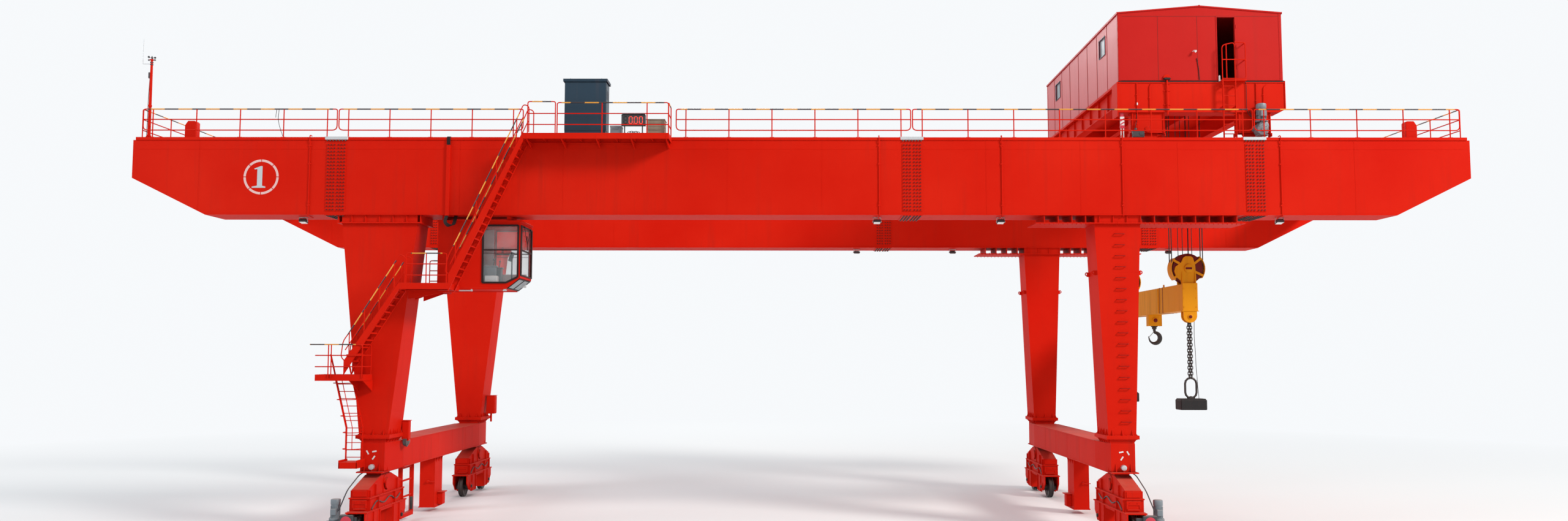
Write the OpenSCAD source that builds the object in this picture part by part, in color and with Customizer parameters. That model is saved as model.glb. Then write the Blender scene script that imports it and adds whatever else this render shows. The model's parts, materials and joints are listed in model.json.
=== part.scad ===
// Rail-mounted double-girder gantry crane with a roofed trolley house, as a half-size model.
// X runs along the girders, Y from the front girder to the rear one, Z up from the wheel flanges.

/* [Girders] */
// Length of each box girder
girder_l = 22000; // [20500:100:23500]
// Height of a girder, bottom flange to deck
girder_h = 1287; // [1100:1:1500]
// Width of a girder over its webs
girder_w = 620; // [560:1:700]
// Distance between the girders' centre lines
girder_gap = 5230; // [4900:1:5600]
// Height of the girders' underside above the wheels' base
girder_z = 5190; // [4900:1:5600]
// Rise of the bevelled underside at each girder end
end_rise = 610; // [400:1:800]
// Length of the bevelled underside at each girder end
end_slope = 1230; // [900:1:1600]
// Thickness of the deck plate on a girder
deck_t = 47; // [30:1:60]
// Thickness of a girder's bottom flange plate
flange_t = 16; // [10:1:24]
// Overhang of the flange plates past the webs
flange_lip = 14; // [8:1:24]
// Width of a bolted splice plate
splice_w = 320; // [240:1:400]
// Thickness of a bolted splice plate
splice_t = 8; // [5:1:12]
// Width of an end platform between the girders
end_deck_w = 640; // [500:1:800]
// Width of an end tie beam
tie_w = 360; // [240:1:460]
// Height of an end tie beam
tie_h = 520; // [360:1:700]

/* [Legs] */
// Middle of the wide left legs
left_leg_x = -6910; // [-7300:1:-6600]
// Middle of the slim right legs
right_leg_x = 5200; // [4900:1:5500]
// Width of a left leg at its top
left_leg_top = 1240; // [1000:1:1400]
// Width of a left leg at its foot
left_leg_foot = 470; // [420:1:600]
// Width of a right leg at its top
right_leg_top = 750; // [600:1:900]
// Width of a right leg at its foot
right_leg_foot = 450; // [400:1:560]
// Depth of a leg at its top
leg_top_d = 520; // [440:1:580]
// Depth of a leg at its foot
leg_foot_d = 620; // [540:1:680]
// Height of the saddle between a leg and its girder
saddle_h = 136; // [100:1:180]
// Length of the saddle on a left leg
left_saddle_l = 1380; // [1300:1:1500]
// Length of the saddle on a right leg
right_saddle_l = 3440; // [3000:1:3800]
// Thickness of a bolted foot flange
foot_flange_t = 30; // [20:1:50]
// Overhang of a bolted foot flange
foot_flange_lip = 40; // [20:1:70]
// Height of the ribbed stub under a foot flange
stub_h = 100; // [60:1:160]

/* [Sill beams and bogies] */
// Height of a sill beam
sill_h = 450; // [380:1:520]
// Width of a sill beam at its middle
sill_w = 500; // [440:1:560]
// Width of a sill beam at its ends
sill_end_w = 390; // [340:1:430]
// Length of a sill beam's narrow end
sill_end_l = 700; // [500:1:900]
// Height of the sill beams' underside
sill_z = 1030; // [980:1:1150]
// Length of a sill beam past the leg's middle
sill_overhang = 325; // [280:1:420]
// Distance from a leg's middle outwards to its bogie
bogie_shift = 60; // [0:1:120]
// Length of a bogie frame
bogie_l = 1760; // [1600:1:1900]
// Width of a bogie over its side plates
bogie_w = 300; // [260:1:340]
// Thickness of a bogie side plate
bogie_plate = 20; // [14:1:28]
// Height of the bogie frame's top flange
bogie_flange_z = 455; // [440:1:500]
// Thickness of the bogie's flanges
bogie_flange_t = 20; // [14:1:28]
// Height of the shoulder of the bogie housing
bogie_shoulder_z = 790; // [720:1:840]
// Height of the top of the bogie housing
bogie_top_z = 965; // [900:1:975]
// Radius of a travel wheel's tread
wheel_r = 200; // [180:1:215]
// Height of a travel wheel's flange
wheel_flange = 12; // [8:1:18]
// Width of a travel wheel's tread
wheel_tread_w = 56; // [46:1:66]
// Width of a travel wheel's flange
wheel_flange_w = 14; // [10:1:18]
// Radius of a travel wheel's hub
wheel_hub_r = 62; // [50:1:80]
// Half the wheelbase of a bogie
wheel_dy = 655; // [620:1:700]
// Radius of the bogie's pin boss
boss_r = 92; // [70:1:110]

/* [Anchor columns] */
// Width of an anchor column
column_w = 280; // [220:1:340]
// Depth of an anchor column
column_d = 430; // [360:1:540]
// Clearance under an anchor column
column_z = 80; // [60:1:140]
// Offset of the left anchor column from the sill beam's middle
left_column_y = -20; // [-300:1:60]
// Offset of the right anchor column from the sill beam's middle
right_column_y = -225; // [-300:1:60]

/* [Rails and railings] */
// Distance between the trolley rails
rail_gap = 4730; // [4600:1:4800]
// Height of a trolley rail
rail_h = 65; // [50:1:80]
// Width of a trolley rail
rail_w = 36; // [30:1:46]
// Distance from the middle to a trolley end stop
stop_x = 10345; // [10000:1:10500]
// Height of a trolley end stop above the deck
stop_h = 385; // [320:1:440]
// Thickness of a trolley end stop
stop_l = 190; // [140:1:240]
// Height of a railing above its deck
railing_h = 481; // [440:1:560]
// Height of the middle rail
railing_mid = 303; // [260:1:340]
// Height of the low rail
railing_low = 124; // [100:1:160]
// Thickness of a rail or post
tube = 18; // [14:1:24]
// Distance between railing posts
post_step = 751; // [650:1:850]

/* [Access] */
// Width of the stairs
stair_w = 350; // [300:1:400]
// Gap between the stairs and the girder's web
stair_gap = 72; // [50:1:120]
// Thickness of a stair stringer
stringer_t = 14; // [10:1:20]
// Height of a stair stringer's face
stringer_h = 110; // [80:1:140]
// Height of the lower platform
lower_deck_z = 2587; // [2450:1:2700]
// Left end of the lower platform
lower_deck_x0 = -7704; // [-7900:1:-7600]
// Right end of the lower platform
lower_deck_x1 = -6935; // [-6990:1:-6850]
// Height of the cab landing
landing_z = 4044; // [3950:1:4150]
// Depth of the platform frames
platform_t = 100; // [80:1:120]
// Left end of the cab landing
landing_x0 = -6409; // [-6500:1:-6400]
// Right end of the cab landing
landing_x1 = -5624; // [-5700:1:-5560]
// Left end of the service platform
service_x0 = -4470; // [-4600:1:-4300]
// Right end of the service platform
service_x1 = -2120; // [-2300:1:-2000]

/* [Cab] */
// Inner side of the cab, towards the middle of the crane
cab_y1 = -1960; // [-2000:1:-1940]
// Width of the cab across the crane
cab_w = 775; // [740:1:800]
// Length of the cab along the girder
cab_l = 1370; // [1300:1:1420]
// Front of the cab, towards the middle of the span
cab_x1 = -4627; // [-4700:1:-4560]
// Height of the cab's underside
cab_z = 3992; // [3950:1:4040]
// Height of the cab
cab_h = 1132; // [1080:1:1150]
// Thickness of the cab's walls
cab_t = 25; // [18:1:35]

/* [Trolley] */
// Middle of the trolley at rest
trolley_x = 6788; // [6600:1:6900]
// Length of the trolley along the girders
trolley_l = 2825; // [2700:1:2900]
// Width of the trolley house across the crane
house_w = 4940; // [4900:1:5000]
// Length of the trolley house along the girders
house_l = 2776; // [2650:1:2800]
// Height of the trolley frame's underside
frame_z = 7000; // [6960:1:7060]
// Height of the trolley end carriages
carriage_h = 520; // [460:1:540]
// Width of an end carriage
carriage_w = 265; // [230:1:300]
// Thickness of the trolley's floor plate
floor_t = 20; // [12:1:30]
// Height of the trolley's cross beams
cross_h = 250; // [200:1:300]
// Width of the trolley's cross beams
cross_w = 180; // [140:1:220]
// Height of the house walls
wall_h = 1165; // [1100:1:1250]
// Thickness of the house walls
wall_t = 40; // [30:1:60]
// Rise of the house roof to its ridge
roof_rise = 116; // [80:1:160]
// Thickness of the house roof
roof_t = 22; // [16:1:30]
// Left edge of the doorway from the trolley's middle
door_x = 295; // [250:1:340]
// Width of the doorway
door_w = 300; // [250:1:320]
// Height of the doorway
door_h = 1075; // [1000:1:1080]
// Sill height of the doorway over the house floor
door_sill = 22; // [20:1:50]
// Width of a house window
window_w = 350; // [300:1:420]
// Height of a house window
window_h = 325; // [280:1:380]
// Distance of the windows from the trolley's middle line
window_y = 1560; // [1400:1:1700]
// Height of the window sills over the house floor
window_z = 670; // [600:1:740]
// Radius of a trolley wheel
trolley_wheel_r = 175; // [160:1:190]
// Half the trolley's wheelbase
trolley_wheel_dx = 900; // [860:1:940]
// Width of a wheel housing under the end carriages
housing_l = 548; // [480:1:600]

/* [Lifting gear] */
// Offset of the hoist from the trolley's middle
hoist_dx = -38; // [-60:1:0]
// Distance of each sheave block's middle from the lifting beam's end
block_inset = 140; // [120:1:240]
// Radius of a sheave
sheave_r = 262; // [240:1:280]
// Thickness of a sheave
sheave_t = 44; // [36:1:50]
// Distance between a block's two sheaves
sheave_gap = 110; // [96:1:120]
// Height of the sheaves' axle at rest
sheave_z = 4412; // [4400:1:4440]
// Height of the lifting beam's underside at rest
beam_z = 3675; // [3600:1:3700]
// Height of the lifting beam
beam_h = 465; // [440:1:480]
// Width of the lifting beam
beam_w = 250; // [220:1:280]
// Length of the lifting beam
beam_l = 3680; // [3600:1:3760]
// Radius of a hoist rope
rope_r = 8; // [6:1:11]
// Radius of the hoist drum
drum_r = 262; // [240:1:280]
// Height of the drum's axle over the house floor
drum_z = 420; // [380:1:460]
// Radius of the chain link bars
link_r = 14; // [10:1:18]

/* [Fit] */
// Clearance of a part that moves beside another
run_gap = 6; // [5:1:12]
// Gap at a seat, a bearing or a rail
seat_gap = 0.3; // [0.2:0.1:0.6]

/* [Hidden] */
$fn = 48;

crane_red = "#d8281c";
hook_yellow = "#e39a12";
steel_grey = "#6f757c";

girder_y = girder_gap / 2;
web_y = girder_y - girder_w / 2;
web_face_y = girder_y + girder_w / 2;
deck_z = girder_z + girder_h;
half_l = girder_l / 2;
leg_top_z = girder_z - saddle_h;
sill_top_z = sill_z + sill_h;
stub_top_z = sill_top_z + stub_h;
leg_foot_z = stub_top_z + foot_flange_t;
bogie_y = girder_y + bogie_shift;
axle_z = wheel_r + wheel_flange;
splice_xs = [-7640, 1835, 7470];
splice_margin = 60;
left_flood_dx = -1380;
right_flood_dx = 2780;
flood_xs = [left_leg_x + left_flood_dx, 1280, 3340, right_leg_x + right_flood_dx];

stair_y1 = -web_face_y - stair_gap;
stair_y0 = stair_y1 - stair_w;

rail_y = rail_gap / 2;
rail_top_z = deck_z + rail_h;
house_z = frame_z + carriage_h + floor_t;
eaves_z = house_z + wall_h;
hoist_x = trolley_x + hoist_dx;
block_y = beam_l / 2 - block_inset;
house_x0 = trolley_x - house_l / 2;
house_x1 = trolley_x + house_l / 2;
house_y = house_w / 2;
rope_dx = sheave_r + rope_r + seat_gap;
drum_axis_z = house_z + drum_z;

// Box between two corners
module block(lo, hi) {
    translate(lo) cube([hi[0] - lo[0], hi[1] - lo[1], hi[2] - lo[2]]);
}

// Outline in the XZ plane given thickness along Y, centred on y
module slab_y(points, y, t) {
    translate([0, y + t / 2, 0]) rotate([90, 0, 0]) linear_extrude(t) polygon(points);
}

// Outline in the YZ plane given thickness along X, centred on x
module slab_x(points, x, t) {
    translate([x - t / 2, 0, 0]) rotate([90, 0, 90]) linear_extrude(t) polygon(points);
}

// Cylinder along X, centred
module rod_x(at, r, l) {
    translate(at) rotate([0, 90, 0]) cylinder(r = r, h = l, center = true);
}

// Cylinder along Y, centred
module rod_y(at, r, l) {
    translate(at) rotate([90, 0, 0]) cylinder(r = r, h = l, center = true);
}

// Square bar between two points of one plane y = constant
module bar_xz(a, b, y, t) {
    dx = b[0] - a[0];
    dz = b[1] - a[1];
    l = norm([dx, dz]);
    translate([a[0], y, a[1]]) rotate([0, -atan2(dz, dx), 0])
        translate([0, -t / 2, -t / 2]) cube([l, t, t]);
}

// Box girder with bevelled ends, flange plates and bolted splice plates
module girder(side) {
    y = side * girder_y;
    color(crane_red) {
        slab_y([
            [-half_l, girder_z + end_rise], [-half_l + end_slope, girder_z],
            [half_l - end_slope, girder_z], [half_l, girder_z + end_rise],
            [half_l, deck_z - deck_t], [-half_l, deck_z - deck_t]
        ], y, girder_w);
        block([-half_l + deck_t, y - girder_w / 2 - flange_lip, deck_z - deck_t],
            [half_l - deck_t, y + girder_w / 2 + flange_lip, deck_z]);
        block([-half_l + end_slope, y - girder_w / 2 - flange_lip, girder_z],
            [half_l - end_slope, y + girder_w / 2 + flange_lip, girder_z + flange_t]);
        for (x = splice_xs)
            block([x - splice_w / 2, y - girder_w / 2 - splice_t, girder_z + splice_margin],
                [x + splice_w / 2, y + girder_w / 2 + splice_t, deck_z - deck_t - splice_margin]);
    }
}

module front_girder() { girder(-1); }
module rear_girder() { girder(1); }

// Straight railing along X at one y, with posts at the given places
module railing_x(x0, x1, y, z, posts) {
    for (h = [railing_low, railing_mid, railing_h])
        block([x0, y - tube / 2, z + h - tube], [x1, y + tube / 2, z + h]);
    for (x = posts)
        block([x - tube / 2, y - tube / 2, z], [x + tube / 2, y + tube / 2, z + railing_h]);
}

// Straight railing along Y at one x, with posts at the given places
module railing_y(y0, y1, x, z, posts) {
    for (h = [railing_low, railing_mid, railing_h])
        block([x - tube / 2, y0, z + h - tube], [x + tube / 2, y1, z + h]);
    for (y = posts)
        block([x - tube / 2, y - tube / 2, z], [x + tube / 2, y + tube / 2, z + railing_h]);
}

end_rail_x = half_l - 120;
side_rail_y = web_face_y - 25;
end_posts = 7;

// Deck and tie beam between the girder ends, with the railing across the crane's end
module end_platform(side) {
    inner = web_y - flange_lip;
    x_out = side * (half_l - deck_t);
    x_in = side * (half_l - deck_t - end_deck_w);
    tie_x = side * (half_l - deck_t - end_deck_w / 2);
    color(crane_red) {
        block([min(x_out, x_in), -inner, deck_z - deck_t], [max(x_out, x_in), inner, deck_z]);
        block([tie_x - tie_w / 2, -inner, deck_z - deck_t - tie_h],
            [tie_x + tie_w / 2, inner, deck_z - deck_t]);
        block([tie_x - tie_w / 2, -web_y, deck_z - deck_t - tie_h],
            [tie_x + tie_w / 2, web_y, deck_z - deck_t - 1]);
        railing_y(-side_rail_y - tube / 2, side_rail_y + tube / 2, side * end_rail_x, deck_z,
            [for (i = [0 : end_posts]) -side_rail_y + i * 2 * side_rail_y / end_posts]);
    }
}

module left_end_platform() { end_platform(-1); }
module right_end_platform() { end_platform(1); }

side_rail_x1 = end_rail_x - 2 * tube;
post_count = floor(side_rail_x1 / post_step);
side_posts = [for (i = [-post_count : post_count]) i * post_step];
service_margin = tube;

module front_railing() {
    color(crane_red) {
        railing_x(-side_rail_x1, service_x0 - service_margin, -side_rail_y, deck_z,
            [for (x = side_posts) if (x < service_x0 - 2 * tube) x]);
        railing_x(service_x1 + service_margin, side_rail_x1, -side_rail_y, deck_z,
            [for (x = side_posts) if (x > service_x1 + 2 * tube) x]);
    }
}

module rear_railing() {
    color(crane_red) railing_x(-side_rail_x1, side_rail_x1, side_rail_y, deck_z, side_posts);
}

// Tapered box leg with its foot flange and ribs
module leg(side_x, side_y) {
    left = side_x < 0;
    x = left ? left_leg_x : right_leg_x;
    y = side_y * girder_y;
    top = left ? left_leg_top : right_leg_top;
    foot = left ? left_leg_foot : right_leg_foot;
    color(crane_red) {
        intersection() {
            slab_y([[x - foot / 2, leg_foot_z], [x + foot / 2, leg_foot_z],
                [x + top / 2, leg_top_z], [x - top / 2, leg_top_z]], y, 2 * leg_foot_d);
            slab_x([[y - leg_foot_d / 2, leg_foot_z], [y + leg_foot_d / 2, leg_foot_z],
                [y + leg_top_d / 2, leg_top_z], [y - leg_top_d / 2, leg_top_z]], x, 2 * left_leg_top);
        }
        block([x - foot / 2 - foot_flange_lip, y - leg_foot_d / 2 - foot_flange_lip, stub_top_z],
            [x + foot / 2 + foot_flange_lip, y + leg_foot_d / 2 + foot_flange_lip, leg_foot_z]);
        foot_ribs(x, y, foot);
    }
}

right_saddle_shift = 375;
saddle_plate = 18;
saddle_inset = 30;
rib_t = 12;
rib_inset = 8;
saddle_rib_step = 225;
function saddle_rib_xs(l) =
    let (n = floor((l / 2 - rib_t) / saddle_rib_step))
    [for (i = [-n : n]) i * saddle_rib_step];

// Ribbed saddles between the legs and the girders, long on the right legs
module leg_saddles() {
    color(crane_red)
    for (side_x = [-1, 1], side_y = [-1, 1]) {
        left = side_x < 0;
        x = left ? left_leg_x : right_leg_x;
        y = side_y * girder_y;
        top = left ? left_leg_top : right_leg_top;
        length = left ? left_saddle_l : right_saddle_l;
        mid = x + (left ? 0 : right_saddle_shift);
        block([mid - length / 2, y - girder_w / 2, leg_top_z],
            [mid + length / 2, y + girder_w / 2, leg_top_z + saddle_plate]);
        block([x - top / 2, y - girder_w / 2 + saddle_inset, leg_top_z + saddle_plate],
            [x + top / 2, y + girder_w / 2 - saddle_inset, girder_z]);
        for (dx = saddle_rib_xs(length))
            block([mid + dx - rib_t / 2, y - girder_w / 2 + rib_inset, leg_top_z + saddle_plate],
                [mid + dx + rib_t / 2, y + girder_w / 2 - rib_inset, girder_z]);
    }
}

foot_rib_h = 90;

// Pointed ribs round the foot of a leg, above the flange
module foot_ribs(x, y, foot) {
    for (s = [-1, 1], k = [-1 : 1]) {
        slab_y([[x + s * (foot / 2 - 5), leg_foot_z], [x + s * (foot / 2 + foot_flange_lip - 4), leg_foot_z],
            [x + s * (foot / 2 + 4), leg_foot_z + foot_rib_h]], y + k * leg_foot_d * 0.36, rib_t);
        slab_x([[y + s * (leg_foot_d / 2 - 5), leg_foot_z],
            [y + s * (leg_foot_d / 2 + foot_flange_lip - 4), leg_foot_z],
            [y + s * (leg_foot_d / 2 + 2), leg_foot_z + foot_rib_h]], x + k * foot * 0.36, rib_t);
    }
}

module left_front_leg() { leg(-1, -1); }
module left_rear_leg() { leg(-1, 1); }
module right_front_leg() { leg(1, -1); }
module right_rear_leg() { leg(1, 1); }

sill_plate = 20;
pedestal_w = 240;
pedestal_l = 380;

// Sill beam joining a pair of legs, with stubs under the legs and pedestals over the bogies
module sill_beam(x, foot) {
    end_y = girder_y + sill_overhang;
    color(crane_red) {
        translate([x, 0, sill_z]) linear_extrude(sill_h) polygon([
            [-sill_end_w / 2, -end_y], [sill_end_w / 2, -end_y],
            [sill_w / 2, -end_y + sill_end_l], [sill_w / 2, end_y - sill_end_l],
            [sill_end_w / 2, end_y], [-sill_end_w / 2, end_y],
            [-sill_w / 2, end_y - sill_end_l], [-sill_w / 2, -end_y + sill_end_l]
        ]);
        for (s = [-1, 1]) {
            stub_y = s * girder_y;
            block([x - sill_end_w / 2, stub_y - leg_foot_d / 2, sill_top_z],
                [x + sill_end_w / 2, stub_y + leg_foot_d / 2, stub_top_z - foot_flange_t]);
            block([x - foot / 2 - foot_flange_lip, stub_y - leg_foot_d / 2 - foot_flange_lip,
                stub_top_z - foot_flange_t],
                [x + foot / 2 + foot_flange_lip, stub_y + leg_foot_d / 2 + foot_flange_lip, stub_top_z]);
            block([x - sill_end_w / 2 - sill_plate, s * bogie_y - pedestal_l, sill_z - sill_plate],
                [x + sill_end_w / 2 + sill_plate, s * bogie_y + pedestal_l * 0.72, sill_z]);
            block([x - pedestal_w / 2, s * bogie_y - pedestal_l / 2, bogie_top_z],
                [x + pedestal_w / 2, s * bogie_y + pedestal_l / 2, sill_z - sill_plate]);
        }
    }
}

module left_sill_beam() { sill_beam(left_leg_x, left_leg_foot); }
module right_sill_beam() { sill_beam(right_leg_x, right_leg_foot); }

bogie_base_z = 100;
column_in = 280;
column_out = 590;
housing_half = 740;
housing_flange_z = 645;
housing_top_half = 210;
bearing_half = 70;
bogie_shaft_r = 34;

// Bogie: housing with hipped shoulders, flanges, and side plates that carry the two axles
module bogie(x, y) {
    inner_w = bogie_w - 2 * bogie_plate;
    color(crane_red) difference() {
        union() {
            slab_x([
                [y - housing_half, bogie_flange_z], [y + housing_half, bogie_flange_z],
                [y + housing_half, bogie_shoulder_z], [y + housing_top_half, bogie_top_z],
                [y - housing_top_half, bogie_top_z], [y - housing_half, bogie_shoulder_z]
            ], x, bogie_w - 2 * bogie_plate);
            block([x - bogie_w / 2 - bogie_plate, y - housing_half - bogie_plate, housing_flange_z],
                [x + bogie_w / 2 + bogie_plate, y + housing_half + bogie_plate,
                    housing_flange_z + bogie_flange_t]);
            block([x - bogie_w / 2 - bogie_plate, y - bogie_l / 2, bogie_flange_z - bogie_flange_t],
                [x + bogie_w / 2 + bogie_plate, y + bogie_l / 2, bogie_flange_z]);
            for (s = [-1, 1]) {
                slab_x([
                    [y - bogie_l / 2, bogie_flange_z - bogie_flange_t],
                    [y - bogie_l / 2, axle_z + bearing_half], [y - wheel_dy - bearing_half, axle_z - bearing_half],
                    [y - column_out, axle_z - bearing_half], [y - column_out, bogie_base_z],
                    [y - column_in, bogie_base_z],
                    [y - column_in, bogie_flange_z - 3 * bogie_flange_t],
                    [y + column_in, bogie_flange_z - 3 * bogie_flange_t],
                    [y + column_in, bogie_base_z], [y + column_out, bogie_base_z],
                    [y + column_out, axle_z - bearing_half], [y + wheel_dy + bearing_half, axle_z - bearing_half],
                    [y + bogie_l / 2, axle_z + bearing_half],
                    [y + bogie_l / 2, bogie_flange_z - bogie_flange_t]
                ], x + s * (bogie_w / 2 - bogie_plate / 2), bogie_plate);
                rod_x([x + s * (bogie_w / 2), y, bogie_shoulder_z + 20], boss_r, 2 * bogie_plate);
            }
            for (s = [-1, 1])
                block([x - inner_w / 2, y + s * (column_in + 10) - 10, bogie_base_z],
                    [x + inner_w / 2, y + s * (column_in + 10) + 10, bogie_flange_z - bogie_flange_t]);
        }
        for (s = [-1, 1])
            rod_x([x, y + s * wheel_dy, axle_z], bogie_shaft_r + seat_gap / 4, 2 * bogie_w);
    }
}

module left_front_bogie() { bogie(left_leg_x, -bogie_y); }
module left_rear_bogie() { bogie(left_leg_x, bogie_y); }
module right_front_bogie() { bogie(right_leg_x, -bogie_y); }
module right_rear_bogie() { bogie(right_leg_x, bogie_y); }

// Flanged travel wheel with its axle, on an axis along X
module travel_wheel(x, y) {
    outer_w = wheel_tread_w + 2 * wheel_flange_w;
    color(steel_grey) {
        rod_x([x, y, axle_z], wheel_r, outer_w);
        for (s = [-1, 1])
            rod_x([x + s * (wheel_tread_w + wheel_flange_w) / 2, y, axle_z], wheel_r + wheel_flange,
                wheel_flange_w);
        rod_x([x, y, axle_z], wheel_hub_r, bogie_w - 2 * bogie_plate - 2 * run_gap);
        rod_x([x, y, axle_z], bogie_shaft_r, bogie_w + 2 * bogie_plate);
    }
}

module wheel_left_front_1() { travel_wheel(left_leg_x, -bogie_y - wheel_dy); }
module wheel_left_front_2() { travel_wheel(left_leg_x, -bogie_y + wheel_dy); }
module wheel_left_rear_1() { travel_wheel(left_leg_x, bogie_y - wheel_dy); }
module wheel_left_rear_2() { travel_wheel(left_leg_x, bogie_y + wheel_dy); }
module wheel_right_front_1() { travel_wheel(right_leg_x, -bogie_y - wheel_dy); }
module wheel_right_front_2() { travel_wheel(right_leg_x, -bogie_y + wheel_dy); }
module wheel_right_rear_1() { travel_wheel(right_leg_x, bogie_y - wheel_dy); }
module wheel_right_rear_2() { travel_wheel(right_leg_x, bogie_y + wheel_dy); }

drive_box = 190;
drive_reach = 238;
drive_case = 340;
drive_motor_r = 68;
drive_motor_h = 330;
drive_gap = 2;

// Upright geared motor on the outer side of each bogie, at its outer wheel
module travel_drives() {
    color(steel_grey)
    for (sx = [-1, 1], sy = [-1, 1]) {
        x = sx < 0 ? left_leg_x : right_leg_x;
        face = x + sx * (bogie_w / 2 + bogie_plate + drive_gap);
        y = sy * (bogie_y + wheel_dy);
        block([min(face, face + sx * drive_case), y - drive_box / 2, axle_z - drive_box / 2],
            [max(face, face + sx * drive_case), y + drive_box / 2, axle_z + drive_box / 2]);
        block([min(x + sx * bogie_w / 2, face), y - drive_box / 2, axle_z + 60],
            [max(x + sx * bogie_w / 2, face), y + drive_box / 2, axle_z + drive_box / 2]);
        translate([face + sx * drive_reach, y, axle_z + drive_box / 2])
            cylinder(r = drive_motor_r, h = drive_motor_h);
    }
}

column_cap = 30;

// Box columns hung from the middle of each sill beam
module anchor_columns() {
    color(crane_red)
    for (at = [[left_leg_x, left_column_y], [right_leg_x, right_column_y]]) {
        block([at[0] - column_w / 2, at[1] - column_d / 2, column_z],
            [at[0] + column_w / 2, at[1] + column_d / 2, sill_z - column_cap]);
        block([at[0] - column_w / 2 - column_cap, at[1] - column_d / 2 - column_cap, sill_z - column_cap],
            [at[0] + column_w / 2 + column_cap, at[1] + column_d / 2 + column_cap, sill_z]);
    }
}

guide_post = 70;
guide_ys = [-1640, -1080];

// Frame of two posts and a foot bar beside the left anchor column
module cable_guide_frame() {
    color(crane_red) {
        for (y = guide_ys)
            block([left_leg_x - guide_post / 2, y - guide_post / 4, column_z],
                [left_leg_x + guide_post / 2, y + guide_post / 4, sill_z]);
        block([left_leg_x - guide_post / 2, guide_ys[0], column_z],
            [left_leg_x + guide_post / 2, guide_ys[1], column_z + guide_post]);
    }
}

cab_x0 = cab_x1 - cab_l;
cab_y0 = cab_y1 - cab_w;
cab_top_z = cab_z + cab_h;
cab_floor_t = 60;
cab_roof_t = 70;
cab_cut_x = 230;
cab_cut_z = 180;
cab_window_x0 = cab_x1 - 623;
cab_frame = 40;
cab_win_z0 = cab_z + 100;
cab_win_z1 = cab_top_z - 85;
cab_door_w = 360;
cab_hanger = 60;

// Outline of the cab from the side, with the raked glass under its front
function cab_side(m) = [
    [cab_x0 + m, cab_z + (m > 0 ? cab_floor_t : 0)],
    [cab_x1 - cab_cut_x, cab_z + (m > 0 ? cab_floor_t : 0)],
    [cab_x1 - m, cab_z + cab_cut_z + (m > 0 ? cab_floor_t / 3 : 0)],
    [cab_x1 - m, cab_top_z - (m > 0 ? cab_roof_t : 0)],
    [cab_x0 + m, cab_top_z - (m > 0 ? cab_roof_t : 0)]
];

cab_pane_side = [
    [cab_window_x0, cab_win_z0], [cab_x1 - cab_cut_x, cab_win_z0],
    [cab_x1 - cab_frame, cab_z + cab_cut_z + 14], [cab_x1 - cab_frame, cab_win_z1],
    [cab_window_x0, cab_win_z1]
];

// Glazed operator's cab hung under the girder
module cab_shell() {
    color(crane_red) difference() {
        union() {
            slab_y(cab_side(0), (cab_y0 + cab_y1) / 2, cab_w);
            for (x = [cab_x0 + cab_hanger, cab_x1 - 4 * cab_hanger])
                block([x, cab_y0 + cab_t, cab_top_z], [x + cab_hanger, -web_y, girder_z]);
        }
        slab_y(cab_side(cab_t), (cab_y0 + cab_y1) / 2, cab_w - 2 * cab_t);
        slab_y(cab_pane_side, (cab_y0 + cab_y1) / 2, 2 * cab_w);
        block([cab_x1 - 2 * cab_t, cab_y0 + cab_frame, cab_z + cab_cut_z + 40],
            [cab_x1 + cab_t, cab_y1 - cab_frame, cab_win_z1]);
        block([cab_x0 - cab_t, cab_y1 - cab_frame - cab_door_w, cab_z + cab_floor_t],
            [cab_x0 + 2 * cab_t, cab_y1 - cab_frame, cab_top_z - 2 * cab_roof_t]);
    }
}

glass_t = 8;

// Glass of the cab: both sides and the front
module cab_glass() {
    color("#a9c9cf") {
        for (y = [cab_y0 + cab_t / 2, cab_y1 - cab_t / 2])
            slab_y(cab_pane_side, y, glass_t);
        block([cab_x1 - cab_t / 2 - glass_t / 2, cab_y0 + cab_frame, cab_z + cab_cut_z + 40],
            [cab_x1 - cab_t / 2 + glass_t / 2, cab_y1 - cab_frame, cab_win_z1]);
    }
}

seat_w = 250;

// Operator's seat and control desk on the cab floor
module cab_seat() {
    x = cab_x1 - 640;
    y = (cab_y0 + cab_y1) / 2;
    z = cab_z + cab_floor_t;
    color("#30343a") {
        block([x - 60, y - 60, z], [x + 60, y + 60, z + 170]);
        block([x - seat_w / 2, y - seat_w / 2, z + 170], [x + seat_w / 2, y + seat_w / 2, z + 230]);
        block([x - seat_w / 2, y - seat_w / 2, z + 230], [x - seat_w / 2 + 50, y + seat_w / 2, z + 560]);
        for (s = [-1, 1])
            block([x - 60, y + s * (seat_w / 2 + 60) - 50, z], [x + 190, y + s * (seat_w / 2 + 60) + 50, z + 330]);
    }
}

platform_bar = 60;
toe_h = 50;

// Platform at the cab's door, in front of the girder and back between leg and cab
module cab_landing() {
    z = landing_z;
    leg_side = left_leg_x + left_leg_foot / 2
        + (left_leg_top - left_leg_foot) / 2 * (z - leg_foot_z) / (leg_top_z - leg_foot_z) + 2 * run_gap;
    color(crane_red) {
        block([landing_x0, stair_y0, z - platform_t], [landing_x1, stair_y1, z]);
        block([max(leg_side, landing_x0), stair_y1, z - platform_t], [cab_x0, cab_y1, z]);
        block([cab_x0, stair_y1, z - platform_t], [landing_x1, cab_y0, z]);
        railing_x(landing_x0, landing_x1 - stair_w / 2, stair_y0 + tube / 2, z,
            [landing_x0 + tube / 2, (landing_x0 + landing_x1) / 2 - tube]);
        railing_x(max(leg_side, landing_x0), cab_x0, cab_y1 - tube / 2, z,
            [max(leg_side, landing_x0) + tube / 2, cab_x0 - tube / 2]);
    }
}

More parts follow.
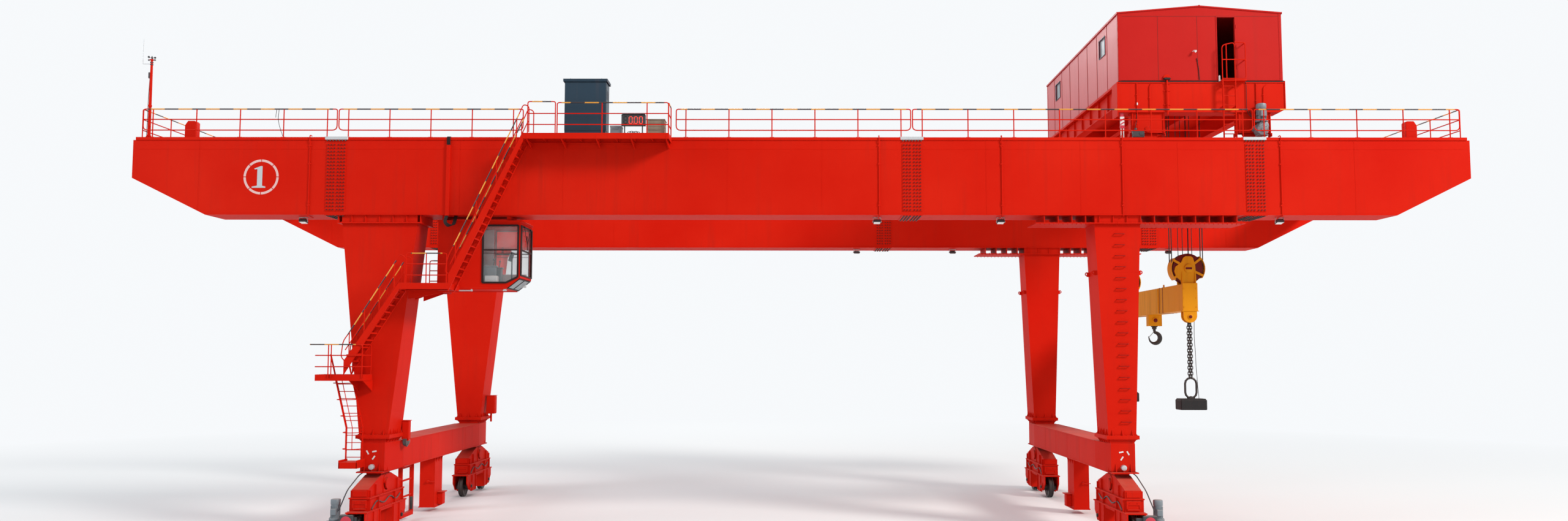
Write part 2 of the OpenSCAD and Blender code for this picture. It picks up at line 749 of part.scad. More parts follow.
// Flight of stairs between two points: stringers, treads and handrails
module flight(a, b, steps) {
    dx = b[0] - a[0];
    dz = b[1] - a[1];
    angle = atan2(dz, dx);
    drop = stringer_h / cos(angle);
    for (y = [stair_y0 + stringer_t / 2, stair_y1 - stringer_t / 2])
        slab_y([[a[0], a[1] - drop / 2], [b[0], b[1] - drop / 2], [b[0], b[1]], [a[0], a[1] + drop / 2]],
            y, stringer_t);
    for (y = [stair_y0 + tube / 2, stair_y1 - tube / 2]) {
        for (h = [handrail_mid, handrail_h]) {
            slab_y([[a[0], a[1] + h], [b[0], b[1] + h], [b[0], b[1] + h + tube / cos(angle)],
                [a[0], a[1] + h + tube / cos(angle)]], y, tube);
        }
        for (k = [1 : 3 : 10])
            block([a[0] + dx * k / 11 - tube / 2, y - tube / 2, a[1] + dz * k / 11],
                [a[0] + dx * k / 11 + tube / 2, y + tube / 2, a[1] + dz * k / 11 + handrail_h + tube]);
    }
    for (i = [1 : steps]) {
        x = a[0] + dx * i / (steps + 1);
        z = a[1] + dz * i / (steps + 1);
        block([x - tread_d / 2, stair_y0 + stringer_t, z - tread_t], [x + tread_d / 2, stair_y1 - stringer_t, z]);
    }
}

handrail_h = 440;
handrail_mid = 250;
tread_d = 100;
tread_t = 14;
lower_steps = 11;
upper_steps = 19;
lower_flight_dx = 450;
lower_flight_x0 = lower_deck_x0 + lower_flight_dx;

module lower_flight() {
    color(crane_red)
        flight([lower_flight_x0, lower_deck_z + stringer_h], [landing_x0, landing_z], lower_steps);
}

module upper_flight() {
    color(crane_red)
        flight([landing_x1, landing_z], [service_x0, deck_z], upper_steps);
}

// Small platform at the foot of the lower flight
module lower_platform() {
    z = lower_deck_z;
    leg_y = -girder_y - leg_foot_d / 2;
    color(crane_red) {
        block([lower_deck_x0, stair_y0, z - platform_t], [lower_deck_x1, stair_y1 + 20, z]);
        for (x = [lower_deck_x1 - 4 * platform_bar, lower_deck_x1 - bracket_t])
            slab_x([[stair_y0 + 30, z - platform_t], [leg_y - 1, z - platform_t],
                [leg_y - 1, z - platform_t - bracket_drop]], x + bracket_t / 2, bracket_t);
        for (x = [lower_rail_x0 + tube / 2, lower_deck_x1 - tube])
            block([x - tube / 2, stair_y0 - tube, z - platform_t / 2], [x + tube / 2, stair_y0, z + railing_h]);
        for (h = [railing_low, railing_mid, railing_h])
            block([lower_rail_x0, stair_y0 - tube, z + h - tube], [lower_deck_x1 - tube / 2, stair_y0, z + h]);
    }
}

lower_rail_dx = 205;
lower_rail_x0 = lower_deck_x0 + lower_rail_dx;

ladder_w = 262;
ladder_x_top = -7363;
ladder_x_foot = -7178;
ladder_foot_z = 1200;
ladder_knee_z = 1740;
ladder_rungs = 11;
ladder_box_h = 100;
hoop_count = 5;
hoop_r = 190;

// Upright of the caged ladder: plumb over the foot box, then leaning out to the platform
module ladder_upright(dx, y, z0, z1, half) {
    slab_y([[ladder_x_foot + dx - half, z0], [ladder_x_foot + dx + half, z0],
        [ladder_x_foot + dx + half, ladder_knee_z], [ladder_x_top + dx + half, z1],
        [ladder_x_top + dx - half, z1], [ladder_x_foot + dx - half, ladder_knee_z]], y, tube);
}

// Ladder with safety hoops from the lower platform down to a foot box on the sill beam
module caged_ladder() {
    top_z = lower_deck_z - platform_t;
    y = stair_y1 - 20;
    cage_y = y - hoop_r * 1.2;
    cage_w = ladder_w / 2 + tube;
    function ladder_x(z) = z < ladder_knee_z ? ladder_x_foot
        : ladder_x_foot + (ladder_x_top - ladder_x_foot) * (z - ladder_knee_z) / (top_z - ladder_knee_z);
    color(crane_red) {
        for (s = [-1, 1]) {
            ladder_upright(s * ladder_w / 2, y, ladder_foot_z, top_z, tube * 0.8);
            ladder_upright(s * ladder_w / 5, cage_y, ladder_foot_z + 200, top_z, tube / 2);
        }
        for (i = [0.5 : ladder_rungs]) {
            z = ladder_foot_z + (top_z - ladder_foot_z) * i / ladder_rungs;
            block([ladder_x(z) - ladder_w / 2, y - tube / 2, z - tube / 2],
                [ladder_x(z) + ladder_w / 2, y + tube / 2, z + tube / 2]);
        }
        for (i = [0 : hoop_count - 1]) {
            z = ladder_foot_z + 200 + (top_z - ladder_foot_z - 240) * i / (hoop_count - 1);
            translate([ladder_x(z), 0, z - tube]) linear_extrude(tube) polygon([
                [-cage_w, y + tube / 2], [-cage_w, y - hoop_r * 0.7], [-ladder_w / 4, cage_y - tube / 2],
                [ladder_w / 4, cage_y - tube / 2], [cage_w, y - hoop_r * 0.7], [cage_w, y + tube / 2],
                [ladder_w / 2, y + tube / 2], [ladder_w / 2, y - hoop_r * 0.65],
                [ladder_w / 5, cage_y + tube / 2], [-ladder_w / 5, cage_y + tube / 2],
                [-ladder_w / 2, y - hoop_r * 0.65], [-ladder_w / 2, y + tube / 2]
            ]);
        }
        block([ladder_x_foot - ladder_w * 0.57, y - hoop_r * 1.3, ladder_foot_z - ladder_box_h],
            [ladder_x_foot + ladder_w * 0.57, -girder_y - sill_overhang, ladder_foot_z]);
    }
}

service_y0 = stair_y0;
service_fascia = 93;
bracket_drop = 180;
bracket_t = 20;
bracket_xs = [0.02, 0.26, 0.5, 0.74, 0.98];
service_post_ks = [0.2336, 0.5396, 0.848];

// Platform on brackets outside the front girder, at the head of the stairs
module service_platform() {
    z = deck_z - 13;
    web = -web_face_y - flange_lip;
    color(crane_red) {
        block([service_x0, service_y0, z - service_fascia], [service_x1, web, z]);
        for (k = bracket_xs) {
            x = service_x0 + k * (service_x1 - service_x0);
            slab_x([[service_y0 + 30, z - service_fascia], [-web_face_y, z - service_fascia],
                [-web_face_y, z - bracket_drop]], x, bracket_t);
        }
        railing_x(service_x0 + stair_w, service_x1, service_y0 + tube / 2, z,
            [for (k = service_post_ks) service_x0 + k * (service_x1 - service_x0)]);
        railing_y(service_y0, web, service_x1 - tube / 2, z, [service_y0 + tube / 2, web - tube / 2]);
    }
}

cabinet_x0 = -3842;
cabinet_w = 670;
cabinet_d = 300;
cabinet_h = 900;
cabinet_roof = 25;

// Electrical cabinet with an overhanging roof, on the service platform
module electrical_cabinet() {
    z = deck_z - 13;
    y1 = -web_face_y + 60;
    color("#1f3440") {
        block([cabinet_x0, y1 - cabinet_d, z + 13], [cabinet_x0 + cabinet_w, y1, z + cabinet_h]);
        block([cabinet_x0, y1 - cabinet_d, z], [cabinet_x0 + cabinet_w, -web_face_y - flange_lip, z + 13]);
        block([cabinet_x0 - cabinet_roof, y1 - cabinet_d - cabinet_roof, z + cabinet_h],
            [cabinet_x0 + cabinet_w + cabinet_roof, y1 + cabinet_roof, z + cabinet_h + cabinet_roof]);
    }
}

display_x0 = -2889;
display_w = 387;
display_h = 180;
display_z = 120;
display_t = 60;

// Load display on the service platform's railing, with the two small boxes by it
module load_display() {
    z = deck_z - 13;
    y = service_y0 + tube + 1;
    color("#22252a") {
        block([display_x0, y, z + display_z], [display_x0 + display_w, y + display_t, z + display_z + display_h]);
        for (x = [display_x0 + 40, display_x0 + display_w - 60])
            block([x, y + 10, z], [x + tube, y + 10 + tube, z + display_z]);
    }
    color("#b9a48a")
        block([display_x0 + display_w + 10, y + 60, z], [display_x0 + display_w + 300, y + 300, z + 235]);
    color("#9aa3ac")
        block([display_x0 - 190, y + 60, z], [display_x0 - 10, y + 220, z + 130]);
}

stop_w = 130;
stop_flag = 60;
stop_base = 240;

// Trolley rails with their end stops
module trolley_rails() {
    rail_half = stop_x - stop_l / 2 - seat_gap;
    color(steel_grey)
    for (s = [-1, 1]) {
        block([-rail_half, s * rail_y - rail_w / 2, deck_z], [rail_half, s * rail_y + rail_w / 2, rail_top_z]);
        block([-rail_half, s * rail_y - rail_w, deck_z], [rail_half, s * rail_y + rail_w, deck_z + rail_foot_t]);
        for (e = [-1, 1])
            block([e * stop_x - stop_l / 2, s * rail_y - stop_w / 2, deck_z],
                [e * stop_x + stop_l / 2, s * rail_y + stop_w / 2, deck_z + stop_h]);
    }
}

rail_foot_t = 10;
mast_inset = 165;
mast_x = -half_l + mast_inset;
mast_y = -2780;
mast_top_z = 7820;
mast_r = 22;
rod_r = 7;
rod_dx = -150;
rod_z0 = 7700;
rod_z1 = 8165;
cup_arm = 78;
cup_r = 28;
cup_count = 3;
spindle_r = 10;

// Mast at the left end, with the lightning rod on its side arm
module mast() {
    color(crane_red) {
        translate([mast_x, mast_y, deck_z]) cylinder(r = mast_r, h = mast_top_z - deck_z);
        translate([mast_x, mast_y, mast_top_z]) cylinder(r = spindle_r, h = 2 * cup_r);
        rod_x([mast_x + rod_dx / 2, mast_y, rod_z0 + 6 * rod_r], rod_r * 0.7, abs(rod_dx));
        translate([mast_x + rod_dx, mast_y, rod_z0]) cylinder(r = rod_r, h = rod_z1 - rod_z0);
    }
}

// Cup wheel of the anemometer, turning on the mast's spindle
module anemometer_cups() {
    z = mast_top_z + cup_r + seat_gap;
    color(steel_grey) translate([mast_x, mast_y, z]) difference() {
        union() {
            cylinder(r = 2 * spindle_r, h = 2 * cup_r, center = true);
            for (i = [0 : cup_count - 1]) rotate([0, 0, i * 360 / cup_count]) {
                rod_x([cup_arm / 2, 0, 0], rod_r, cup_arm);
                translate([cup_arm, 0, 0]) difference() {
                    sphere(r = cup_r);
                    sphere(r = cup_r - rod_r / 2);
                    translate([-2 * cup_r, -4 * cup_r, -2 * cup_r]) cube([4 * cup_r, 4 * cup_r, 4 * cup_r]);
                }
            }
        }
        cylinder(r = spindle_r + seat_gap / 5, h = 4 * cup_r, center = true);
    }
}

flood_w = 130;
flood_h = 70;
flood_arm = 26;

// Floodlights on short arms under both girders
module floodlights() {
    color("#c9cdd0")
    for (x = flood_xs, s = [-1, 1]) {
        block([x - flood_w / 2, s * girder_y - flood_w / 2, girder_z - flood_arm - flood_h],
            [x + flood_w / 2, s * girder_y + flood_w / 2, girder_z - flood_arm]);
        block([x - tube, s * girder_y - tube, girder_z - flood_arm],
            [x + tube, s * girder_y + tube, girder_z]);
    }
}

carriage_y1 = house_y;
carriage_cut_x = 105;
carriage_cut_z = 55;
housing_w = 120;
trolley_tread_w = 50;
trolley_flange = 14;
trolley_flange_w = 10;

// End carriage of the trolley: deep beam, wheel housings and two flanged wheels
module end_carriage(s) {
    x0 = trolley_x - trolley_l / 2;
    x1 = trolley_x + trolley_l / 2;
    y = s * (carriage_y1 - carriage_w / 2);
    wheel_z = rail_top_z + trolley_wheel_r + seat_gap;
    color(crane_red) {
        slab_y([
            [x0, frame_z], [x1 - carriage_cut_x, frame_z], [x1, frame_z + carriage_cut_z],
            [x1, frame_z + carriage_h], [x0, frame_z + carriage_h]
        ], y, carriage_w);
        for (e = [-1, 1], f = [-1, 1])
            block([trolley_x + e * trolley_wheel_dx - housing_l / 2,
                s * rail_y + f * (housing_w / 2 + 10) - 10, wheel_z - 60],
                [trolley_x + e * trolley_wheel_dx + housing_l / 2,
                s * rail_y + f * (housing_w / 2 + 10) + 10, frame_z]);
    }
    color(steel_grey)
    for (e = [-1, 1]) {
        at = [trolley_x + e * trolley_wheel_dx, s * rail_y, wheel_z];
        rod_y(at, trolley_wheel_r, trolley_tread_w + 2 * trolley_flange_w);
        for (f = [-1, 1])
            rod_y(at + [0, f * (trolley_tread_w + trolley_flange_w) / 2, 0],
                trolley_wheel_r + trolley_flange, trolley_flange_w);
        rod_y(at, 40, housing_w + 10);
    }
}

module front_end_carriage() { end_carriage(-1); }
module rear_end_carriage() { end_carriage(1); }

slot_l = 2 * rope_dx + 160;
slot_w = sheave_gap + 180;

// House floor on its cross beams, with slots for the ropes
module trolley_floor() {
    z1 = house_z;
    z0 = house_z - floor_t;
    y_in = carriage_y1 - carriage_w;
    color(crane_red) difference() {
        union() {
            block([house_x0, -house_y, z0], [house_x1, house_y, z1]);
            for (x = [house_x0 + 60, house_x1 - 60 - cross_w])
                block([x, -y_in, z0 - cross_h], [x + cross_w, y_in, z0]);
            for (y = [-block_y, block_y])
                for (f = [-1, 1])
                    block([house_x0 + 60 + cross_w, y + f * (slot_w / 2 + 45) - 30, z0 - cross_h / 2],
                        [house_x1 - 60 - cross_w, y + f * (slot_w / 2 + 45) + 30, z0]);
        }
        for (y = [-block_y, block_y])
            block([hoist_x - slot_l / 2, y - slot_w / 2, z0 - cross_h],
                [hoist_x + slot_l / 2, y + slot_w / 2, z1 + floor_t]);
    }
}

function gable(m) = [
    [house_x0, house_z], [house_x1, house_z], [house_x1, eaves_z - m],
    [trolley_x, eaves_z + roof_rise - m], [house_x0, eaves_z - m]
];

// Front wall of the trolley house, with its open doorway
module house_front_wall() {
    color(crane_red) difference() {
        slab_y(gable(0), -house_y + wall_t / 2, wall_t);
        block([trolley_x + door_x, -house_y - wall_t, house_z + door_sill],
            [trolley_x + door_x + door_w, -house_y + 2 * wall_t, house_z + door_sill + door_h]);
    }
}

module house_rear_wall() {
    color(crane_red) slab_y(gable(0), house_y - wall_t / 2, wall_t);
}

module side_wall(x) {
    color(crane_red) difference() {
        block([x - wall_t / 2, -house_y + wall_t, house_z], [x + wall_t / 2, house_y - wall_t, eaves_z]);
        for (y = [-window_y, window_y])
            block([x - wall_t, y - window_w / 2, house_z + window_z],
                [x + wall_t, y + window_w / 2, house_z + window_z + window_h]);
    }
}

module house_left_wall() { side_wall(house_x0 + wall_t / 2); }
module house_right_wall() { side_wall(house_x1 - wall_t / 2); }

roof_lip = 12;

// Low gable roof of the trolley house
module house_roof() {
    rise = roof_rise * (house_l / 2 + roof_lip) / (house_l / 2);
    color(crane_red) slab_y([
        [house_x0 - roof_lip, eaves_z + roof_rise - rise], [trolley_x, eaves_z + roof_rise],
        [house_x1 + roof_lip, eaves_z + roof_rise - rise],
        [house_x1 + roof_lip, eaves_z + roof_rise - rise + roof_t], [trolley_x, eaves_z + roof_rise + roof_t],
        [house_x0 - roof_lip, eaves_z + roof_rise - rise + roof_t]
    ], 0, house_w + 2 * roof_lip);
}

// Fixed panes in the side walls
module house_windows() {
    color("#a9c9cf")
    for (x = [house_x0 + wall_t / 2, house_x1 - wall_t / 2], y = [-window_y, window_y])
        block([x - glass_t / 2, y - window_w / 2, house_z + window_z],
            [x + glass_t / 2, y + window_w / 2, house_z + window_z + window_h]);
}

trolley_ladder_x0 = trolley_x + 335;
trolley_ladder_w = 212;
trolley_ladder_y = -house_y - 90;
trolley_rung_step = 140;
guard_dx = 738;
guard_x1 = trolley_x + guard_dx;

// Ladder from the deck to the doorway, with its hand loops and standoffs
module trolley_ladder() {
    y = trolley_ladder_y;
    foot_z = deck_z + 40;
    top_z = house_z + 650;
    color(crane_red) {
        for (x = [trolley_ladder_x0, trolley_ladder_x0 + trolley_ladder_w]) {
            block([x - tube / 2, y - tube / 2, foot_z], [x + tube / 2, y + tube / 2, top_z]);
            for (z = [frame_z + 80, frame_z + carriage_h - 80])
                block([x - tube / 2, y + tube / 2, z], [x + tube / 2, -house_y, z + tube]);
        }
        for (z = [foot_z + 60 : trolley_rung_step : house_z])
            block([trolley_ladder_x0, y - tube / 2, z], [trolley_ladder_x0 + trolley_ladder_w, y + tube / 2, z + tube]);
        block([trolley_ladder_x0 + trolley_ladder_w + tube / 2, y - tube, house_z - 20],
            [guard_x1, -house_y, house_z]);
        for (z = [house_z + 330, house_z + 632])
            block([trolley_ladder_x0 + trolley_ladder_w, y - tube / 2, z], [guard_x1, y + tube / 2, z + tube]);
        block([guard_x1 - tube, y - tube / 2, house_z], [guard_x1, y + tube / 2, house_z + 650]);
        for (z = [house_z + 330, house_z + 632])
            block([guard_x1 - tube, y + tube / 2, z], [guard_x1, -house_y, z + tube]);
    }
}

travel_motor_dx = 65;
travel_motor_x = trolley_x + trolley_wheel_dx + travel_motor_dx;
travel_motor_y = -house_y - 95;
travel_motor_r = 82;
motor_box_dx = -280;
motor_box_x = trolley_x - trolley_wheel_dx + motor_box_dx;
motor_box_w = 190;
motor_box_h = 120;
motor_box_out = 60;
travel_motor_h = 370;
travel_gear_l = 200;
travel_gear_w = 180;
travel_gear_h = 180;
travel_gear_rise = 40;
travel_shaft_w = 120;
travel_shaft_h = 90;

// Upright geared motor at the right front wheel, and the small motor box at the left one
module trolley_drives() {
    wheel_z = rail_top_z + trolley_wheel_r + seat_gap;
    y_face = -rail_y - housing_w / 2 - 20;
    gear_z1 = wheel_z + travel_gear_rise;
    box_z1 = gear_z1 - travel_shaft_h + travel_gear_rise / 2;
    color(steel_grey) {
        for (s = [-1, 1]) mirror([0, s > 0 ? 1 : 0, 0]) {
            translate([travel_motor_x, travel_motor_y, gear_z1]) cylinder(r = travel_motor_r, h = travel_motor_h);
            block([travel_motor_x - travel_gear_l / 2, travel_motor_y - travel_gear_w / 2, gear_z1 - travel_gear_h],
                [travel_motor_x + travel_gear_l / 2, travel_motor_y + travel_gear_w / 2, gear_z1]);
            block([travel_motor_x - travel_shaft_w / 2, travel_motor_y + travel_gear_w / 2, gear_z1 - travel_shaft_h],
                [travel_motor_x + travel_shaft_w / 2, y_face, gear_z1]);
            block([motor_box_x, -house_y - motor_box_out, box_z1 - motor_box_h],
                [motor_box_x + motor_box_w, y_face, box_z1]);
        }
    }
}

bearing_t = 60;
drum_half = block_y + slot_w / 2 + 40;

// Long hoist drum on three pedestals, with its gearbox and motor
module hoist_drum() {
    gear_x = hoist_x + drum_r + gear_gap;
    color(steel_grey) {
        rod_y([hoist_x, 0, drum_axis_z], drum_r, 2 * drum_half);
        for (y = [-drum_half - bearing_t, drum_half])
            block([hoist_x - drum_r * 0.46, y, house_z],
                [hoist_x + drum_r * 0.46, y + bearing_t, drum_axis_z + drum_r * 0.46]);
        block([gear_x, -gear_w / 2, house_z], [gear_x + gear_l, gear_w / 2, drum_axis_z]);
        rod_y([gear_x + gear_l / 2, gear_w / 2 + hoist_motor_l / 2, house_z + hoist_motor_r * 1.92],
            hoist_motor_r, hoist_motor_l);
        block([gear_x + gear_l / 2 - hoist_motor_r * 0.77, gear_w / 2 + 40, house_z],
            [gear_x + gear_l / 2 + hoist_motor_r * 0.77, gear_w / 2 + hoist_motor_l - 40,
                house_z + hoist_motor_r]);
        block([gear_x - gear_gap, -gear_w / 4, house_z], [gear_x, gear_w / 4, house_z + drum_r * 0.6]);
    }
}

gear_gap = 98;
gear_w = 520;
gear_l = 440;
hoist_motor_l = 600;
hoist_motor_r = 130;

// Two falls of rope on each side of each block, from sheave to drum
module hoist_ropes() {
    color("#3c3a38")
    for (sy = [-1, 1], sx = [-1, 1], k = [-1, 1])
        translate([hoist_x + sx * rope_dx, sy * block_y + k * sheave_gap / 2, sheave_z])
            cylinder(r = rope_r, h = drum_axis_z - sheave_z, $fn = 16);
}

cheek_t = 18;
cheek_r = 250;
axle_r = 45;

// Sheave blocks: cheeks, sheaves and axle, standing on the ends of the lifting beam
module sheave_blocks() {
    beam_top = beam_z + beam_h;
    pack_w = sheave_gap + sheave_t;
    for (s = [-1, 1]) {
        y = s * block_y;
        color(hook_yellow) for (f = [-1, 1])
            slab_y([[hoist_x - beam_w / 2, beam_top], [hoist_x + beam_w / 2, beam_top],
                [hoist_x + cheek_r, sheave_z - 60], [hoist_x + cheek_r * 0.9, sheave_z + 120],
                [hoist_x + cheek_r * 0.45, sheave_z + cheek_r], [hoist_x - cheek_r * 0.45, sheave_z + cheek_r],
                [hoist_x - cheek_r * 0.9, sheave_z + 120], [hoist_x - cheek_r, sheave_z - 60]],
                y + f * (pack_w / 2 + cheek_t), cheek_t);
        color(hook_yellow) rod_y([hoist_x, y, sheave_z], axle_r, pack_w + 2 * cheek_t);
        color(crane_red) for (k = [-1, 1])
            rod_y([hoist_x, y + k * sheave_gap / 2, sheave_z], sheave_r, sheave_t);
    }
}

beam_rib_t = 16;
lug_w = 230;
lug_drop = 210;
lug_t = 30;
lug_gap = 70;
pin_r = 26;

// Box lifting beam with end hangers and the middle lugs
module lifting_beam() {
    color(hook_yellow) difference() {
        union() {
            block([hoist_x - beam_w / 2, -beam_l / 2, beam_z], [hoist_x + beam_w / 2, beam_l / 2, beam_z + beam_h]);
            for (y = [-beam_l / 6, beam_l / 6])
                block([hoist_x - beam_w / 2 - beam_rib_t, y - beam_rib_t, beam_z],
                    [hoist_x + beam_w / 2 + beam_rib_t, y + beam_rib_t, beam_z + beam_h]);
            for (s = [-1, 1]) {
                slab_x([[s * lug_gap / 2, beam_z], [s * (lug_gap / 2 + lug_t), beam_z],
                    [s * (lug_gap / 2 + lug_t), beam_z - lug_drop], [s * lug_gap / 2, beam_z - lug_drop]],
                    hoist_x, lug_w);
                block([hoist_x - beam_w / 2, s * (beam_l / 2 - 60) - 40, beam_z - lug_drop],
                    [hoist_x + beam_w / 2, s * (beam_l / 2 - 60) + 40, beam_z]);
            }
        }
        rod_y([hoist_x, 0, beam_z - lug_drop / 2], pin_r + seat_gap / 4, 4 * lug_gap);
        for (s = [-1, 1])
            rod_y([hoist_x, s * (beam_l / 2 - 60), beam_z - lug_drop + 60], pin_r, 200);
    }
}

hook_body = 130;
hook_r = 95;
hook_bar = 34;

// Load hook on its cross pin between the middle lugs
module load_hook() {
    z = beam_z - lug_drop / 2;
    hook_z = z - hook_body - 200;
    t = lug_gap - 4 * run_gap / 3;
    color("#2a2a2c") {
        difference() {
            union() {
                block([hoist_x - 60, -t / 2, z - hook_body], [hoist_x + 60, t / 2, z + 60]);
                block([hoist_x - 30, -t / 2, z - hook_body - 80], [hoist_x + 30, t / 2, z - hook_body]);
                difference() {
                    rod_y([hoist_x, 0, hook_z], hook_r + hook_bar, t);
                    rod_y([hoist_x, 0, hook_z], hook_r - hook_bar / 2, 2 * t);
                    block([hoist_x - 2 * hook_r, -t, hook_z + 10], [hoist_x - 30, t, hook_z + 2 * hook_r]);
                }
            }
        }
        rod_y([hoist_x, 0, z], pin_r, lug_gap + 2 * lug_t + 20);
    }
}

chain_links = 9;
chain_bottom_z = 2430;
weight_w = 510;
weight_d = 280;
weight_h = 205;
weight_z = 1972;
master_w = 90;

// One chain link as a flat oval ring, standing in the XZ or the YZ plane
module chain_link(l, w, turn) {
    rotate([0, 0, turn]) rotate([90, 0, 0]) linear_extrude(2 * link_r, center = true) difference() {
        union() {
            square([w, l - w], center = true);
            for (s = [-1, 1]) translate([0, s * (l - w) / 2]) circle(r = w / 2);
        }
        union() {
            square([w - 4 * link_r, l - w], center = true);
            for (s = [-1, 1]) translate([0, s * (l - w) / 2]) circle(r = w / 2 - 2 * link_r);
        }
    }
}

// Chains on the beam's end hangers, each with a long link and a flat weight
module end_chains() {
    top_z = beam_z - lug_drop;
    for (s = [-1, 1]) translate([hoist_x, s * (beam_l / 2 - 60), 0]) {
        color("#2a2a2c") {
            translate([0, 0, (top_z + chain_bottom_z) / 2])
                cube([70, 30, top_z - chain_bottom_z], center = true);
            translate([0, 0, chain_bottom_z - 130]) chain_link(260, master_w + 60, 0);
            block([-20, -14, weight_z + weight_h], [20, 14, chain_bottom_z - 232]);
        }
        color("#1d1d1f")
            block([-weight_w / 2, -weight_d / 2, weight_z], [weight_w / 2, weight_d / 2, weight_z + weight_h]);
    }
}

front_girder();
rear_girder();
left_end_platform();
right_end_platform();
left_front_leg();
left_rear_leg();
right_front_leg();
right_rear_leg();
leg_saddles();
left_sill_beam();
right_sill_beam();
left_front_bogie();
left_rear_bogie();
right_front_bogie();
right_rear_bogie();
travel_drives();
anchor_columns();
cable_guide_frame();
cab_shell();
cab_glass();
cab_seat();
cab_landing();
lower_flight();
upper_flight();
lower_platform();
caged_ladder();
service_platform();
electrical_cabinet();
load_display();
front_railing();
rear_railing();
trolley_rails();
mast();
floodlights();
anemometer_cups();
front_end_carriage();
rear_end_carriage();
trolley_floor();
house_front_wall();
house_rear_wall();
house_left_wall();
house_right_wall();
house_roof();
house_windows();
trolley_ladder();
trolley_drives();
hoist_drum();
hoist_ropes();
sheave_blocks();
lifting_beam();
load_hook();
end_chains();
wheel_left_front_1();
wheel_left_front_2();
wheel_left_rear_1();
wheel_left_rear_2();
wheel_right_front_1();
wheel_right_front_2();
wheel_right_rear_1();
wheel_right_rear_2();
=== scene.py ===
"""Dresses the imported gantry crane: paint, railings, bolts, cab, trolley house and lifting gear."""

import json
import math

import bmesh
import bpy
from mathutils import Matrix, Vector


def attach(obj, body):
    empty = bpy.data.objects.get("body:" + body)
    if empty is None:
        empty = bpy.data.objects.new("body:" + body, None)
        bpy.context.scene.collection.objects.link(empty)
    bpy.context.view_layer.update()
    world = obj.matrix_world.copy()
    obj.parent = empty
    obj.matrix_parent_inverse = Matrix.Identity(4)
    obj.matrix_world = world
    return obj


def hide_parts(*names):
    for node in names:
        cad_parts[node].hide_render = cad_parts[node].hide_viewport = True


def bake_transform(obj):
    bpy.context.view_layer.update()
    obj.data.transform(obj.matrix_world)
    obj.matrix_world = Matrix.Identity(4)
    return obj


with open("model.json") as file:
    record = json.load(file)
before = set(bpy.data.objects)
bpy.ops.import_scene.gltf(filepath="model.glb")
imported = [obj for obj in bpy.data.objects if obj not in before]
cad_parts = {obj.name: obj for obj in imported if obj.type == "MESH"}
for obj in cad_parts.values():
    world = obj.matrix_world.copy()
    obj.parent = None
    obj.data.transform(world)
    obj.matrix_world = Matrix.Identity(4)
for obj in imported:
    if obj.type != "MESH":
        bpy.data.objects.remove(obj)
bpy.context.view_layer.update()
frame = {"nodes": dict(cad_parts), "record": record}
scene = bpy.context.scene

# Places taken from the crane's own drawing, in metres
GIRDER_Y = 2.615
WEB_HALF = 0.31
GIRDER_Z = 5.19
DECK_Z = 6.477
DECK_PLATE = 0.047
LEFT_LEG_X = -6.91
RIGHT_LEG_X = 5.2
LEG_TOP_Z = 5.054
LEG_FOOT_Z = 1.61
LEG_TOP_DEPTH = 0.52
LEG_FOOT_DEPTH = 0.62
SILL_Z = 1.03
SILL_TOP_Z = 1.48
SILL_END_Y = 2.94
BOGIE_Y = 2.675
WHEEL_DY = 0.655
AXLE_Z = 0.212
SPLICES_X = (-7.64, 1.835, 7.47)
SPLICE_COLUMNS = (-0.133, -0.083, -0.033, 0.033, 0.083, 0.133)
FLOODS_X = (-8.29, 1.28, 3.34, 7.98)
RAILING_Y = 2.9
RAIL_HEIGHTS = (0.124, 0.303)
TOP_RAIL = 0.475
RAIL_LINE_Y = 2.365
HOIST_X = 6.75
ROPE_TOP_Z = 7.960
HOUSE_X = (5.400, 8.176)
HOUSE_Z = 7.54
HOUSE_Y = 2.47
EAVES_Z = 8.705


# Shapes


def chamfer(bm, edges, size, segments=1):
    """Takes the sharpness off edges."""
    bmesh.ops.bevel(
        bm, geom=list(edges), offset=size, segments=segments, profile=0.5,
        affect="EDGES", material=-1,
    )


def block(bm, first, second, soften=0.0, turn=None):
    """A box between two opposite corners, its edges softened by a small bevel."""
    low = Vector([min(pair) for pair in zip(first, second)])
    high = Vector([max(pair) for pair in zip(first, second)])
    place = Matrix.Translation((low + high) / 2)
    if turn is not None:
        place = place @ turn
    made = bmesh.ops.create_cube(bm, size=1.0, matrix=place @ Matrix.Diagonal((*(high - low), 1.0)))
    if soften:
        chamfer(bm, {edge for vert in made["verts"] for edge in vert.link_edges}, soften)


def rod(bm, start, end, radius, sides=12, end_radius=None, soften=0.0):
    """A round bar or cone from start to end."""
    start, end = Vector(start), Vector(end)
    along = end - start
    place = Matrix.Translation((start + end) / 2) @ along.to_track_quat("Z", "Y").to_matrix().to_4x4()
    made = bmesh.ops.create_cone(
        bm, cap_ends=True, segments=sides, radius1=radius,
        radius2=radius if end_radius is None else end_radius,
        depth=along.length, matrix=place,
    )
    if soften:
        rims = {edge for vert in made["verts"] for edge in vert.link_edges
                if abs((edge.verts[0].co - edge.verts[1].co).dot(along)) < 1e-6}
        chamfer(bm, rims, soften, 2)


def disc(bm, start, reach, radius, sides=12, soften=0.0):
    """A round bar from a place along the reach vector."""
    rod(bm, start, Vector(start) + Vector(reach), radius, sides, soften=soften)


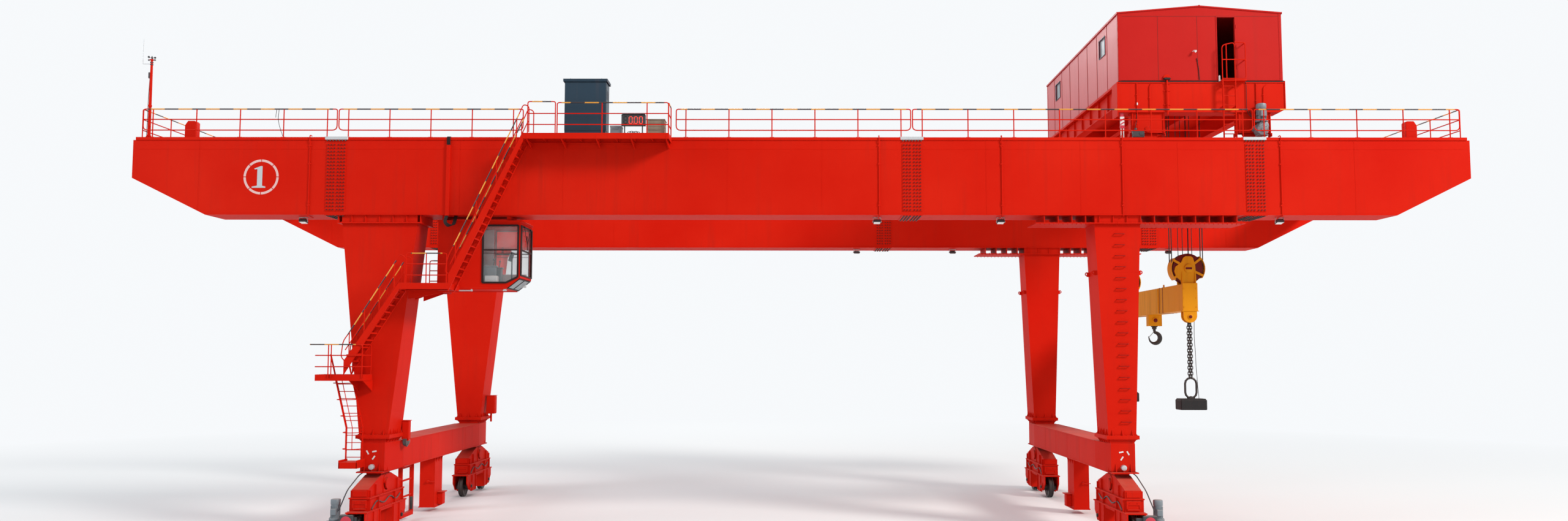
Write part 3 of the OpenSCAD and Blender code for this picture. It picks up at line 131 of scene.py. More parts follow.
def plate(bm, outline, thickness, soften=0.0):
    """A flat plate: a face over the outline, pushed out by the thickness vector."""
    face = bm.faces.new([bm.verts.new(point) for point in outline])
    pushed = bmesh.ops.extrude_face_region(bm, geom=[face])
    verts = [item for item in pushed["geom"] if isinstance(item, bmesh.types.BMVert)]
    bmesh.ops.translate(bm, vec=Vector(thickness), verts=verts)
    faces = {item for vert in verts for item in vert.link_faces} | {face}
    bmesh.ops.recalc_face_normals(bm, faces=list(faces))
    if soften:
        chamfer(bm, {edge for item in faces for edge in item.edges}, soften)


def fin(bm, axis, at, thick, outline, soften=0.001):
    """A flat plate across the X or the Y axis; its outline is given in the other direction and in Z."""
    if axis == "X":
        plate(bm, [(at, y, z) for y, z in outline], (thick, 0, 0), soften)
    else:
        plate(bm, [(x, at, z) for x, z in outline], (0, thick, 0), soften)


def bolt(bm, at, axis, size=0.011, height=0.009):
    """A hexagon bolt head standing on a surface."""
    at, axis = Vector(at), Vector(axis).normalized()
    rod(bm, at, at + axis * height, size, sides=6)


def bolt_ring(bm, centre, axis, radius, count, size, height=0.009, start=0.0):
    """Bolts spaced evenly round a centre, on a surface across one of the three axes."""
    for turn in range(count):
        angle = start + math.tau * turn / count
        first, second = radius * math.cos(angle), radius * math.sin(angle)
        if axis[0]:
            offset = Vector((0.0, first, second))
        elif axis[1]:
            offset = Vector((first, 0.0, second))
        else:
            offset = Vector((first, second, 0.0))
        bolt(bm, Vector(centre) + offset, axis, size, height)


def leaning(degrees, axis):
    """A turn round an axis by an angle in degrees."""
    return Matrix.Rotation(math.radians(degrees), 4, axis)


def arc(centre, radius, start, sweep, count):
    """Points on an arc round a centre in an upright plane along X, its angles in radians."""
    angles = [start + sweep * step / (count - 1) for step in range(count)]
    return [Vector(centre) + radius * Vector((math.cos(angle), 0.0, math.sin(angle))) for angle in angles]


def rounded(points, radius, steps=4):
    """The path through the points with its corners rounded."""
    points = [Vector(point) for point in points]
    path = [points[0]]
    for before, corner, after in zip(points, points[1:], points[2:]):
        back, ahead = before - corner, after - corner
        reach = min(radius, back.length * 0.48, ahead.length * 0.48)
        start = corner + back.normalized() * reach
        end = corner + ahead.normalized() * reach
        for step in range(steps + 1):
            t = step / steps
            path.append(start * (1 - t) ** 2 + corner * 2 * t * (1 - t) + end * t * t)
    path.append(points[-1])
    return path


def new_object(name, data):
    """An object at the origin, in the scene."""
    made = bpy.data.objects.new(name, data)
    scene.collection.objects.link(made)
    return made


def finished(name, mesh, material, body, slot):
    """A piece with its finish: smooth faces, sharp edges kept, on its body if it has one."""
    mesh.materials.append(material)
    mesh.shade_smooth()
    mesh.set_sharp_from_angle(angle=math.radians(32))
    piece = new_object(name, mesh)
    if body:
        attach(piece, body)
    slot = slot or SLOT_OF[material.name]
    return piece


def mesh_of(bm, name):
    """The mesh drawn in a bmesh, which is then freed."""
    mesh = bpy.data.meshes.new(name)
    bm.to_mesh(mesh)
    bm.free()
    return mesh


def piece_from(bm, name, material, body="gantry", slot=None):
    """Turns a bmesh into a piece of the crane; a slot is worked out from its finish unless given, but it is
    not kept.
    """
    return finished(name, mesh_of(bm, name), material, body, slot)


def pipes(name, paths, radius, material, body="gantry", slot=None, sides=8, closed=False, widths=None):
    """Round tubes along paths, as one piece; widths scale the radius point by point."""
    curve = bpy.data.curves.new(name + "_path", "CURVE")
    curve.dimensions = "3D"
    curve.bevel_depth = radius
    curve.bevel_resolution = (sides - 4) // 2
    curve.use_fill_caps = True
    for path in paths:
        spline = curve.splines.new("POLY")
        spline.points.add(len(path) - 1)
        for number, (target, point) in enumerate(zip(spline.points, path)):
            target.co = (*point, 1.0)
            target.radius = widths[number] if widths else 1.0
        spline.use_cyclic_u = closed
    drawn = new_object(name + "_path", curve)
    bpy.context.view_layer.update()
    mesh = bpy.data.meshes.new_from_object(drawn.evaluated_get(bpy.context.evaluated_depsgraph_get()))
    bpy.data.objects.remove(drawn)
    mesh.name = name
    mesh.materials.clear()
    return finished(name, mesh, material, body, slot)


# Shader groups


def group_with(name, inputs, outputs):
    """A node group with float inputs, each a name and a value, and named float outputs."""
    tree = bpy.data.node_groups.new(name, "ShaderNodeTree")
    for label, value in inputs:
        socket = tree.interface.new_socket(label, in_out="INPUT", socket_type="NodeSocketFloat")
        socket.default_value = value
    for label in outputs:
        tree.interface.new_socket(label, in_out="OUTPUT", socket_type="NodeSocketFloat")
    return tree, tree.nodes.new("NodeGroupInput"), tree.nodes.new("NodeGroupOutput")


def noise(tree, vector, scale, detail=4.0, roughness=0.55):
    """Noise between 0 and 1 over a vector."""
    node = tree.nodes.new("ShaderNodeTexNoise")
    node.inputs["Detail"].default_value = detail
    node.inputs["Roughness"].default_value = roughness
    tree.links.new(vector, node.inputs["Vector"])
    node.inputs["Scale"].default_value = scale
    return node.outputs["Fac"]


def stretched(tree, vector, scale):
    """A vector with each of its parts scaled."""
    node = tree.nodes.new("ShaderNodeMapping")
    node.inputs["Scale"].default_value = scale
    tree.links.new(vector, node.inputs["Vector"])
    return node.outputs["Vector"]


def band(tree, value, low, high, out_low=0.0, out_high=1.0):
    """A value mapped from one range to another and held inside it."""
    node = tree.nodes.new("ShaderNodeMapRange")
    node.inputs["From Min"].default_value = low
    node.inputs["From Max"].default_value = high
    node.inputs["To Min"].default_value = out_low
    node.inputs["To Max"].default_value = out_high
    tree.links.new(value, node.inputs["Value"])
    return node.outputs["Result"]


def combine(tree, operation, first, second):
    """A sum, product or other operation on two numbers or sockets."""
    node = tree.nodes.new("ShaderNodeMath")
    node.operation = operation
    for socket, value in zip(node.inputs, (first, second)):
        if isinstance(value, (int, float)):
            socket.default_value = value
        else:
            tree.links.new(value, socket)
    return node.outputs["Value"]


def weathering_group():
    """Fading, rain streaks, dust on upward faces, rust chips and a fine height."""
    tree, ins, outs = group_with(
        "weathering",
        [("Streaks", 0.5), ("Dust", 0.5), ("Rust", 0.3)],
        ["Fade", "Streak", "Dust", "Rust", "Height"],
    )
    where = tree.nodes.new("ShaderNodeTexCoord").outputs["Object"]
    fade = band(tree, noise(tree, where, 0.45, 5.0), 0.3, 0.7)
    streak = band(tree, noise(tree, stretched(tree, where, (9.0, 9.0, 0.5)), 1.0, 5.0, 0.62), 0.52, 0.78)
    broad = band(tree, noise(tree, where, 0.9, 2.0), 0.35, 0.65)
    streak = combine(tree, "MULTIPLY", combine(tree, "MULTIPLY", streak, broad), ins.outputs["Streaks"])
    normal = tree.nodes.new("ShaderNodeSeparateXYZ")
    tree.links.new(tree.nodes.new("ShaderNodeNewGeometry").outputs["Normal"], normal.inputs[0])
    up = band(tree, normal.outputs["Z"], 0.35, 0.95)
    dust = combine(tree, "MULTIPLY", up, band(tree, noise(tree, where, 2.2, 6.0, 0.65), 0.25, 0.7, 0.35, 1.0))
    dust = combine(tree, "MULTIPLY", dust, ins.outputs["Dust"])
    chips = band(tree, noise(tree, where, 14.0, 8.0, 0.7), 0.665, 0.70)
    patches = band(tree, noise(tree, where, 1.1, 3.0), 0.5, 0.72)
    rust = combine(tree, "MULTIPLY", combine(tree, "MULTIPLY", chips, patches), ins.outputs["Rust"])
    fine = noise(tree, where, 60.0, 3.0)
    waves = combine(tree, "MULTIPLY", noise(tree, where, 1.6, 1.0), 9.0)
    height = combine(tree, "ADD", waves, fine)
    results = {"Fade": fade, "Streak": streak, "Dust": dust, "Rust": rust, "Height": height}
    for label, value in results.items():
        tree.links.new(value, outs.inputs[label])
    return tree


WEATHERING = weathering_group()


def mix_colours(tree, factor, first, second):
    """A blend of two colours, each a tuple or a socket."""
    node = tree.nodes.new("ShaderNodeMix")
    node.data_type = "RGBA"
    tree.links.new(factor, node.inputs[0])
    for socket, value in ((node.inputs[6], first), (node.inputs[7], second)):
        if isinstance(value, tuple):
            socket.default_value = (*value, 1.0)
        else:
            tree.links.new(value, socket)
    return node.outputs[2]


def plain_surface(name):
    """A new material with its node tree and its surface node."""
    material = bpy.data.materials.new(name)
    material.use_nodes = True
    tree = material.node_tree
    return material, tree, tree.nodes["Principled BSDF"]


def bumped(tree, surface, height, distance, strength=0.5):
    """Gives a surface a fine relief."""
    bump = tree.nodes.new("ShaderNodeBump")
    bump.inputs["Strength"].default_value = strength
    bump.inputs["Distance"].default_value = distance
    tree.links.new(height, bump.inputs["Height"])
    tree.links.new(bump.outputs["Normal"], surface.inputs["Normal"])


def weathered(name, colour, faded, dirt=(0.16, 0.09, 0.07), dusty=(0.50, 0.40, 0.34), streaks=0.5,
              dust=0.5, rust=0.3, roughness=0.42, worn_roughness=0.62, metallic=0.0, gloss=0.5):
    """Paint or bare metal with fading, streaks, dust and rust from the shared group."""
    material, tree, surface = plain_surface(name)
    wear = tree.nodes.new("ShaderNodeGroup")
    wear.node_tree = WEATHERING
    wear.inputs["Streaks"].default_value = streaks
    wear.inputs["Dust"].default_value = dust
    wear.inputs["Rust"].default_value = rust
    base = mix_colours(tree, wear.outputs["Fade"], colour, faded)
    base = mix_colours(tree, wear.outputs["Streak"], base, dirt)
    base = mix_colours(tree, wear.outputs["Rust"], base, (0.15, 0.045, 0.02))
    base = mix_colours(tree, wear.outputs["Dust"], base, dusty)
    tree.links.new(base, surface.inputs["Base Color"])
    rough = combine(tree, "MAXIMUM", wear.outputs["Dust"], wear.outputs["Rust"])
    rough = combine(tree, "MAXIMUM", rough, wear.outputs["Streak"])
    tree.links.new(band(tree, rough, 0.0, 1.0, roughness, worn_roughness), surface.inputs["Roughness"])
    surface.inputs["Metallic"].default_value = metallic
    surface.inputs["Specular IOR Level"].default_value = gloss
    bumped(tree, surface, wear.outputs["Height"], 0.002, 0.35)
    return material


RED = weathered("crane_red", (0.620, 0.010, 0.003), (0.690, 0.018, 0.006), dirt=(0.30, 0.02, 0.012),
                dusty=(0.46, 0.15, 0.10), streaks=0.30, dust=0.35, rust=0.4, roughness=0.50, gloss=0.03)
RED_LOW = weathered("crane_red_low", (0.600, 0.009, 0.003), (0.660, 0.018, 0.007), dirt=(0.20, 0.02, 0.012),
                    dusty=(0.46, 0.17, 0.12), streaks=0.55, dust=0.5, rust=0.8, roughness=0.50, gloss=0.03)
RED_HOUSE = weathered("house_red", (0.490, 0.009, 0.007), (0.550, 0.014, 0.010), dirt=(0.28, 0.02, 0.014),
                      dusty=(0.42, 0.16, 0.13), streaks=0.25, dust=0.25, rust=0.2, roughness=0.42, gloss=0.1)
# The house's side walls: a pinker copy of the house red, with pink dust, painted to stand in for the sky's
# reflection on them; the gloss adds real sheen on top.
SHEEN_PAINTED_SIDE_RED = weathered("house_side_red_painted_sheen", (0.500, 0.016, 0.020), (0.560, 0.034, 0.040), dirt=(0.30, 0.04, 0.04),
                      dusty=(0.44, 0.22, 0.22), streaks=0.6, dust=0.4, rust=0.2, roughness=0.44,
                      worn_roughness=0.52, gloss=0.4)
BOLT_RED = weathered("bolt_red", (0.120, 0.006, 0.004), (0.200, 0.010, 0.006), dirt=(0.06, 0.01, 0.008),
                     streaks=0.4, dust=0.3, rust=0.6, roughness=0.45, gloss=0.2)
# A darker copy of the crane red for the leg rungs: painted shade for the shadow they sit in.
PAINTED_SHADE_RED = weathered("painted_shade_red", (0.300, 0.006, 0.003), (0.360, 0.010, 0.005), dirt=(0.12, 0.012, 0.008),
                       dusty=(0.20, 0.08, 0.06), streaks=0.4, dust=0.2, rust=0.5, roughness=0.45, gloss=0.1)
YELLOW = weathered("hook_yellow", (0.760, 0.290, 0.004), (0.820, 0.350, 0.010), dirt=(0.12, 0.06, 0.01),
                   dusty=(0.46, 0.24, 0.04), streaks=0.35, dust=0.25, rust=0.9, roughness=0.46, gloss=0.10)
GREY_PAINT = weathered("machine_grey", (0.170, 0.200, 0.225), (0.230, 0.255, 0.275), streaks=0.5, dust=0.6,
                       rust=0.3, roughness=0.45)
DARK_PAINT = weathered("machine_dark", (0.030, 0.032, 0.036), (0.055, 0.055, 0.060), streaks=0.4, dust=0.35,
                       rust=0.2, roughness=0.5)
BLUE_GREY = weathered("cabinet_blue_grey", (0.014, 0.034, 0.056), (0.020, 0.044, 0.070),
                      dusty=(0.10, 0.12, 0.14), streaks=0.3, dust=0.3, rust=0.1, roughness=0.40, gloss=0.3)
DARK_STEEL = weathered("dark_steel", (0.035, 0.032, 0.032), (0.075, 0.065, 0.060), streaks=0.5, dust=0.35,
                       rust=1.0, roughness=0.42, worn_roughness=0.75, metallic=0.7)
BARE_STEEL = weathered("bare_steel", (0.300, 0.285, 0.270), (0.380, 0.355, 0.330), dirt=(0.12, 0.07, 0.05),
                       streaks=0.6, dust=0.4, rust=1.0, roughness=0.36, worn_roughness=0.7, metallic=0.85)
GALVANISED = weathered("galvanised", (0.520, 0.540, 0.550), (0.620, 0.630, 0.640), streaks=0.3, dust=0.3,
                       rust=0.2, roughness=0.40, metallic=0.5)
WHITE_PAINT = weathered("white_paint", (0.700, 0.700, 0.690), (0.800, 0.800, 0.790), dirt=(0.35, 0.30, 0.26),
                        streaks=0.5, dust=0.3, rust=0.2, roughness=0.4)
FADED_WHITE = weathered("faded_white", (0.780, 0.470, 0.440), (0.820, 0.560, 0.530), dirt=(0.50, 0.20, 0.16),
                        streaks=0.5, dust=0.3, rust=0.2, roughness=0.45)
GASKET = weathered("window_gasket", (0.020, 0.010, 0.010), (0.030, 0.016, 0.016), dirt=(0.05, 0.02, 0.02),
                   dusty=(0.09, 0.05, 0.05), streaks=0.2, dust=0.2, rust=0.0, roughness=0.55, gloss=0.2)
ROPE = weathered("greased_rope", (0.040, 0.036, 0.032), (0.080, 0.070, 0.062), streaks=0.3, dust=0.1,
                 rust=0.4, roughness=0.45, metallic=0.6)
CAST_IRON = weathered("cast_weight", (0.012, 0.011, 0.012), (0.024, 0.022, 0.022), dirt=(0.05, 0.04, 0.03),
                      dusty=(0.09, 0.08, 0.07), streaks=0.4, dust=0.3, rust=0.6, roughness=0.6, gloss=0.25)
RED_LAMP = weathered("red_buffer", (0.560, 0.020, 0.045), (0.660, 0.050, 0.080), streaks=0.2, dust=0.3,
                     rust=0.0, roughness=0.25)
TIMBER = weathered("plywood_box", (0.270, 0.200, 0.140), (0.340, 0.270, 0.200), dirt=(0.16, 0.10, 0.06),
                   streaks=0.8, dust=0.5, rust=0.0, roughness=0.7)


def banding_group():
    """Bands of equal length along a direction, as a mask."""
    tree, ins, outs = group_with(
        "banding", [("Along X", 1.0), ("Along Y", 1.0), ("Along Z", 0.0)], ["Mask"],
    )
    axes = tree.nodes.new("ShaderNodeSeparateXYZ")
    tree.links.new(tree.nodes.new("ShaderNodeTexCoord").outputs["Object"], axes.inputs[0])
    parts = [combine(tree, "MULTIPLY", axes.outputs[axis], ins.outputs["Along " + axis]) for axis in "XYZ"]
    along = combine(tree, "ADD", combine(tree, "ADD", parts[0], parts[1]), parts[2])
    turn = combine(tree, "FRACT", combine(tree, "DIVIDE", along, 0.455), 0.0)
    tree.links.new(band(tree, turn, 0.485, 0.515), outs.inputs["Mask"])
    return tree


BANDING = banding_group()


def striped_paint(name, along):
    """Yellow and dark bands along a handrail, with streaks and dust."""
    material, tree, surface = plain_surface(name)
    bands = tree.nodes.new("ShaderNodeGroup")
    bands.node_tree = BANDING
    for axis, part in zip("XYZ", along):
        bands.inputs["Along " + axis].default_value = part
    mask = bands.outputs["Mask"]
    wear = tree.nodes.new("ShaderNodeGroup")
    wear.node_tree = WEATHERING
    base = mix_colours(tree, mask, (0.800, 0.340, 0.030), (0.030, 0.016, 0.018))
    base = mix_colours(tree, wear.outputs["Streak"], base, (0.12, 0.06, 0.045))
    base = mix_colours(tree, wear.outputs["Dust"], base, (0.30, 0.22, 0.17))
    tree.links.new(base, surface.inputs["Base Color"])
    surface.inputs["Roughness"].default_value = 0.42
    bumped(tree, surface, wear.outputs["Height"], 0.001)
    return material


def rope_lay():
    """Greased wire rope: slanting strands across and along it."""
    material, tree, surface = plain_surface("rope_lay")
    strands = tree.nodes.new("ShaderNodeTexWave")
    strands.bands_direction = "DIAGONAL"
    strands.inputs["Scale"].default_value = 38.0
    tree.links.new(tree.nodes.new("ShaderNodeTexCoord").outputs["Object"], strands.inputs["Vector"])
    tone = strands.outputs["Fac"]
    steel = mix_colours(tree, tone, (0.020, 0.018, 0.016), (0.110, 0.100, 0.090))
    tree.links.new(steel, surface.inputs["Base Color"])
    surface.inputs["Roughness"].default_value = 0.45
    surface.inputs["Metallic"].default_value = 0.6
    bumped(tree, surface, tone, 0.003, 0.8)
    return material


ROPE_LAY = rope_lay()
RAIL_BANDS = striped_paint("rail_bands", (1.0, 1.0, 0.0))
LOWER_STAIR_BANDS = striped_paint("lower_stair_bands", (0.531, 0.0, 0.847))
UPPER_STAIR_BANDS = striped_paint("upper_stair_bands", (0.429, 0.0, 0.903))


def clear_glass():
    """Window glass with a thin film of dust."""
    material, tree, surface = plain_surface("window_glass")
    where = tree.nodes.new("ShaderNodeTexCoord").outputs["Object"]
    film = band(tree, noise(tree, where, 5.0, 5.0), 0.3, 0.8)
    tint = mix_colours(tree, film, (0.30, 0.40, 0.40), (0.50, 0.56, 0.56))
    tree.links.new(tint, surface.inputs["Base Color"])
    tree.links.new(band(tree, film, 0.0, 1.0, 0.13, 0.22), surface.inputs["Alpha"])
    tree.links.new(band(tree, film, 0.0, 1.0, 0.04, 0.14), surface.inputs["Roughness"])
    surface.inputs["Transmission Weight"].default_value = 0.0
    surface.inputs["Specular IOR Level"].default_value = 0.9
    return material


GLASS = clear_glass()
PALE_PANE = weathered("pale_pane", (0.240, 0.290, 0.310), (0.330, 0.370, 0.390), dirt=(0.16, 0.15, 0.14),
                      dusty=(0.30, 0.30, 0.29), streaks=0.8, dust=0.3, rust=0.0, roughness=0.30, gloss=0.3)


def glowing(name, colour, strength):
    """A pale or lit face with a faint grain."""
    material, tree, surface = plain_surface(name)
    where = tree.nodes.new("ShaderNodeTexCoord").outputs["Object"]
    grain = band(tree, noise(tree, where, 90.0, 2.0), 0.3, 0.7)
    tint = mix_colours(tree, grain, colour, tuple(0.8 * part for part in colour))
    tree.links.new(tint, surface.inputs["Base Color"])
    tree.links.new(tint, surface.inputs["Emission Color"])
    surface.inputs["Emission Strength"].default_value = strength
    surface.inputs["Roughness"].default_value = 0.3
    return material


LAMP_FACE = glowing("lamp_face", (0.85, 0.86, 0.84), 0.15)
DIGITS = glowing("display_digits", (0.90, 0.05, 0.03), 1.2)


# Camera, light and floor


def set_camera():
    """The camera that sees the crane as the photograph does."""
    data = bpy.data.cameras.new("camera")
    data.sensor_width = 36.0
    data.lens = 24.73
    data.shift_y = 0.0153
    data.clip_end = 500.0
    camera = new_object("camera", data)
    camera.location = (-0.225, -20.460, 2.856)
    camera.rotation_euler = (math.radians(90) + 0.068, -0.0009, 0.0024)
    scene.camera = camera


def soft_light(name, at, towards, size, power, colour=(1.0, 1.0, 1.0)):
    """A round area light that looks towards a place."""
    data = bpy.data.lights.new(name, "AREA")
    data.shape = "DISK"
    data.size = size
    data.energy = power
    data.color = colour
    lamp = new_object(name, data)
    lamp.location = at
    lamp.rotation_euler = (Vector(towards) - Vector(at)).to_track_quat("-Z", "Y").to_euler()


def set_world():
    """An even pale sky; what the camera and mirrors see is white."""
    world = bpy.data.worlds.new("studio")
    scene.world = world
    world.use_nodes = True
    tree = world.node_tree
    light = tree.nodes["Background"]
    light.inputs["Color"].default_value = (0.86, 0.93, 1.0, 1.0)
    light.inputs["Strength"].default_value = 0.50
    seen = tree.nodes.new("ShaderNodeBackground")
    seen.inputs["Color"].default_value = (0.93, 0.95, 0.97, 1.0)
    seen.inputs["Strength"].default_value = 1.0
    path = tree.nodes.new("ShaderNodeLightPath")
    direct = combine(tree, "MAXIMUM", path.outputs["Is Camera Ray"], path.outputs["Is Transmission Ray"])
    direct = combine(tree, "MAXIMUM", direct, path.outputs["Is Glossy Ray"])
    choice = tree.nodes.new("ShaderNodeMixShader")
    tree.links.new(direct, choice.inputs["Fac"])
    tree.links.new(light.outputs[0], choice.inputs[1])
    tree.links.new(seen.outputs[0], choice.inputs[2])
    tree.links.new(choice.outputs[0], tree.nodes["World Output"].inputs["Surface"])


def set_floor():
    """A pale floor that fades into the sky far from the crane."""
    material, tree, surface = plain_surface("floor_pale")
    surface.inputs["Base Color"].default_value = (0.80, 0.80, 0.79, 1.0)
    surface.inputs["Roughness"].default_value = 0.9
    spread = tree.nodes.new("ShaderNodeVectorMath")
    spread.operation = "LENGTH"
    tree.links.new(tree.nodes.new("ShaderNodeTexCoord").outputs["Object"], spread.inputs[0])
    away = band(tree, spread.outputs["Value"], 13.0, 30.0)
    glow = tree.nodes.new("ShaderNodeEmission")
    glow.inputs["Color"].default_value = (0.93, 0.95, 0.97, 1.0)
    seen = combine(tree, "MULTIPLY", away, tree.nodes.new("ShaderNodeLightPath").outputs["Is Camera Ray"])
    fade = tree.nodes.new("ShaderNodeMixShader")
    tree.links.new(seen, fade.inputs["Fac"])
    tree.links.new(surface.outputs[0], fade.inputs[1])
    tree.links.new(glow.outputs[0], fade.inputs[2])
    tree.links.new(fade.outputs[0], tree.nodes["Material Output"].inputs["Surface"])
    bm = bmesh.new()
    bmesh.ops.create_grid(bm, x_segments=1, y_segments=1, size=220.0)
    bmesh.ops.translate(bm, vec=(0.0, 0.0, -0.001), verts=bm.verts)
    mesh = mesh_of(bm, "floor")
    mesh.materials.append(material)
    floor = new_object("floor", mesh)


set_camera()
set_world()
set_floor()
soft_light("key", (38.0, -26.0, 31.0), (0.0, 0.0, 3.5), 12.0, 20500.0, (1.0, 0.97, 0.93))
soft_light("side", (-38.0, -16.0, 20.0), (0.0, 0.0, 4.0), 18.0, 5000.0, (0.93, 0.96, 1.0))
soft_light("back", (-6.0, 40.0, 30.0), (0.0, 0.0, 4.0), 18.0, 8000.0)
scene.view_settings.view_transform = "Standard"


# Paint on the crane's own solids

# The finishes of each slot; the first one is what the solids wear
FINISHES = {
    "red_paint": (RED, RED_LOW, RED_HOUSE, SHEEN_PAINTED_SIDE_RED, BOLT_RED, PAINTED_SHADE_RED, RED_LAMP, DIGITS, RAIL_BANDS,
                  LOWER_STAIR_BANDS, UPPER_STAIR_BANDS),
    "yellow_paint": (YELLOW,),
    "grey_paint": (GREY_PAINT,),
    "blue_grey_paint": (BLUE_GREY,),
    "bare_steel": (BARE_STEEL,),
    "dark_steel": (DARK_STEEL, CAST_IRON),
    "rope_steel": (ROPE, ROPE_LAY),
    "glazing": (GLASS, PALE_PANE),
    "seat_trim": (DARK_PAINT, GASKET, TIMBER),
    "zinc_grey": (GALVANISED, WHITE_PAINT, FADED_WHITE, LAMP_FACE),
}
SLOT_OF = {finish.name: slot for slot, finishes in FINISHES.items() for finish in finishes}
LOW_NODES = ("bogie", "anchor", "sill", "cable_guide")


def paint_nodes():
    """Gives each solid the finish of its slot; low parts and the trolley house have reds of their own, the
    house's side walls a pinker red that is painted reflection of the sky.
    """
    slots = {item["node"]: item["material_slot"] for item in frame["record"]["subparts"]}
    for name, node in frame["nodes"].items():
        finish = FINISHES[slots[name]][0]
        if finish is RED and any(word in name for word in LOW_NODES):
            finish = RED_LOW
        if finish is RED and name.startswith("house"):
            finish = SHEEN_PAINTED_SIDE_RED if name in ("house_left_wall", "house_right_wall") else RED_HOUSE
        if name == "house_windows":
            finish = PALE_PANE
        node.data.materials.clear()
        node.data.materials.append(finish)


paint_nodes()


# Railings


def rail_panel(x0, x1, y, z, post_xs, reds, bands):
    """One panel along X: banded top rail, a lower rail with rounded ends, a middle rail and posts."""
    curve = 0.075
    low, middle, top = z + RAIL_HEIGHTS[0], z + RAIL_HEIGHTS[1], z + TOP_RAIL
    start, end = x0 + curve, x1 - curve
    bands.append([(start, y, top), (end, y, top)])
    loop = [(end, top), (x1, top), (x1, low), (x0, low), (x0, top), (start, top)]
    reds.append(rounded([(x, y, up) for x, up in loop], curve))
    reds.append([(x0, y, middle), (x1, y, middle)])
    for x in post_xs:
        reds.append([(x, y, z), (x, y, top)])


def even(x0, x1, pitch):
    """Places from x0 to x1 at an even spacing close to the pitch."""
    count = max(1, round((x1 - x0) / pitch))
    return [x0 + (x1 - x0) * i / count for i in range(count + 1)]


def girder_railings():
    """The railings along both girders, in panels, with a foot plate and two bolts under each post."""
    front = [(-10.864, -7.655), (-7.625, -4.58), (-2.05, 1.820), (1.850, 7.455), (7.485, 10.864)]
    rear = front[:2] + [(-4.54, -2.16), (-2.12, 1.820)] + front[3:]
    for node, y, spans in (("front_railing", -RAILING_Y, front), ("rear_railing", RAILING_Y, rear)):
        reds, bands = [], []
        feet = bmesh.new()
        for x0, x1 in spans:
            posts = even(x0 + 0.16, x1 - 0.16, 0.751)
            rail_panel(x0, x1, y, DECK_Z, posts, reds, bands)
            for x in posts:
                block(feet, (x - 0.035, y - 0.022, DECK_Z), (x + 0.035, y + 0.022, DECK_Z + 0.006), 0.001)
                for dx in (-0.025, 0.025):
                    bolt(feet, (x + dx, y, DECK_Z + 0.006), (0, 0, 1), 0.006, 0.006)
        lower = pipes(node + "_tubes", reds, 0.0095, RED)
        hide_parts(node)
        pipes(node + "_top", bands, 0.011, RAIL_BANDS)
        piece_from(feet, node + "_feet", RED)


girder_railings()


# Girders: bolts, seams, conduits


def splice_bolts():
    """Bolt columns on both faces of each splice, in two groups of three."""
    for name, side in (("front", -1), ("rear", 1)):
        bm = bmesh.new()
        for x in SPLICES_X:
            for face in (-1, 1):
                y = side * GIRDER_Y + face * (WEB_HALF + 0.008)
                for column in SPLICE_COLUMNS:
                    for row in range(20):
                        bolt(bm, (x + column, y, 5.274 + row * 0.0565), (0, face, 0), 0.0135, 0.012)
        piece_from(bm, name + "_splice_bolts", BOLT_RED)


def splice_covers():
    """Bolted cover plates over the deck and its edges at the splices, and under the girders."""
    bare, painted, dark = bmesh.new(), bmesh.new(), bmesh.new()
    under = DECK_Z - DECK_PLATE
    for side in (-1, 1):
        y = side * GIRDER_Y
        for x in SPLICES_X:
            for face in (-1, 1):
                edge = y + face * 0.324
                block(bare, (x - 0.190, edge - face * 0.010, under + 0.004),
                      (x + 0.190, edge + face * 0.006, DECK_Z + 0.008), 0.003)
                for step in range(-3, 4):
                    bolt(dark, (x + step * 0.050, edge - face * 0.002, under), (0, 0, -1), 0.012, 0.020)
            top = bare if x == SPLICES_X[2] else painted
            block(top, (x - 0.20, y - 0.13, DECK_Z), (x + 0.20, y + 0.30, DECK_Z + 0.007), 0.002)
            block(painted, (x - 0.17, y - 0.322, GIRDER_Z - 0.008), (x + 0.17, y + 0.322, GIRDER_Z), 0.002)
            for dx in SPLICE_COLUMNS:
                for step in range(-1, 4):
                    bolt(dark, (x + dx, y + step * 0.08, DECK_Z + 0.007), (0, 0, 1), 0.012, 0.010)
                for step in range(-5, 6):
                    bolt(dark, (x + dx, y + step * 0.06, GIRDER_Z - 0.008), (0, 0, -1), 0.013, 0.014)
    piece_from(bare, "edge_splice_covers", GALVANISED)
    piece_from(painted, "painted_splices", RED)
    piece_from(dark, "cover_bolts", DARK_STEEL)


def web_seams():
    """Butt weld seams round the webs and the angle rail under the deck edge."""
    bm = bmesh.new()
    bevel_start = 9.77
    for side in (-1, 1):
        for face in (-1, 1):
            y = side * GIRDER_Y + face * WEB_HALF
            for x in (-9.9, -5.6, -3.9, -1.2, 0.35, 3.05, 4.6, 6.2, 9.1):
                low = GIRDER_Z + 0.02 + max(0.0, abs(x) - bevel_start) * 0.5
                block(bm, (x - 0.0035, y - 0.002, low), (x + 0.0035, y + 0.002, DECK_Z - DECK_PLATE))
            z = DECK_Z - 0.20
            block(bm, (-10.9, y - 0.002, z), (10.9, y + 0.002, z + 0.006))
    piece_from(bm, "web_seams", RED)


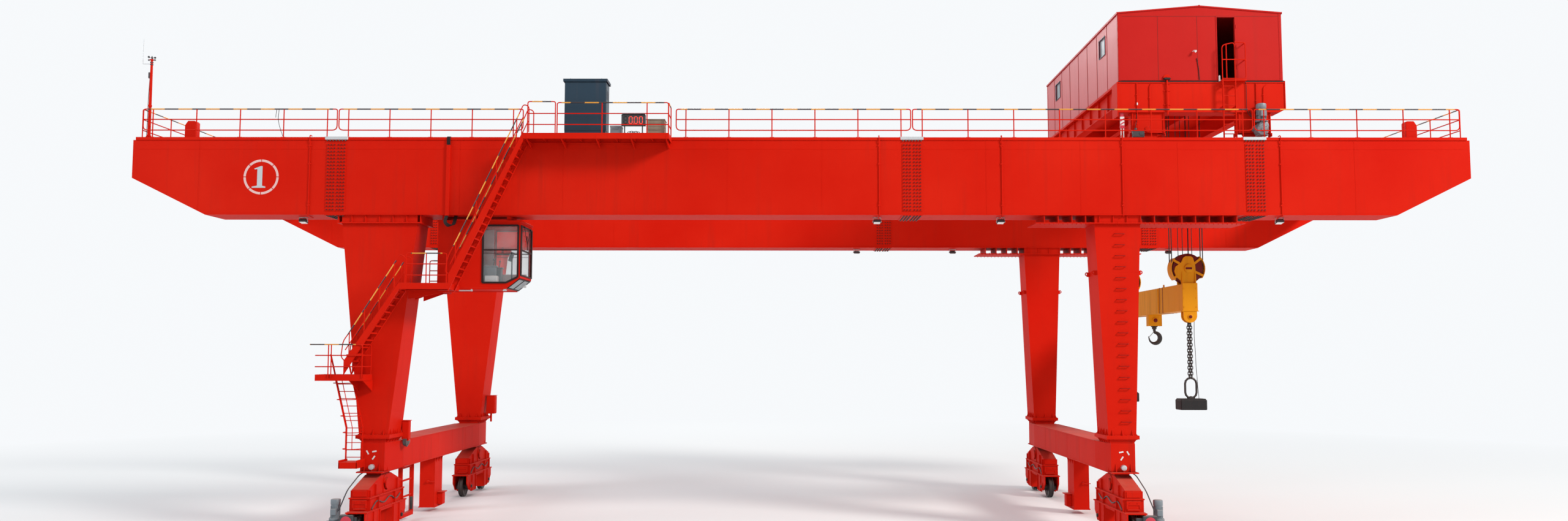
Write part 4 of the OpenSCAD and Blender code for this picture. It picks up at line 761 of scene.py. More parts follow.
def web_conduits():
    """Thin pipes down the front web to the floodlights, and the cable trunk with its looms."""
    web = -GIRDER_Y - WEB_HALF
    y = web - 0.010
    runs = []
    saddles = bmesh.new()
    for x in (-8.076, 1.292, 3.308, 5.285, 7.886):
        bends = [(y + 0.06, DECK_Z + 0.030), (y - 0.014, DECK_Z + 0.030), (y - 0.014, DECK_Z - 0.07),
                 (y, DECK_Z - 0.11), (y, GIRDER_Z + 0.03), (y - 0.012, GIRDER_Z - 0.012),
                 (y + 0.20, GIRDER_Z - 0.022)]
        runs.append(rounded([(x, *bend) for bend in bends], 0.03))
        for z in (DECK_Z - 0.14, (DECK_Z + GIRDER_Z) / 2 + 0.2, GIRDER_Z + 0.16):
            block(saddles, (x - 0.022, y - 0.006, z - 0.012), (x + 0.022, y + 0.010, z + 0.012), 0.002)
        disc(saddles, (x, y, GIRDER_Z + 0.19), (0, 0, 0.04), 0.014, 10)
    pipes("web_conduits", runs, 0.0085, RED)

    trunk_x = -5.790
    block(saddles, (trunk_x - 0.030, web - 0.034, 5.175), (trunk_x + 0.030, web, 6.345), 0.003)
    for z in (5.40, 5.95):
        block(saddles, (trunk_x - 0.046, web - 0.008, z), (trunk_x + 0.046, web, z + 0.030), 0.002)
    piece_from(saddles, "conduit_saddles", RED)
    looms = []
    for step in range(4):
        x = trunk_x - 0.021 + step * 0.014
        looms.append(rounded([(x, -RAILING_Y + 0.02, DECK_Z + 0.008), (x, web - 0.022, DECK_Z + 0.006),
                              (x, web - 0.024, 6.40), (x, web - 0.016, 6.33)], 0.03))
        looms.append(rounded([(x, web - 0.016, 5.19), (x - 0.04, web - 0.02, 5.07),
                              (x + 0.03, web - 0.02, 4.985 + 0.012 * step),
                              (x + 0.10, web + 0.02, 5.03), (x + 0.11, web + 0.10, 5.185)], 0.06, 6))
    pipes("web_looms", looms, 0.0085, GASKET, sides=6)

    y, top = -RAILING_Y, DECK_Z + TOP_RAIL
    cord = rounded([(-8.62, y, top), (-8.63, y - 0.02, DECK_Z + 0.30), (-8.58, y - 0.015, DECK_Z + 0.12),
                    (-8.55, y + 0.03, DECK_Z + 0.004)], 0.12, 6)
    spare = rounded([(-8.66, y, top), (-8.665, y - 0.02, DECK_Z + 0.33)], 0.05)
    pipes("hanging_cord", [cord, spare], 0.004, GASKET, sides=6)


def girder_numeral():
    """A plain numeral in a ring of eight arcs, painted on the front web and on the rear one."""
    rings, digits = bmesh.new(), bmesh.new()
    z = 5.816
    shape = [(-0.130, -0.180), (0.095, -0.180), (0.095, -0.160), (0.040, -0.145), (0.040, 0.180),
             (0.010, 0.180), (-0.095, 0.140), (-0.090, 0.125), (-0.045, 0.130), (-0.045, -0.145),
             (-0.130, -0.160)]
    for side, x in ((-1, -8.87), (1, 8.87)):
        y = side * (GIRDER_Y + WEB_HALF + 0.001)
        for number in range(8):
            start, sweep = math.tau * (number + 0.03) / 8, math.tau * 0.94 / 8
            inner, outer = (arc((x, y, z), radius, start, sweep, 8) for radius in (0.252, 0.290))
            plate(rings, inner + outer[::-1], (0, side * 0.0008, 0))
        outline = [(x + side * (0.02 - across), z + up) for across, up in shape]
        fin(digits, "Y", y, side * 0.0008, outline, 0.0)
    piece_from(rings, "numeral_rings", FADED_WHITE)
    piece_from(digits, "numerals", GALVANISED)


splice_bolts()
splice_covers()
web_seams()
web_conduits()
girder_numeral()


# Trolley rails


def track():
    """Rail profiles, clips, and end stops with a chamfered top."""
    rails, clips, stops = bmesh.new(), bmesh.new(), bmesh.new()
    half = [(0.036, 0.0), (0.036, 0.008), (0.008, 0.014), (0.008, 0.044), (0.018, 0.050), (0.018, 0.065)]
    profile = half + [(-across, up) for across, up in half[::-1]]
    for side in (-1, 1):
        y = side * RAIL_LINE_Y
        fin(rails, "X", -10.25, 20.5, [(y + across, DECK_Z + up) for across, up in profile], 0.0)
        for step in range(-28, 29):
            x = step * 0.36
            for at in (y - 0.05, y + 0.05):
                block(clips, (x - 0.02, at - 0.02, DECK_Z), (x + 0.02, at + 0.02, DECK_Z + 0.014), 0.002)
        for end in (-1, 1):
            x, top = end * 10.345, DECK_Z + 0.385
            outline = [(-0.095, DECK_Z), (0.095, DECK_Z), (0.095, top - 0.075), (0.045, top), (-0.070, top),
                       (-0.095, top - 0.025)]
            fin(stops, "Y", y - 0.065, 0.130, [(x + end * across, z) for across, z in outline], 0.006)
            block(stops, (x - 0.105, y - 0.090, DECK_Z), (x + 0.105, y + 0.090, DECK_Z + 0.012), 0.002)
            for dx in (-0.085, 0.085):
                for dy in (-0.078, 0.078):
                    bolt(stops, (x + dx, y + dy, DECK_Z + 0.012), (0, 0, 1), 0.008, 0.007)
    rails = piece_from(rails, "rails", BARE_STEEL)
    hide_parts("trolley_rails")
    piece_from(clips, "rail_clips", BARE_STEEL)
    piece_from(stops, "end_stops", RED)


track()

# Legs and saddles

# Each leg's place and its width at the top and at the foot
LEGS = [(LEFT_LEG_X, 1.24, 0.47), (RIGHT_LEG_X, 0.75, 0.45)]


def leg_half(top, foot, z):
    """Half the width and half the depth of a leg at one height."""
    t = (z - LEG_FOOT_Z) / (LEG_TOP_Z - LEG_FOOT_Z)
    return (foot + (top - foot) * t) / 2, (LEG_FOOT_DEPTH + (LEG_TOP_DEPTH - LEG_FOOT_DEPTH) * t) / 2


def leg_seams():
    """Weld seams round the legs."""
    bm = bmesh.new()
    for x, top, foot in LEGS:
        for y in (-GIRDER_Y, GIRDER_Y):
            for z in (1.96, 3.12, 4.26):
                wide, deep = (half + 0.001 for half in leg_half(top, foot, z))
                block(bm, (x - wide, y - deep, z - 0.0035), (x + wide, y + deep, z + 0.0035))
    piece_from(bm, "leg_seams", RED)


def foot_fittings():
    """Bolts on the foot flanges and pointed gussets under them and beside the sill ends."""
    bm = bmesh.new()
    flange = LEG_FOOT_Z - 0.06
    for x, _, foot in LEGS:
        half_x, half_y = foot / 2 + 0.02, LEG_FOOT_DEPTH / 2 + 0.02
        for y in (-GIRDER_Y, GIRDER_Y):
            for side in (-1, 1):
                for step in range(-4, 5):
                    for z, way in ((LEG_FOOT_Z, 1), (flange, -1)):
                        bolt(bm, (x + side * half_x, y + step * 0.07, z), (0, 0, way), 0.0085, 0.012)
                        if abs(step) < 4:
                            bolt(bm, (x + step * 0.068, y + side * half_y, z), (0, 0, way), 0.0085, 0.012)
                inner, outer = x + side * 0.195, x + side * (foot / 2 + 0.03)
                for step in range(-2, 3):
                    fin(bm, "Y", y + step * 0.125 - 0.006, 0.012,
                        [(inner, SILL_TOP_Z), (inner, flange), (outer, flange)])
                base, z = x + side * foot / 2, LEG_FOOT_Z
                for step in (-1.5, -0.5, 0.5, 1.5):
                    fin(bm, "Y", y + step * 0.15 - 0.005, 0.010,
                        [(base, z), (base + side * 0.036, z), (base + side * 0.006, z + 0.11)])
    piece_from(bm, "foot_fittings", RED)


def saddle_bolts():
    """Bolt rows along the lips of the saddles, between their ribs."""
    bm = bmesh.new()
    for x, half in ((LEFT_LEG_X, 0.69), (RIGHT_LEG_X + 0.375, 1.72)):
        count = round(half * 2 / 0.075)
        for y in (-GIRDER_Y, GIRDER_Y):
            for side in (-1, 1):
                for step in range(1, count):
                    at = x - half + step * 2 * half / count
                    bolt(bm, (at, y + side * 0.296, LEG_TOP_Z + 0.018), (0, 0, 1), 0.0075, 0.010)
                    bolt(bm, (at, y + side * 0.285, LEG_TOP_Z), (0, 0, -1), 0.0075, 0.012)
    piece_from(bm, "saddle_bolts", RED)


def leg_rungs():
    """Climbing rungs up the front of the right front leg, and lifting eyes on both right legs."""
    top, foot = LEGS[1][1:]
    runs = []
    for step in range(18):
        z = 1.83 + step * 0.18
        face = -GIRDER_Y - leg_half(top, foot, z)[1]
        at = 5.267 - 0.013 * (z - 1.83)
        runs.append(rounded([(at - 0.078, face + 0.004, z), (at - 0.078, face - 0.034, z - 0.004),
                             (at + 0.078, face - 0.034, z - 0.004), (at + 0.078, face + 0.004, z)], 0.012, 3))
    # The rungs wear the darker red of painted shade, standing in for the shadow they sit in.
    pipes("leg_rungs", runs, 0.0065, PAINTED_SHADE_RED)

    bm = bmesh.new()
    rings = []
    z = 4.26
    for y in (-GIRDER_Y - 0.20, -GIRDER_Y + 0.20, GIRDER_Y - 0.20, GIRDER_Y + 0.20):
        for side in (-1, 1):
            edge = RIGHT_LEG_X + side * (leg_half(top, foot, z)[0] - 0.004)
            block(bm, (edge, y - 0.009, z - 0.045), (edge + side * 0.050, y + 0.009, z + 0.030), 0.002)
            rings.append(arc((edge + side * 0.048, y, z), 0.026, 0.0, math.tau * 13 / 14, 14))
    piece_from(bm, "leg_eye_plates", RED)
    pipes("leg_eyes", rings, 0.009, RED, closed=True)


leg_seams()
foot_fittings()
saddle_bolts()
leg_rungs()


# Sill beams, columns and cable frame


def sill_fittings():
    """End plates, seams, taped marks and lamps on the sill beams."""
    bm = bmesh.new()
    for x in (LEFT_LEG_X, RIGHT_LEG_X):
        for side in (-1, 1):
            y = side * SILL_END_Y
            for step in (-1, 0, 1):
                fin(bm, "X", x + step * 0.12 - 0.006, 0.012,
                    [(y, SILL_Z), (y + side * 0.034, SILL_Z), (y + side * 0.004, SILL_Z + 0.13)])
            for face in (-1, 1):
                edge = x + face * 0.195
                for step in range(4):
                    fin(bm, "Y", side * (2.34 + step * 0.16) - 0.006, 0.012,
                        [(edge, SILL_Z), (edge + face * 0.019, SILL_Z), (edge + face * 0.003, SILL_Z + 0.12)])
            block(bm, (x - 0.215, y - side * 0.90, SILL_Z - 0.02),
                  (x + 0.215, y + side * 0.036, SILL_Z), 0.002)
        for at in (-1.25, -0.42, 0.42, 1.25):
            block(bm, (x - 0.2512, at - 0.0035, SILL_Z), (x + 0.2512, at + 0.0035, SILL_TOP_Z + 0.001))
        for z in (SILL_Z - 0.002, SILL_TOP_Z - 0.009):
            for face in (-1, 1):
                block(bm, (x + face * 0.244, -2.23, z), (x + face * 0.262, 2.23, z + 0.011), 0.002)
    piece_from(bm, "sill_fittings", RED_LOW)

    tapes, lamps = bmesh.new(), bmesh.new()
    for x, along in ((LEFT_LEG_X, 1), (RIGHT_LEG_X, -1)):
        y = -SILL_END_Y - 0.0015
        for dx, z, lean in ((-0.08, 1.330, 60), (0.03, 1.345, -10), (0.02, 1.245, -55)):
            centre, half = Vector((x + along * dx, y, z)), Vector((0.035, 0.001, 0.011))
            block(tapes, centre - half, centre + half, turn=leaning(lean, "Y"))
        disc(lamps, (x, y + 0.01, 1.10), (0, -0.065, -0.005), 0.045, 20, 0.008)
    piece_from(tapes, "sill_tape_marks", WHITE_PAINT)
    piece_from(lamps, "sill_lamps", GALVANISED)


def cable_box():
    """Junction box with cables beside the left front leg's foot, and the box on the left rear leg."""
    bm = bmesh.new()
    x0, y0, z0 = -6.655, -2.36, 1.50
    block(bm, (x0, y0, z0), (x0 + 0.12, y0 + 0.10, z0 + 0.30), 0.006)
    block(bm, (x0 - 0.010, y0 - 0.012, z0 + 0.30), (x0 + 0.130, y0 + 0.112, z0 + 0.312), 0.002)
    block(bm, (x0 + 0.015, y0 - 0.004, z0 + 0.02), (x0 + 0.105, y0, z0 + 0.28), 0.002)
    block(bm, (x0 + 0.01, y0 + 0.02, z0 - 0.03), (x0 + 0.11, y0 + 0.08, z0 + 0.01), 0.002)
    piece_from(bm, "cable_box", RED)
    runs = []
    for step in range(3):
        x = x0 + 0.035 + step * 0.022
        bends = ((0.0, 0.05, 0.02), (0.0, -0.03, -0.02), (0.02, -0.05, -0.10 - 0.015 * step),
                 (0.02, 0.10, -0.07), (-0.02, 0.22, -0.028))
        runs.append(rounded([(x + dx, y0 + dy, z0 + dz) for dx, dy, dz in bends], 0.05, 5))
    pipes("cable_bundle", runs, 0.011, DARK_PAINT)
    bm = bmesh.new()
    block(bm, (-6.600, 2.520, 1.670), (-6.430, 2.700, 2.050), 0.008)
    block(bm, (-6.432, 2.535, 1.690), (-6.424, 2.685, 2.030), 0.003)
    block(bm, (-6.610, 2.510, 2.048), (-6.418, 2.710, 2.058), 0.003)
    disc(bm, (-6.520, 2.610, 1.500), (0, 0, 0.180), 0.020, 14)
    piece_from(bm, "rear_leg_box", RED)


def column_fittings():
    """Caps, ribs, handles and small boxes of the anchor columns."""
    bm = bmesh.new()
    for x, y, face in ((LEFT_LEG_X, -0.02, 1), (RIGHT_LEG_X, -0.225, -1)):
        for side in (-1, 1):
            edge_x, edge_y = x + side * 0.14, y + side * 0.215
            for step in (-1, 0, 1):
                fin(bm, "Y", y + step * 0.15 - 0.005, 0.010,
                    [(edge_x, 1.0), (edge_x + side * 0.028, 1.0), (edge_x, 0.90)])
                fin(bm, "X", x + step * 0.10 - 0.005, 0.010,
                    [(edge_y, 1.0), (edge_y + side * 0.028, 1.0), (edge_y, 0.90)])
            block(bm, (edge_x - 0.012, y - 0.226, 0.08), (edge_x + 0.012, y + 0.226, 0.10), 0.002)
        edge = x + face * 0.14
        block(bm, (edge, y - 0.05, 0.12), (edge + face * 0.10, y + 0.10, 0.34), 0.006)
        block(bm, (edge, y - 0.08, 0.34), (edge + face * 0.13, y + 0.13, 0.355), 0.003)
        for z in (0.16, 0.24, 0.32):
            disc(bm, (edge + face * 0.02, y - 0.07, z), (0, 0.19, 0), 0.008, 10)
        disc(bm, (x + 0.02, y - 0.215, 0.56), (0, -0.040, 0), 0.026, 14, 0.004)
        disc(bm, (x + 0.02, y - 0.245, 0.56), (0.14, 0, 0), 0.007, 10)
    piece_from(bm, "column_fittings", RED_LOW)


def cable_frame_fittings():
    """Cross bars, end plates and guide rollers of the frame beside the left column."""
    bars, rollers = bmesh.new(), bmesh.new()
    x = LEFT_LEG_X
    for z in (0.42, 0.70, 0.92):
        block(bars, (x - 0.012, -1.64, z), (x + 0.012, -1.08, z + 0.03), 0.003)
    for y in (-1.64, -1.08):
        block(bars, (x - 0.06, y - 0.05, 1.015), (x + 0.06, y + 0.05, 1.03), 0.003)
    for y in (-1.56, -1.16):
        disc(rollers, (x + 0.03, y, 0.18), (0, 0, 0.22), 0.028, 16, 0.005)
    piece_from(bars, "cable_frame_bars", RED_LOW)
    piece_from(rollers, "cable_frame_rollers", DARK_STEEL)


sill_fittings()
cable_box()
column_fittings()
cable_frame_fittings()


# Bogies, travel drives and wheels

BOGIES = [(x, side * BOGIE_Y, side) for x in (LEFT_LEG_X, RIGHT_LEG_X) for side in (-1, 1)]


def ring(bm, centre, outer, inner, start, end, sides=28):
    """A flat ring round an axis along X, between two X places."""
    low, high = sorted((start, end))
    rims = [bmesh.ops.create_circle(bm, cap_ends=False, segments=sides, radius=radius)["verts"]
            for radius in (outer, inner)]
    verts = rims[0] + rims[1]
    edges = list({edge for vert in verts for edge in vert.link_edges})
    faces = bmesh.ops.bridge_loops(bm, edges=edges)["faces"]
    place = Matrix.Translation((low, *centre)) @ leaning(90, "Y")
    bmesh.ops.transform(bm, matrix=place, verts=verts)
    pushed = bmesh.ops.extrude_face_region(bm, geom=faces)["geom"]
    moved = [item for item in pushed if isinstance(item, bmesh.types.BMVert)]
    bmesh.ops.translate(bm, vec=(high - low, 0.0, 0.0), verts=moved)
    shell = list({face for vert in verts + moved for face in vert.link_faces})
    bmesh.ops.recalc_face_normals(bm, faces=shell)


def bogie_fittings():
    """Doublers, stiffeners, end covers, bearing caps, brackets and bolts on the four bogies."""
    bm = bmesh.new()
    for x, y, side in BOGIES:
        for face in (-1, 1):
            wall = x + face * 0.13
            ring(bm, (y, 0.83), 0.125, 0.055, wall, wall + face * 0.012)
            block(bm, (wall, y - 0.125, 0.665), (wall + face * 0.012, y + 0.125, 0.83), 0.002)
            for dy, top in ((-0.70, 0.775), (-0.47, 0.845), (0.47, 0.845), (0.70, 0.775)):
                block(bm, (wall, y + dy - 0.006, 0.665), (wall + face * 0.03, y + dy + 0.006, top), 0.001)
            for at in (y - 0.72, y - 0.36, y + 0.36, y + 0.72):
                block(bm, (wall, at - 0.007, 0.455), (wall + face * 0.036, at + 0.007, 0.645), 0.001)
            cheek = x + face * 0.15
            for dy in (-WHEEL_DY, WHEEL_DY):
                ring(bm, (y + dy, AXLE_Z), 0.085, 0.036, cheek, cheek + face * 0.014, 24)
                bolt_ring(bm, (cheek + face * 0.014, y + dy, AXLE_Z), (face, 0, 0), 0.062, 6, 0.009, 0.008,
                          math.radians(30))
            for at in (y - 0.56, y - 0.30, y + 0.30, y + 0.56):
                block(bm, (cheek, at - 0.007, 0.115), (cheek + face * 0.018, at + 0.007, 0.435), 0.001)
            for step in range(-8, 9):
                bolt(bm, (x + face * 0.155, y + step * 0.085, 0.665), (0, 0, 1), 0.007, 0.008)
                bolt(bm, (x + face * 0.155, y + step * 0.10, 0.455), (0, 0, 1), 0.007, 0.008)
        for end in (-1, 1):
            wall = y + end * 0.74
            for dx0, z0, dx1, z1 in ((-0.115, 0.56, 0.115, 0.630), (-0.115, 0.50, -0.085, 0.56),
                                     (0.085, 0.50, 0.115, 0.56), (-0.10, 0.475, 0.10, 0.50)):
                block(bm, (x + dx0, wall, z0), (x + dx1, wall + end * 0.018, z1), 0.004)
            block(bm, (x - 0.085, wall, 0.50), (x + 0.085, wall + end * 0.010, 0.56), 0.003)
            block(bm, (x - 0.11, wall, 0.68), (x + 0.11, wall + end * 0.010, 0.775), 0.003)
            for dx in (-0.06, 0.06):
                disc(bm, (x + dx, wall, 0.60), (0, end * 0.028, 0), 0.009, 8)
    piece_from(bm, "bogie_fittings", RED_LOW)

    runs = []
    for x, y, side in BOGIES:
        outward = -1 if x < 0 else 1
        for wall in (x - 0.145, x + 0.145):
            bends = ((-0.62, 0.47), (-0.40, 0.60), (-0.10, 0.50), (0.18, 0.61), (0.42, 0.49), (0.64, 0.58))
            runs.append(rounded([(wall, y + dy, z) for dy, z in bends], 0.12, 6))
        edge = x + outward * 0.215
        end = y + side * 0.70
        runs.append(rounded([(x + outward * 0.16, y, 1.01), (edge, y + side * 0.2, 0.98), (edge, end, 0.78),
                             (edge + outward * 0.12, end + side * 0.02, 0.46)], 0.10, 6))
    pipes("bogie_cables", runs, 0.009, DARK_PAINT)


def buffers():
    """Red domed buffers in dark square housings at the outer ends of the bogies."""
    housings, domes = bmesh.new(), bmesh.new()
    for x, y, side in BOGIES:
        at = x - 0.15 if x < 0 else x + 0.21
        end = y + side * 0.88
        block(housings, (at - 0.11, end - side * 0.09, 0.22), (at + 0.11, end + side * 0.012, 0.42), 0.012)
        disc(domes, (at, end, 0.315), (0, side * 0.016, 0), 0.086, 28, 0.005)
        block(housings, (x, y + side * 0.775, 0.25), (at, y + side * 0.855, 0.38), 0.006)
    piece_from(housings, "buffer_housings", DARK_PAINT)
    piece_from(domes, "buffer_domes", RED_LAMP)


def upright_motor(bm, at, low, high, radius, out):
    """A motor standing on its flange: fins, fan cover and a terminal box on its outer side."""
    x, y = at
    cover = high - 0.3 * (high - low)
    disc(bm, (x, y, low), (0, 0, 0.036), radius * 1.26, 28, 0.004)
    rod(bm, (x, y, low + 0.03), (x, y, cover + 0.01), radius * 0.84, 28)
    for turn in range(20):
        spoke = Matrix.Rotation(math.tau * turn / 20, 4, "Z")
        centre = Vector((x, y, 0.0)) + spoke @ Vector((radius * 0.89, 0.0, 0.0))
        foot, head = Vector((-0.006, -0.0015, low + 0.05)), Vector((0.006, 0.0015, cover - 0.006))
        block(bm, centre + foot, centre + head, turn=spoke)
    rod(bm, (x, y, cover), (x, y, high), radius, 28, soften=radius * 0.24)
    middle = (low + cover) / 2 + 0.02
    block(bm, (x - radius * 0.6, y + out * radius * 0.5, middle - 0.05),
          (x + radius * 0.6, y + out * radius * 1.32, middle + 0.05), 0.008)
    bolt_ring(bm, (x, y, low + 0.036), (0, 0, 1), radius * 1.12, 6, 0.007)


def travel_motors():
    """Upright motors and gear cases of the travel drives."""
    bm = bmesh.new()
    for x, y, side in BOGIES:
        out = -1 if x < 0 else 1
        wheel_y = y + side * WHEEL_DY
        upright_motor(bm, (x + out * 0.41, wheel_y), 0.308, 0.640, 0.0745, side)
        near, far = sorted((x + out * 0.174, x + out * 0.19))
        rod(bm, (near, wheel_y, AXLE_Z), (far, wheel_y, AXLE_Z), 0.10, 28, soften=0.003)
        for z in (AXLE_Z - 0.05, AXLE_Z + 0.02, AXLE_Z + 0.07):
            block(bm, (x + out * 0.20, wheel_y - 0.099, z),
                  (x + out * 0.50, wheel_y + 0.099, z + 0.012), 0.003)
    piece_from(bm, "travel_motor_details", GREY_PAINT)


def wheel_web(x, y):
    """Spoke web, rims and axle ends on both faces of one travel wheel."""
    bm = bmesh.new()
    for face in (-1, 1):
        for outer, inner, sides in ((0.198, 0.172, 40), (0.080, 0.058, 28)):
            ring(bm, (y, AXLE_Z), outer, inner, x + face * 0.042, x + face * 0.050, sides)
        for turn in range(6):
            spoke = Matrix.Rotation(math.tau * turn / 6, 4, "X")
            centre = Vector((x + face * 0.045, y, AXLE_Z)) + spoke @ Vector((0.0, 0.0, 0.126))
            half = Vector((0.003, 0.010, 0.048))
            block(bm, centre - half, centre + half, 0.002, turn=spoke)
        end = x + face * 0.17
        disc(bm, (end, y, AXLE_Z), (face * 0.012, 0, 0), 0.030, 20, 0.003)
        bolt_ring(bm, (end + face * 0.012, y, AXLE_Z), (face, 0, 0), 0.017, 3, 0.006, 0.006)
    return bm


def wheel_details():
    """The web of each travel wheel, on its own wheel's body."""
    for name, x in (("left", LEFT_LEG_X), ("right", RIGHT_LEG_X)):
        for side_name, side in (("front", -1), ("rear", 1)):
            for number, dy in ((1, -WHEEL_DY), (2, WHEEL_DY)):
                bm = wheel_web(x, side * BOGIE_Y + dy)
                piece_from(bm, f"wheel_web_{name}_{side_name}_{number}", DARK_STEEL,
                           body=f"travel_wheel_{name}_{side_name}_{number}")


bogie_fittings()
buffers()
travel_motors()
wheel_details()


# Stairs, platforms and the caged ladder

STAIR_FRONT = -3.347
STAIR_BACK = -2.997
LOWER_DECK_Z = 2.587
LANDING_Z = 4.044
SERVICE_Z = 6.464


def bar(bm, start, end, width, depth, facing, soften=0.001):
    """A flat bar from start to end: its width across, its depth along the facing direction."""
    start, end, facing = Vector(start), Vector(end), Vector(facing).normalized()
    along = (end - start).normalized()
    across = along.cross(facing)
    turn = Matrix((along, across, facing)).transposed().to_4x4()
    middle = (start + end) / 2
    half = Vector(((end - start).length, width, depth)) / 2
    block(bm, middle - half, middle + half, soften, turn=turn)


def tread(bm, x, z, low_y, high_y):
    """A folded chequer-plate tread with its lip and side brackets."""
    x0, x1 = x - 0.05, x + 0.05
    block(bm, (x0, low_y, z - 0.006), (x1, high_y, z), 0.001)
    for edge in (x0, x1 - 0.004):
        block(bm, (edge, low_y, z - 0.024), (edge + 0.004, high_y, z - 0.004))
    for step in range(9):
        y = low_y + (high_y - low_y) * (step + 0.5) / 9
        block(bm, (x0 + 0.008, y - 0.004, z - 0.001), (x1 - 0.008, y + 0.004, z + 0.0015))
    for y in (low_y, high_y - 0.016):
        block(bm, (x - 0.042, y, z - 0.045), (x + 0.042, y + 0.016, z - 0.006), 0.001)


def flight(name, foot, head, steps, bands):
    """Stringers, treads, handrails with rounded ends and their posts."""
    foot, head = Vector((foot[0], 0.0, foot[1])), Vector((head[0], 0.0, head[1]))
    run = head - foot
    drop = Vector((0.0, 0.0, 0.110 * run.length / run.x / 2))
    bm = bmesh.new()
    reds, tops = [], []
    for y, inward in ((STAIR_FRONT, 1), (STAIR_BACK, -1)):
        fin(bm, "Y", y, inward * 0.010, [(foot.x, foot.z - drop.z), (head.x, head.z - drop.z),
                                         (head.x, head.z), (foot.x, foot.z + drop.z)])
        edge = Vector((0, y + inward * 0.016, 0))
        bar(bm, foot - drop + edge, head - drop + edge, 0.007, 0.034, (0, 1, 0))
        bar(bm, foot + drop + edge, head + edge, 0.007, 0.034, (0, 1, 0))
        rail_y = y + inward * 0.012
        lift, middle = Vector((0, rail_y, 0.440)), Vector((0, rail_y, 0.250))
        start, end = foot + run * 0.06 + lift, foot + run * 0.94 + lift
        tops.append([start, end])
        reds.append(rounded([start, foot + lift + Vector((-0.02, 0, -0.02)),
                             foot + Vector((-0.05, rail_y, 0.16)),
                             foot + run * 0.05 + Vector((0, rail_y, 0.02))], 0.12, 6))
        reds.append(rounded([end, head + lift + Vector((0, 0, 0.015)), head + Vector((0.09, rail_y, 0.42)),
                             head + Vector((0.09, rail_y, 0.0))], 0.10, 6))
        reds.append([foot + run * 0.02 + middle, head + middle])
        for step in (1, 4, 7, 10):
            at = foot + run * step / 11
            reds.append([at + Vector((0, rail_y, -0.03)), at + lift])
    for step in range(1, steps + 1):
        at = foot + run * step / (steps + 1)
        tread(bm, at.x, at.z, STAIR_FRONT + 0.010, STAIR_BACK - 0.010)
    stringers = piece_from(bm, name + "_steps", RED)
    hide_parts(name)
    pipes(name + "_tubes", reds, 0.0085, RED)
    pipes(name + "_banded", tops, 0.0095, bands)


def deck_plate(bm, low, high, fascia, pitch=0.10):
    """A platform: chequer plate on channel fascias, with joists underneath."""
    x0, y0 = low
    x1, y1, z = high
    block(bm, (x0 + 0.002, y0 + 0.002, z - 0.008), (x1 - 0.002, y1 - 0.002, z), 0.001)
    for lo, hi in (((x0, y0), (x1, y0 + 0.008)), ((x0, y1 - 0.008), (x1, y1)),
                   ((x0 + 0.0005, y0 + 0.001), (x0 + 0.008, y1 - 0.001)),
                   ((x1 - 0.008, y0 + 0.001), (x1 - 0.0005, y1 - 0.001))):
        block(bm, (*lo, z - fascia), (*hi, z - 0.001), 0.001)
    for y in (y0 + 0.004, y1 - 0.036):
        block(bm, (x0 + 0.004, y, z - fascia + 0.001), (x1 - 0.004, y + 0.032, z - fascia + 0.007), 0.001)
    for x in even(x0, x1, 0.28)[1:-1]:
        block(bm, (x - 0.005, y0 + 0.01, z - fascia * 0.8), (x + 0.005, y1 - 0.01, z - 0.006))
    rows = max(2, round((y1 - y0) / pitch))
    for row in range(rows):
        y = y0 + (y1 - y0) * (row + 0.5) / rows
        block(bm, (x0 + 0.01, y - 0.003, z - 0.001), (x1 - 0.01, y + 0.003, z + 0.0015))


def railing_loop(reds, tops, start, end, z, height=TOP_RAIL, rails=RAIL_HEIGHTS):
    """A railing panel between two plan points, its end posts curving into the top rail."""
    curve = 0.07
    start, end = Vector((*start, z)), Vector((*end, z))
    along = (end - start).normalized() * curve
    up = Vector((0, 0, height))
    tops.append([start + up + along, end + up - along])
    reds.append(rounded([start, start + up, start + up + along], curve, 5))
    reds.append(rounded([end, end + up, end + up - along], curve, 5))
    for rail in rails:
        reds.append([start + Vector((0, 0, rail)), end + Vector((0, 0, rail))])


def landing():
    """Deck, brackets and railings of the landing at the cab."""
    bm = bmesh.new()
    z = LANDING_Z
    deck_plate(bm, (-6.409, STAIR_FRONT), (-5.624, STAIR_BACK, z), 0.10)
    deck_plate(bm, (-6.391, STAIR_BACK), (-5.997, -1.960, z), 0.10)
    deck_plate(bm, (-5.997, STAIR_BACK), (-5.624, -2.735, z), 0.10)
    for y, reach in ((-2.95, -5.65), (-2.62, -6.02), (-2.20, -6.02)):
        fin(bm, "Y", y, 0.012, [(-6.395, z - 0.100), (reach, z - 0.100), (-6.395, z - 0.235)])
    deck = piece_from(bm, "landing_deck", RED)
    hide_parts("cab_landing")
    reds, tops = [], []
    front = STAIR_FRONT + 0.012
    railing_loop(reds, tops, (-6.300, front), (-5.655, front), z)
    railing_loop(reds, tops, (-6.375, -1.972), (-6.02, -1.972), z)
    reds.append([(-5.98, front, z), (-5.98, front, z + TOP_RAIL)])
    pipes("landing_tubes", reds, 0.0085, RED)
    pipes("landing_banded", tops, 0.0095, RAIL_BANDS)


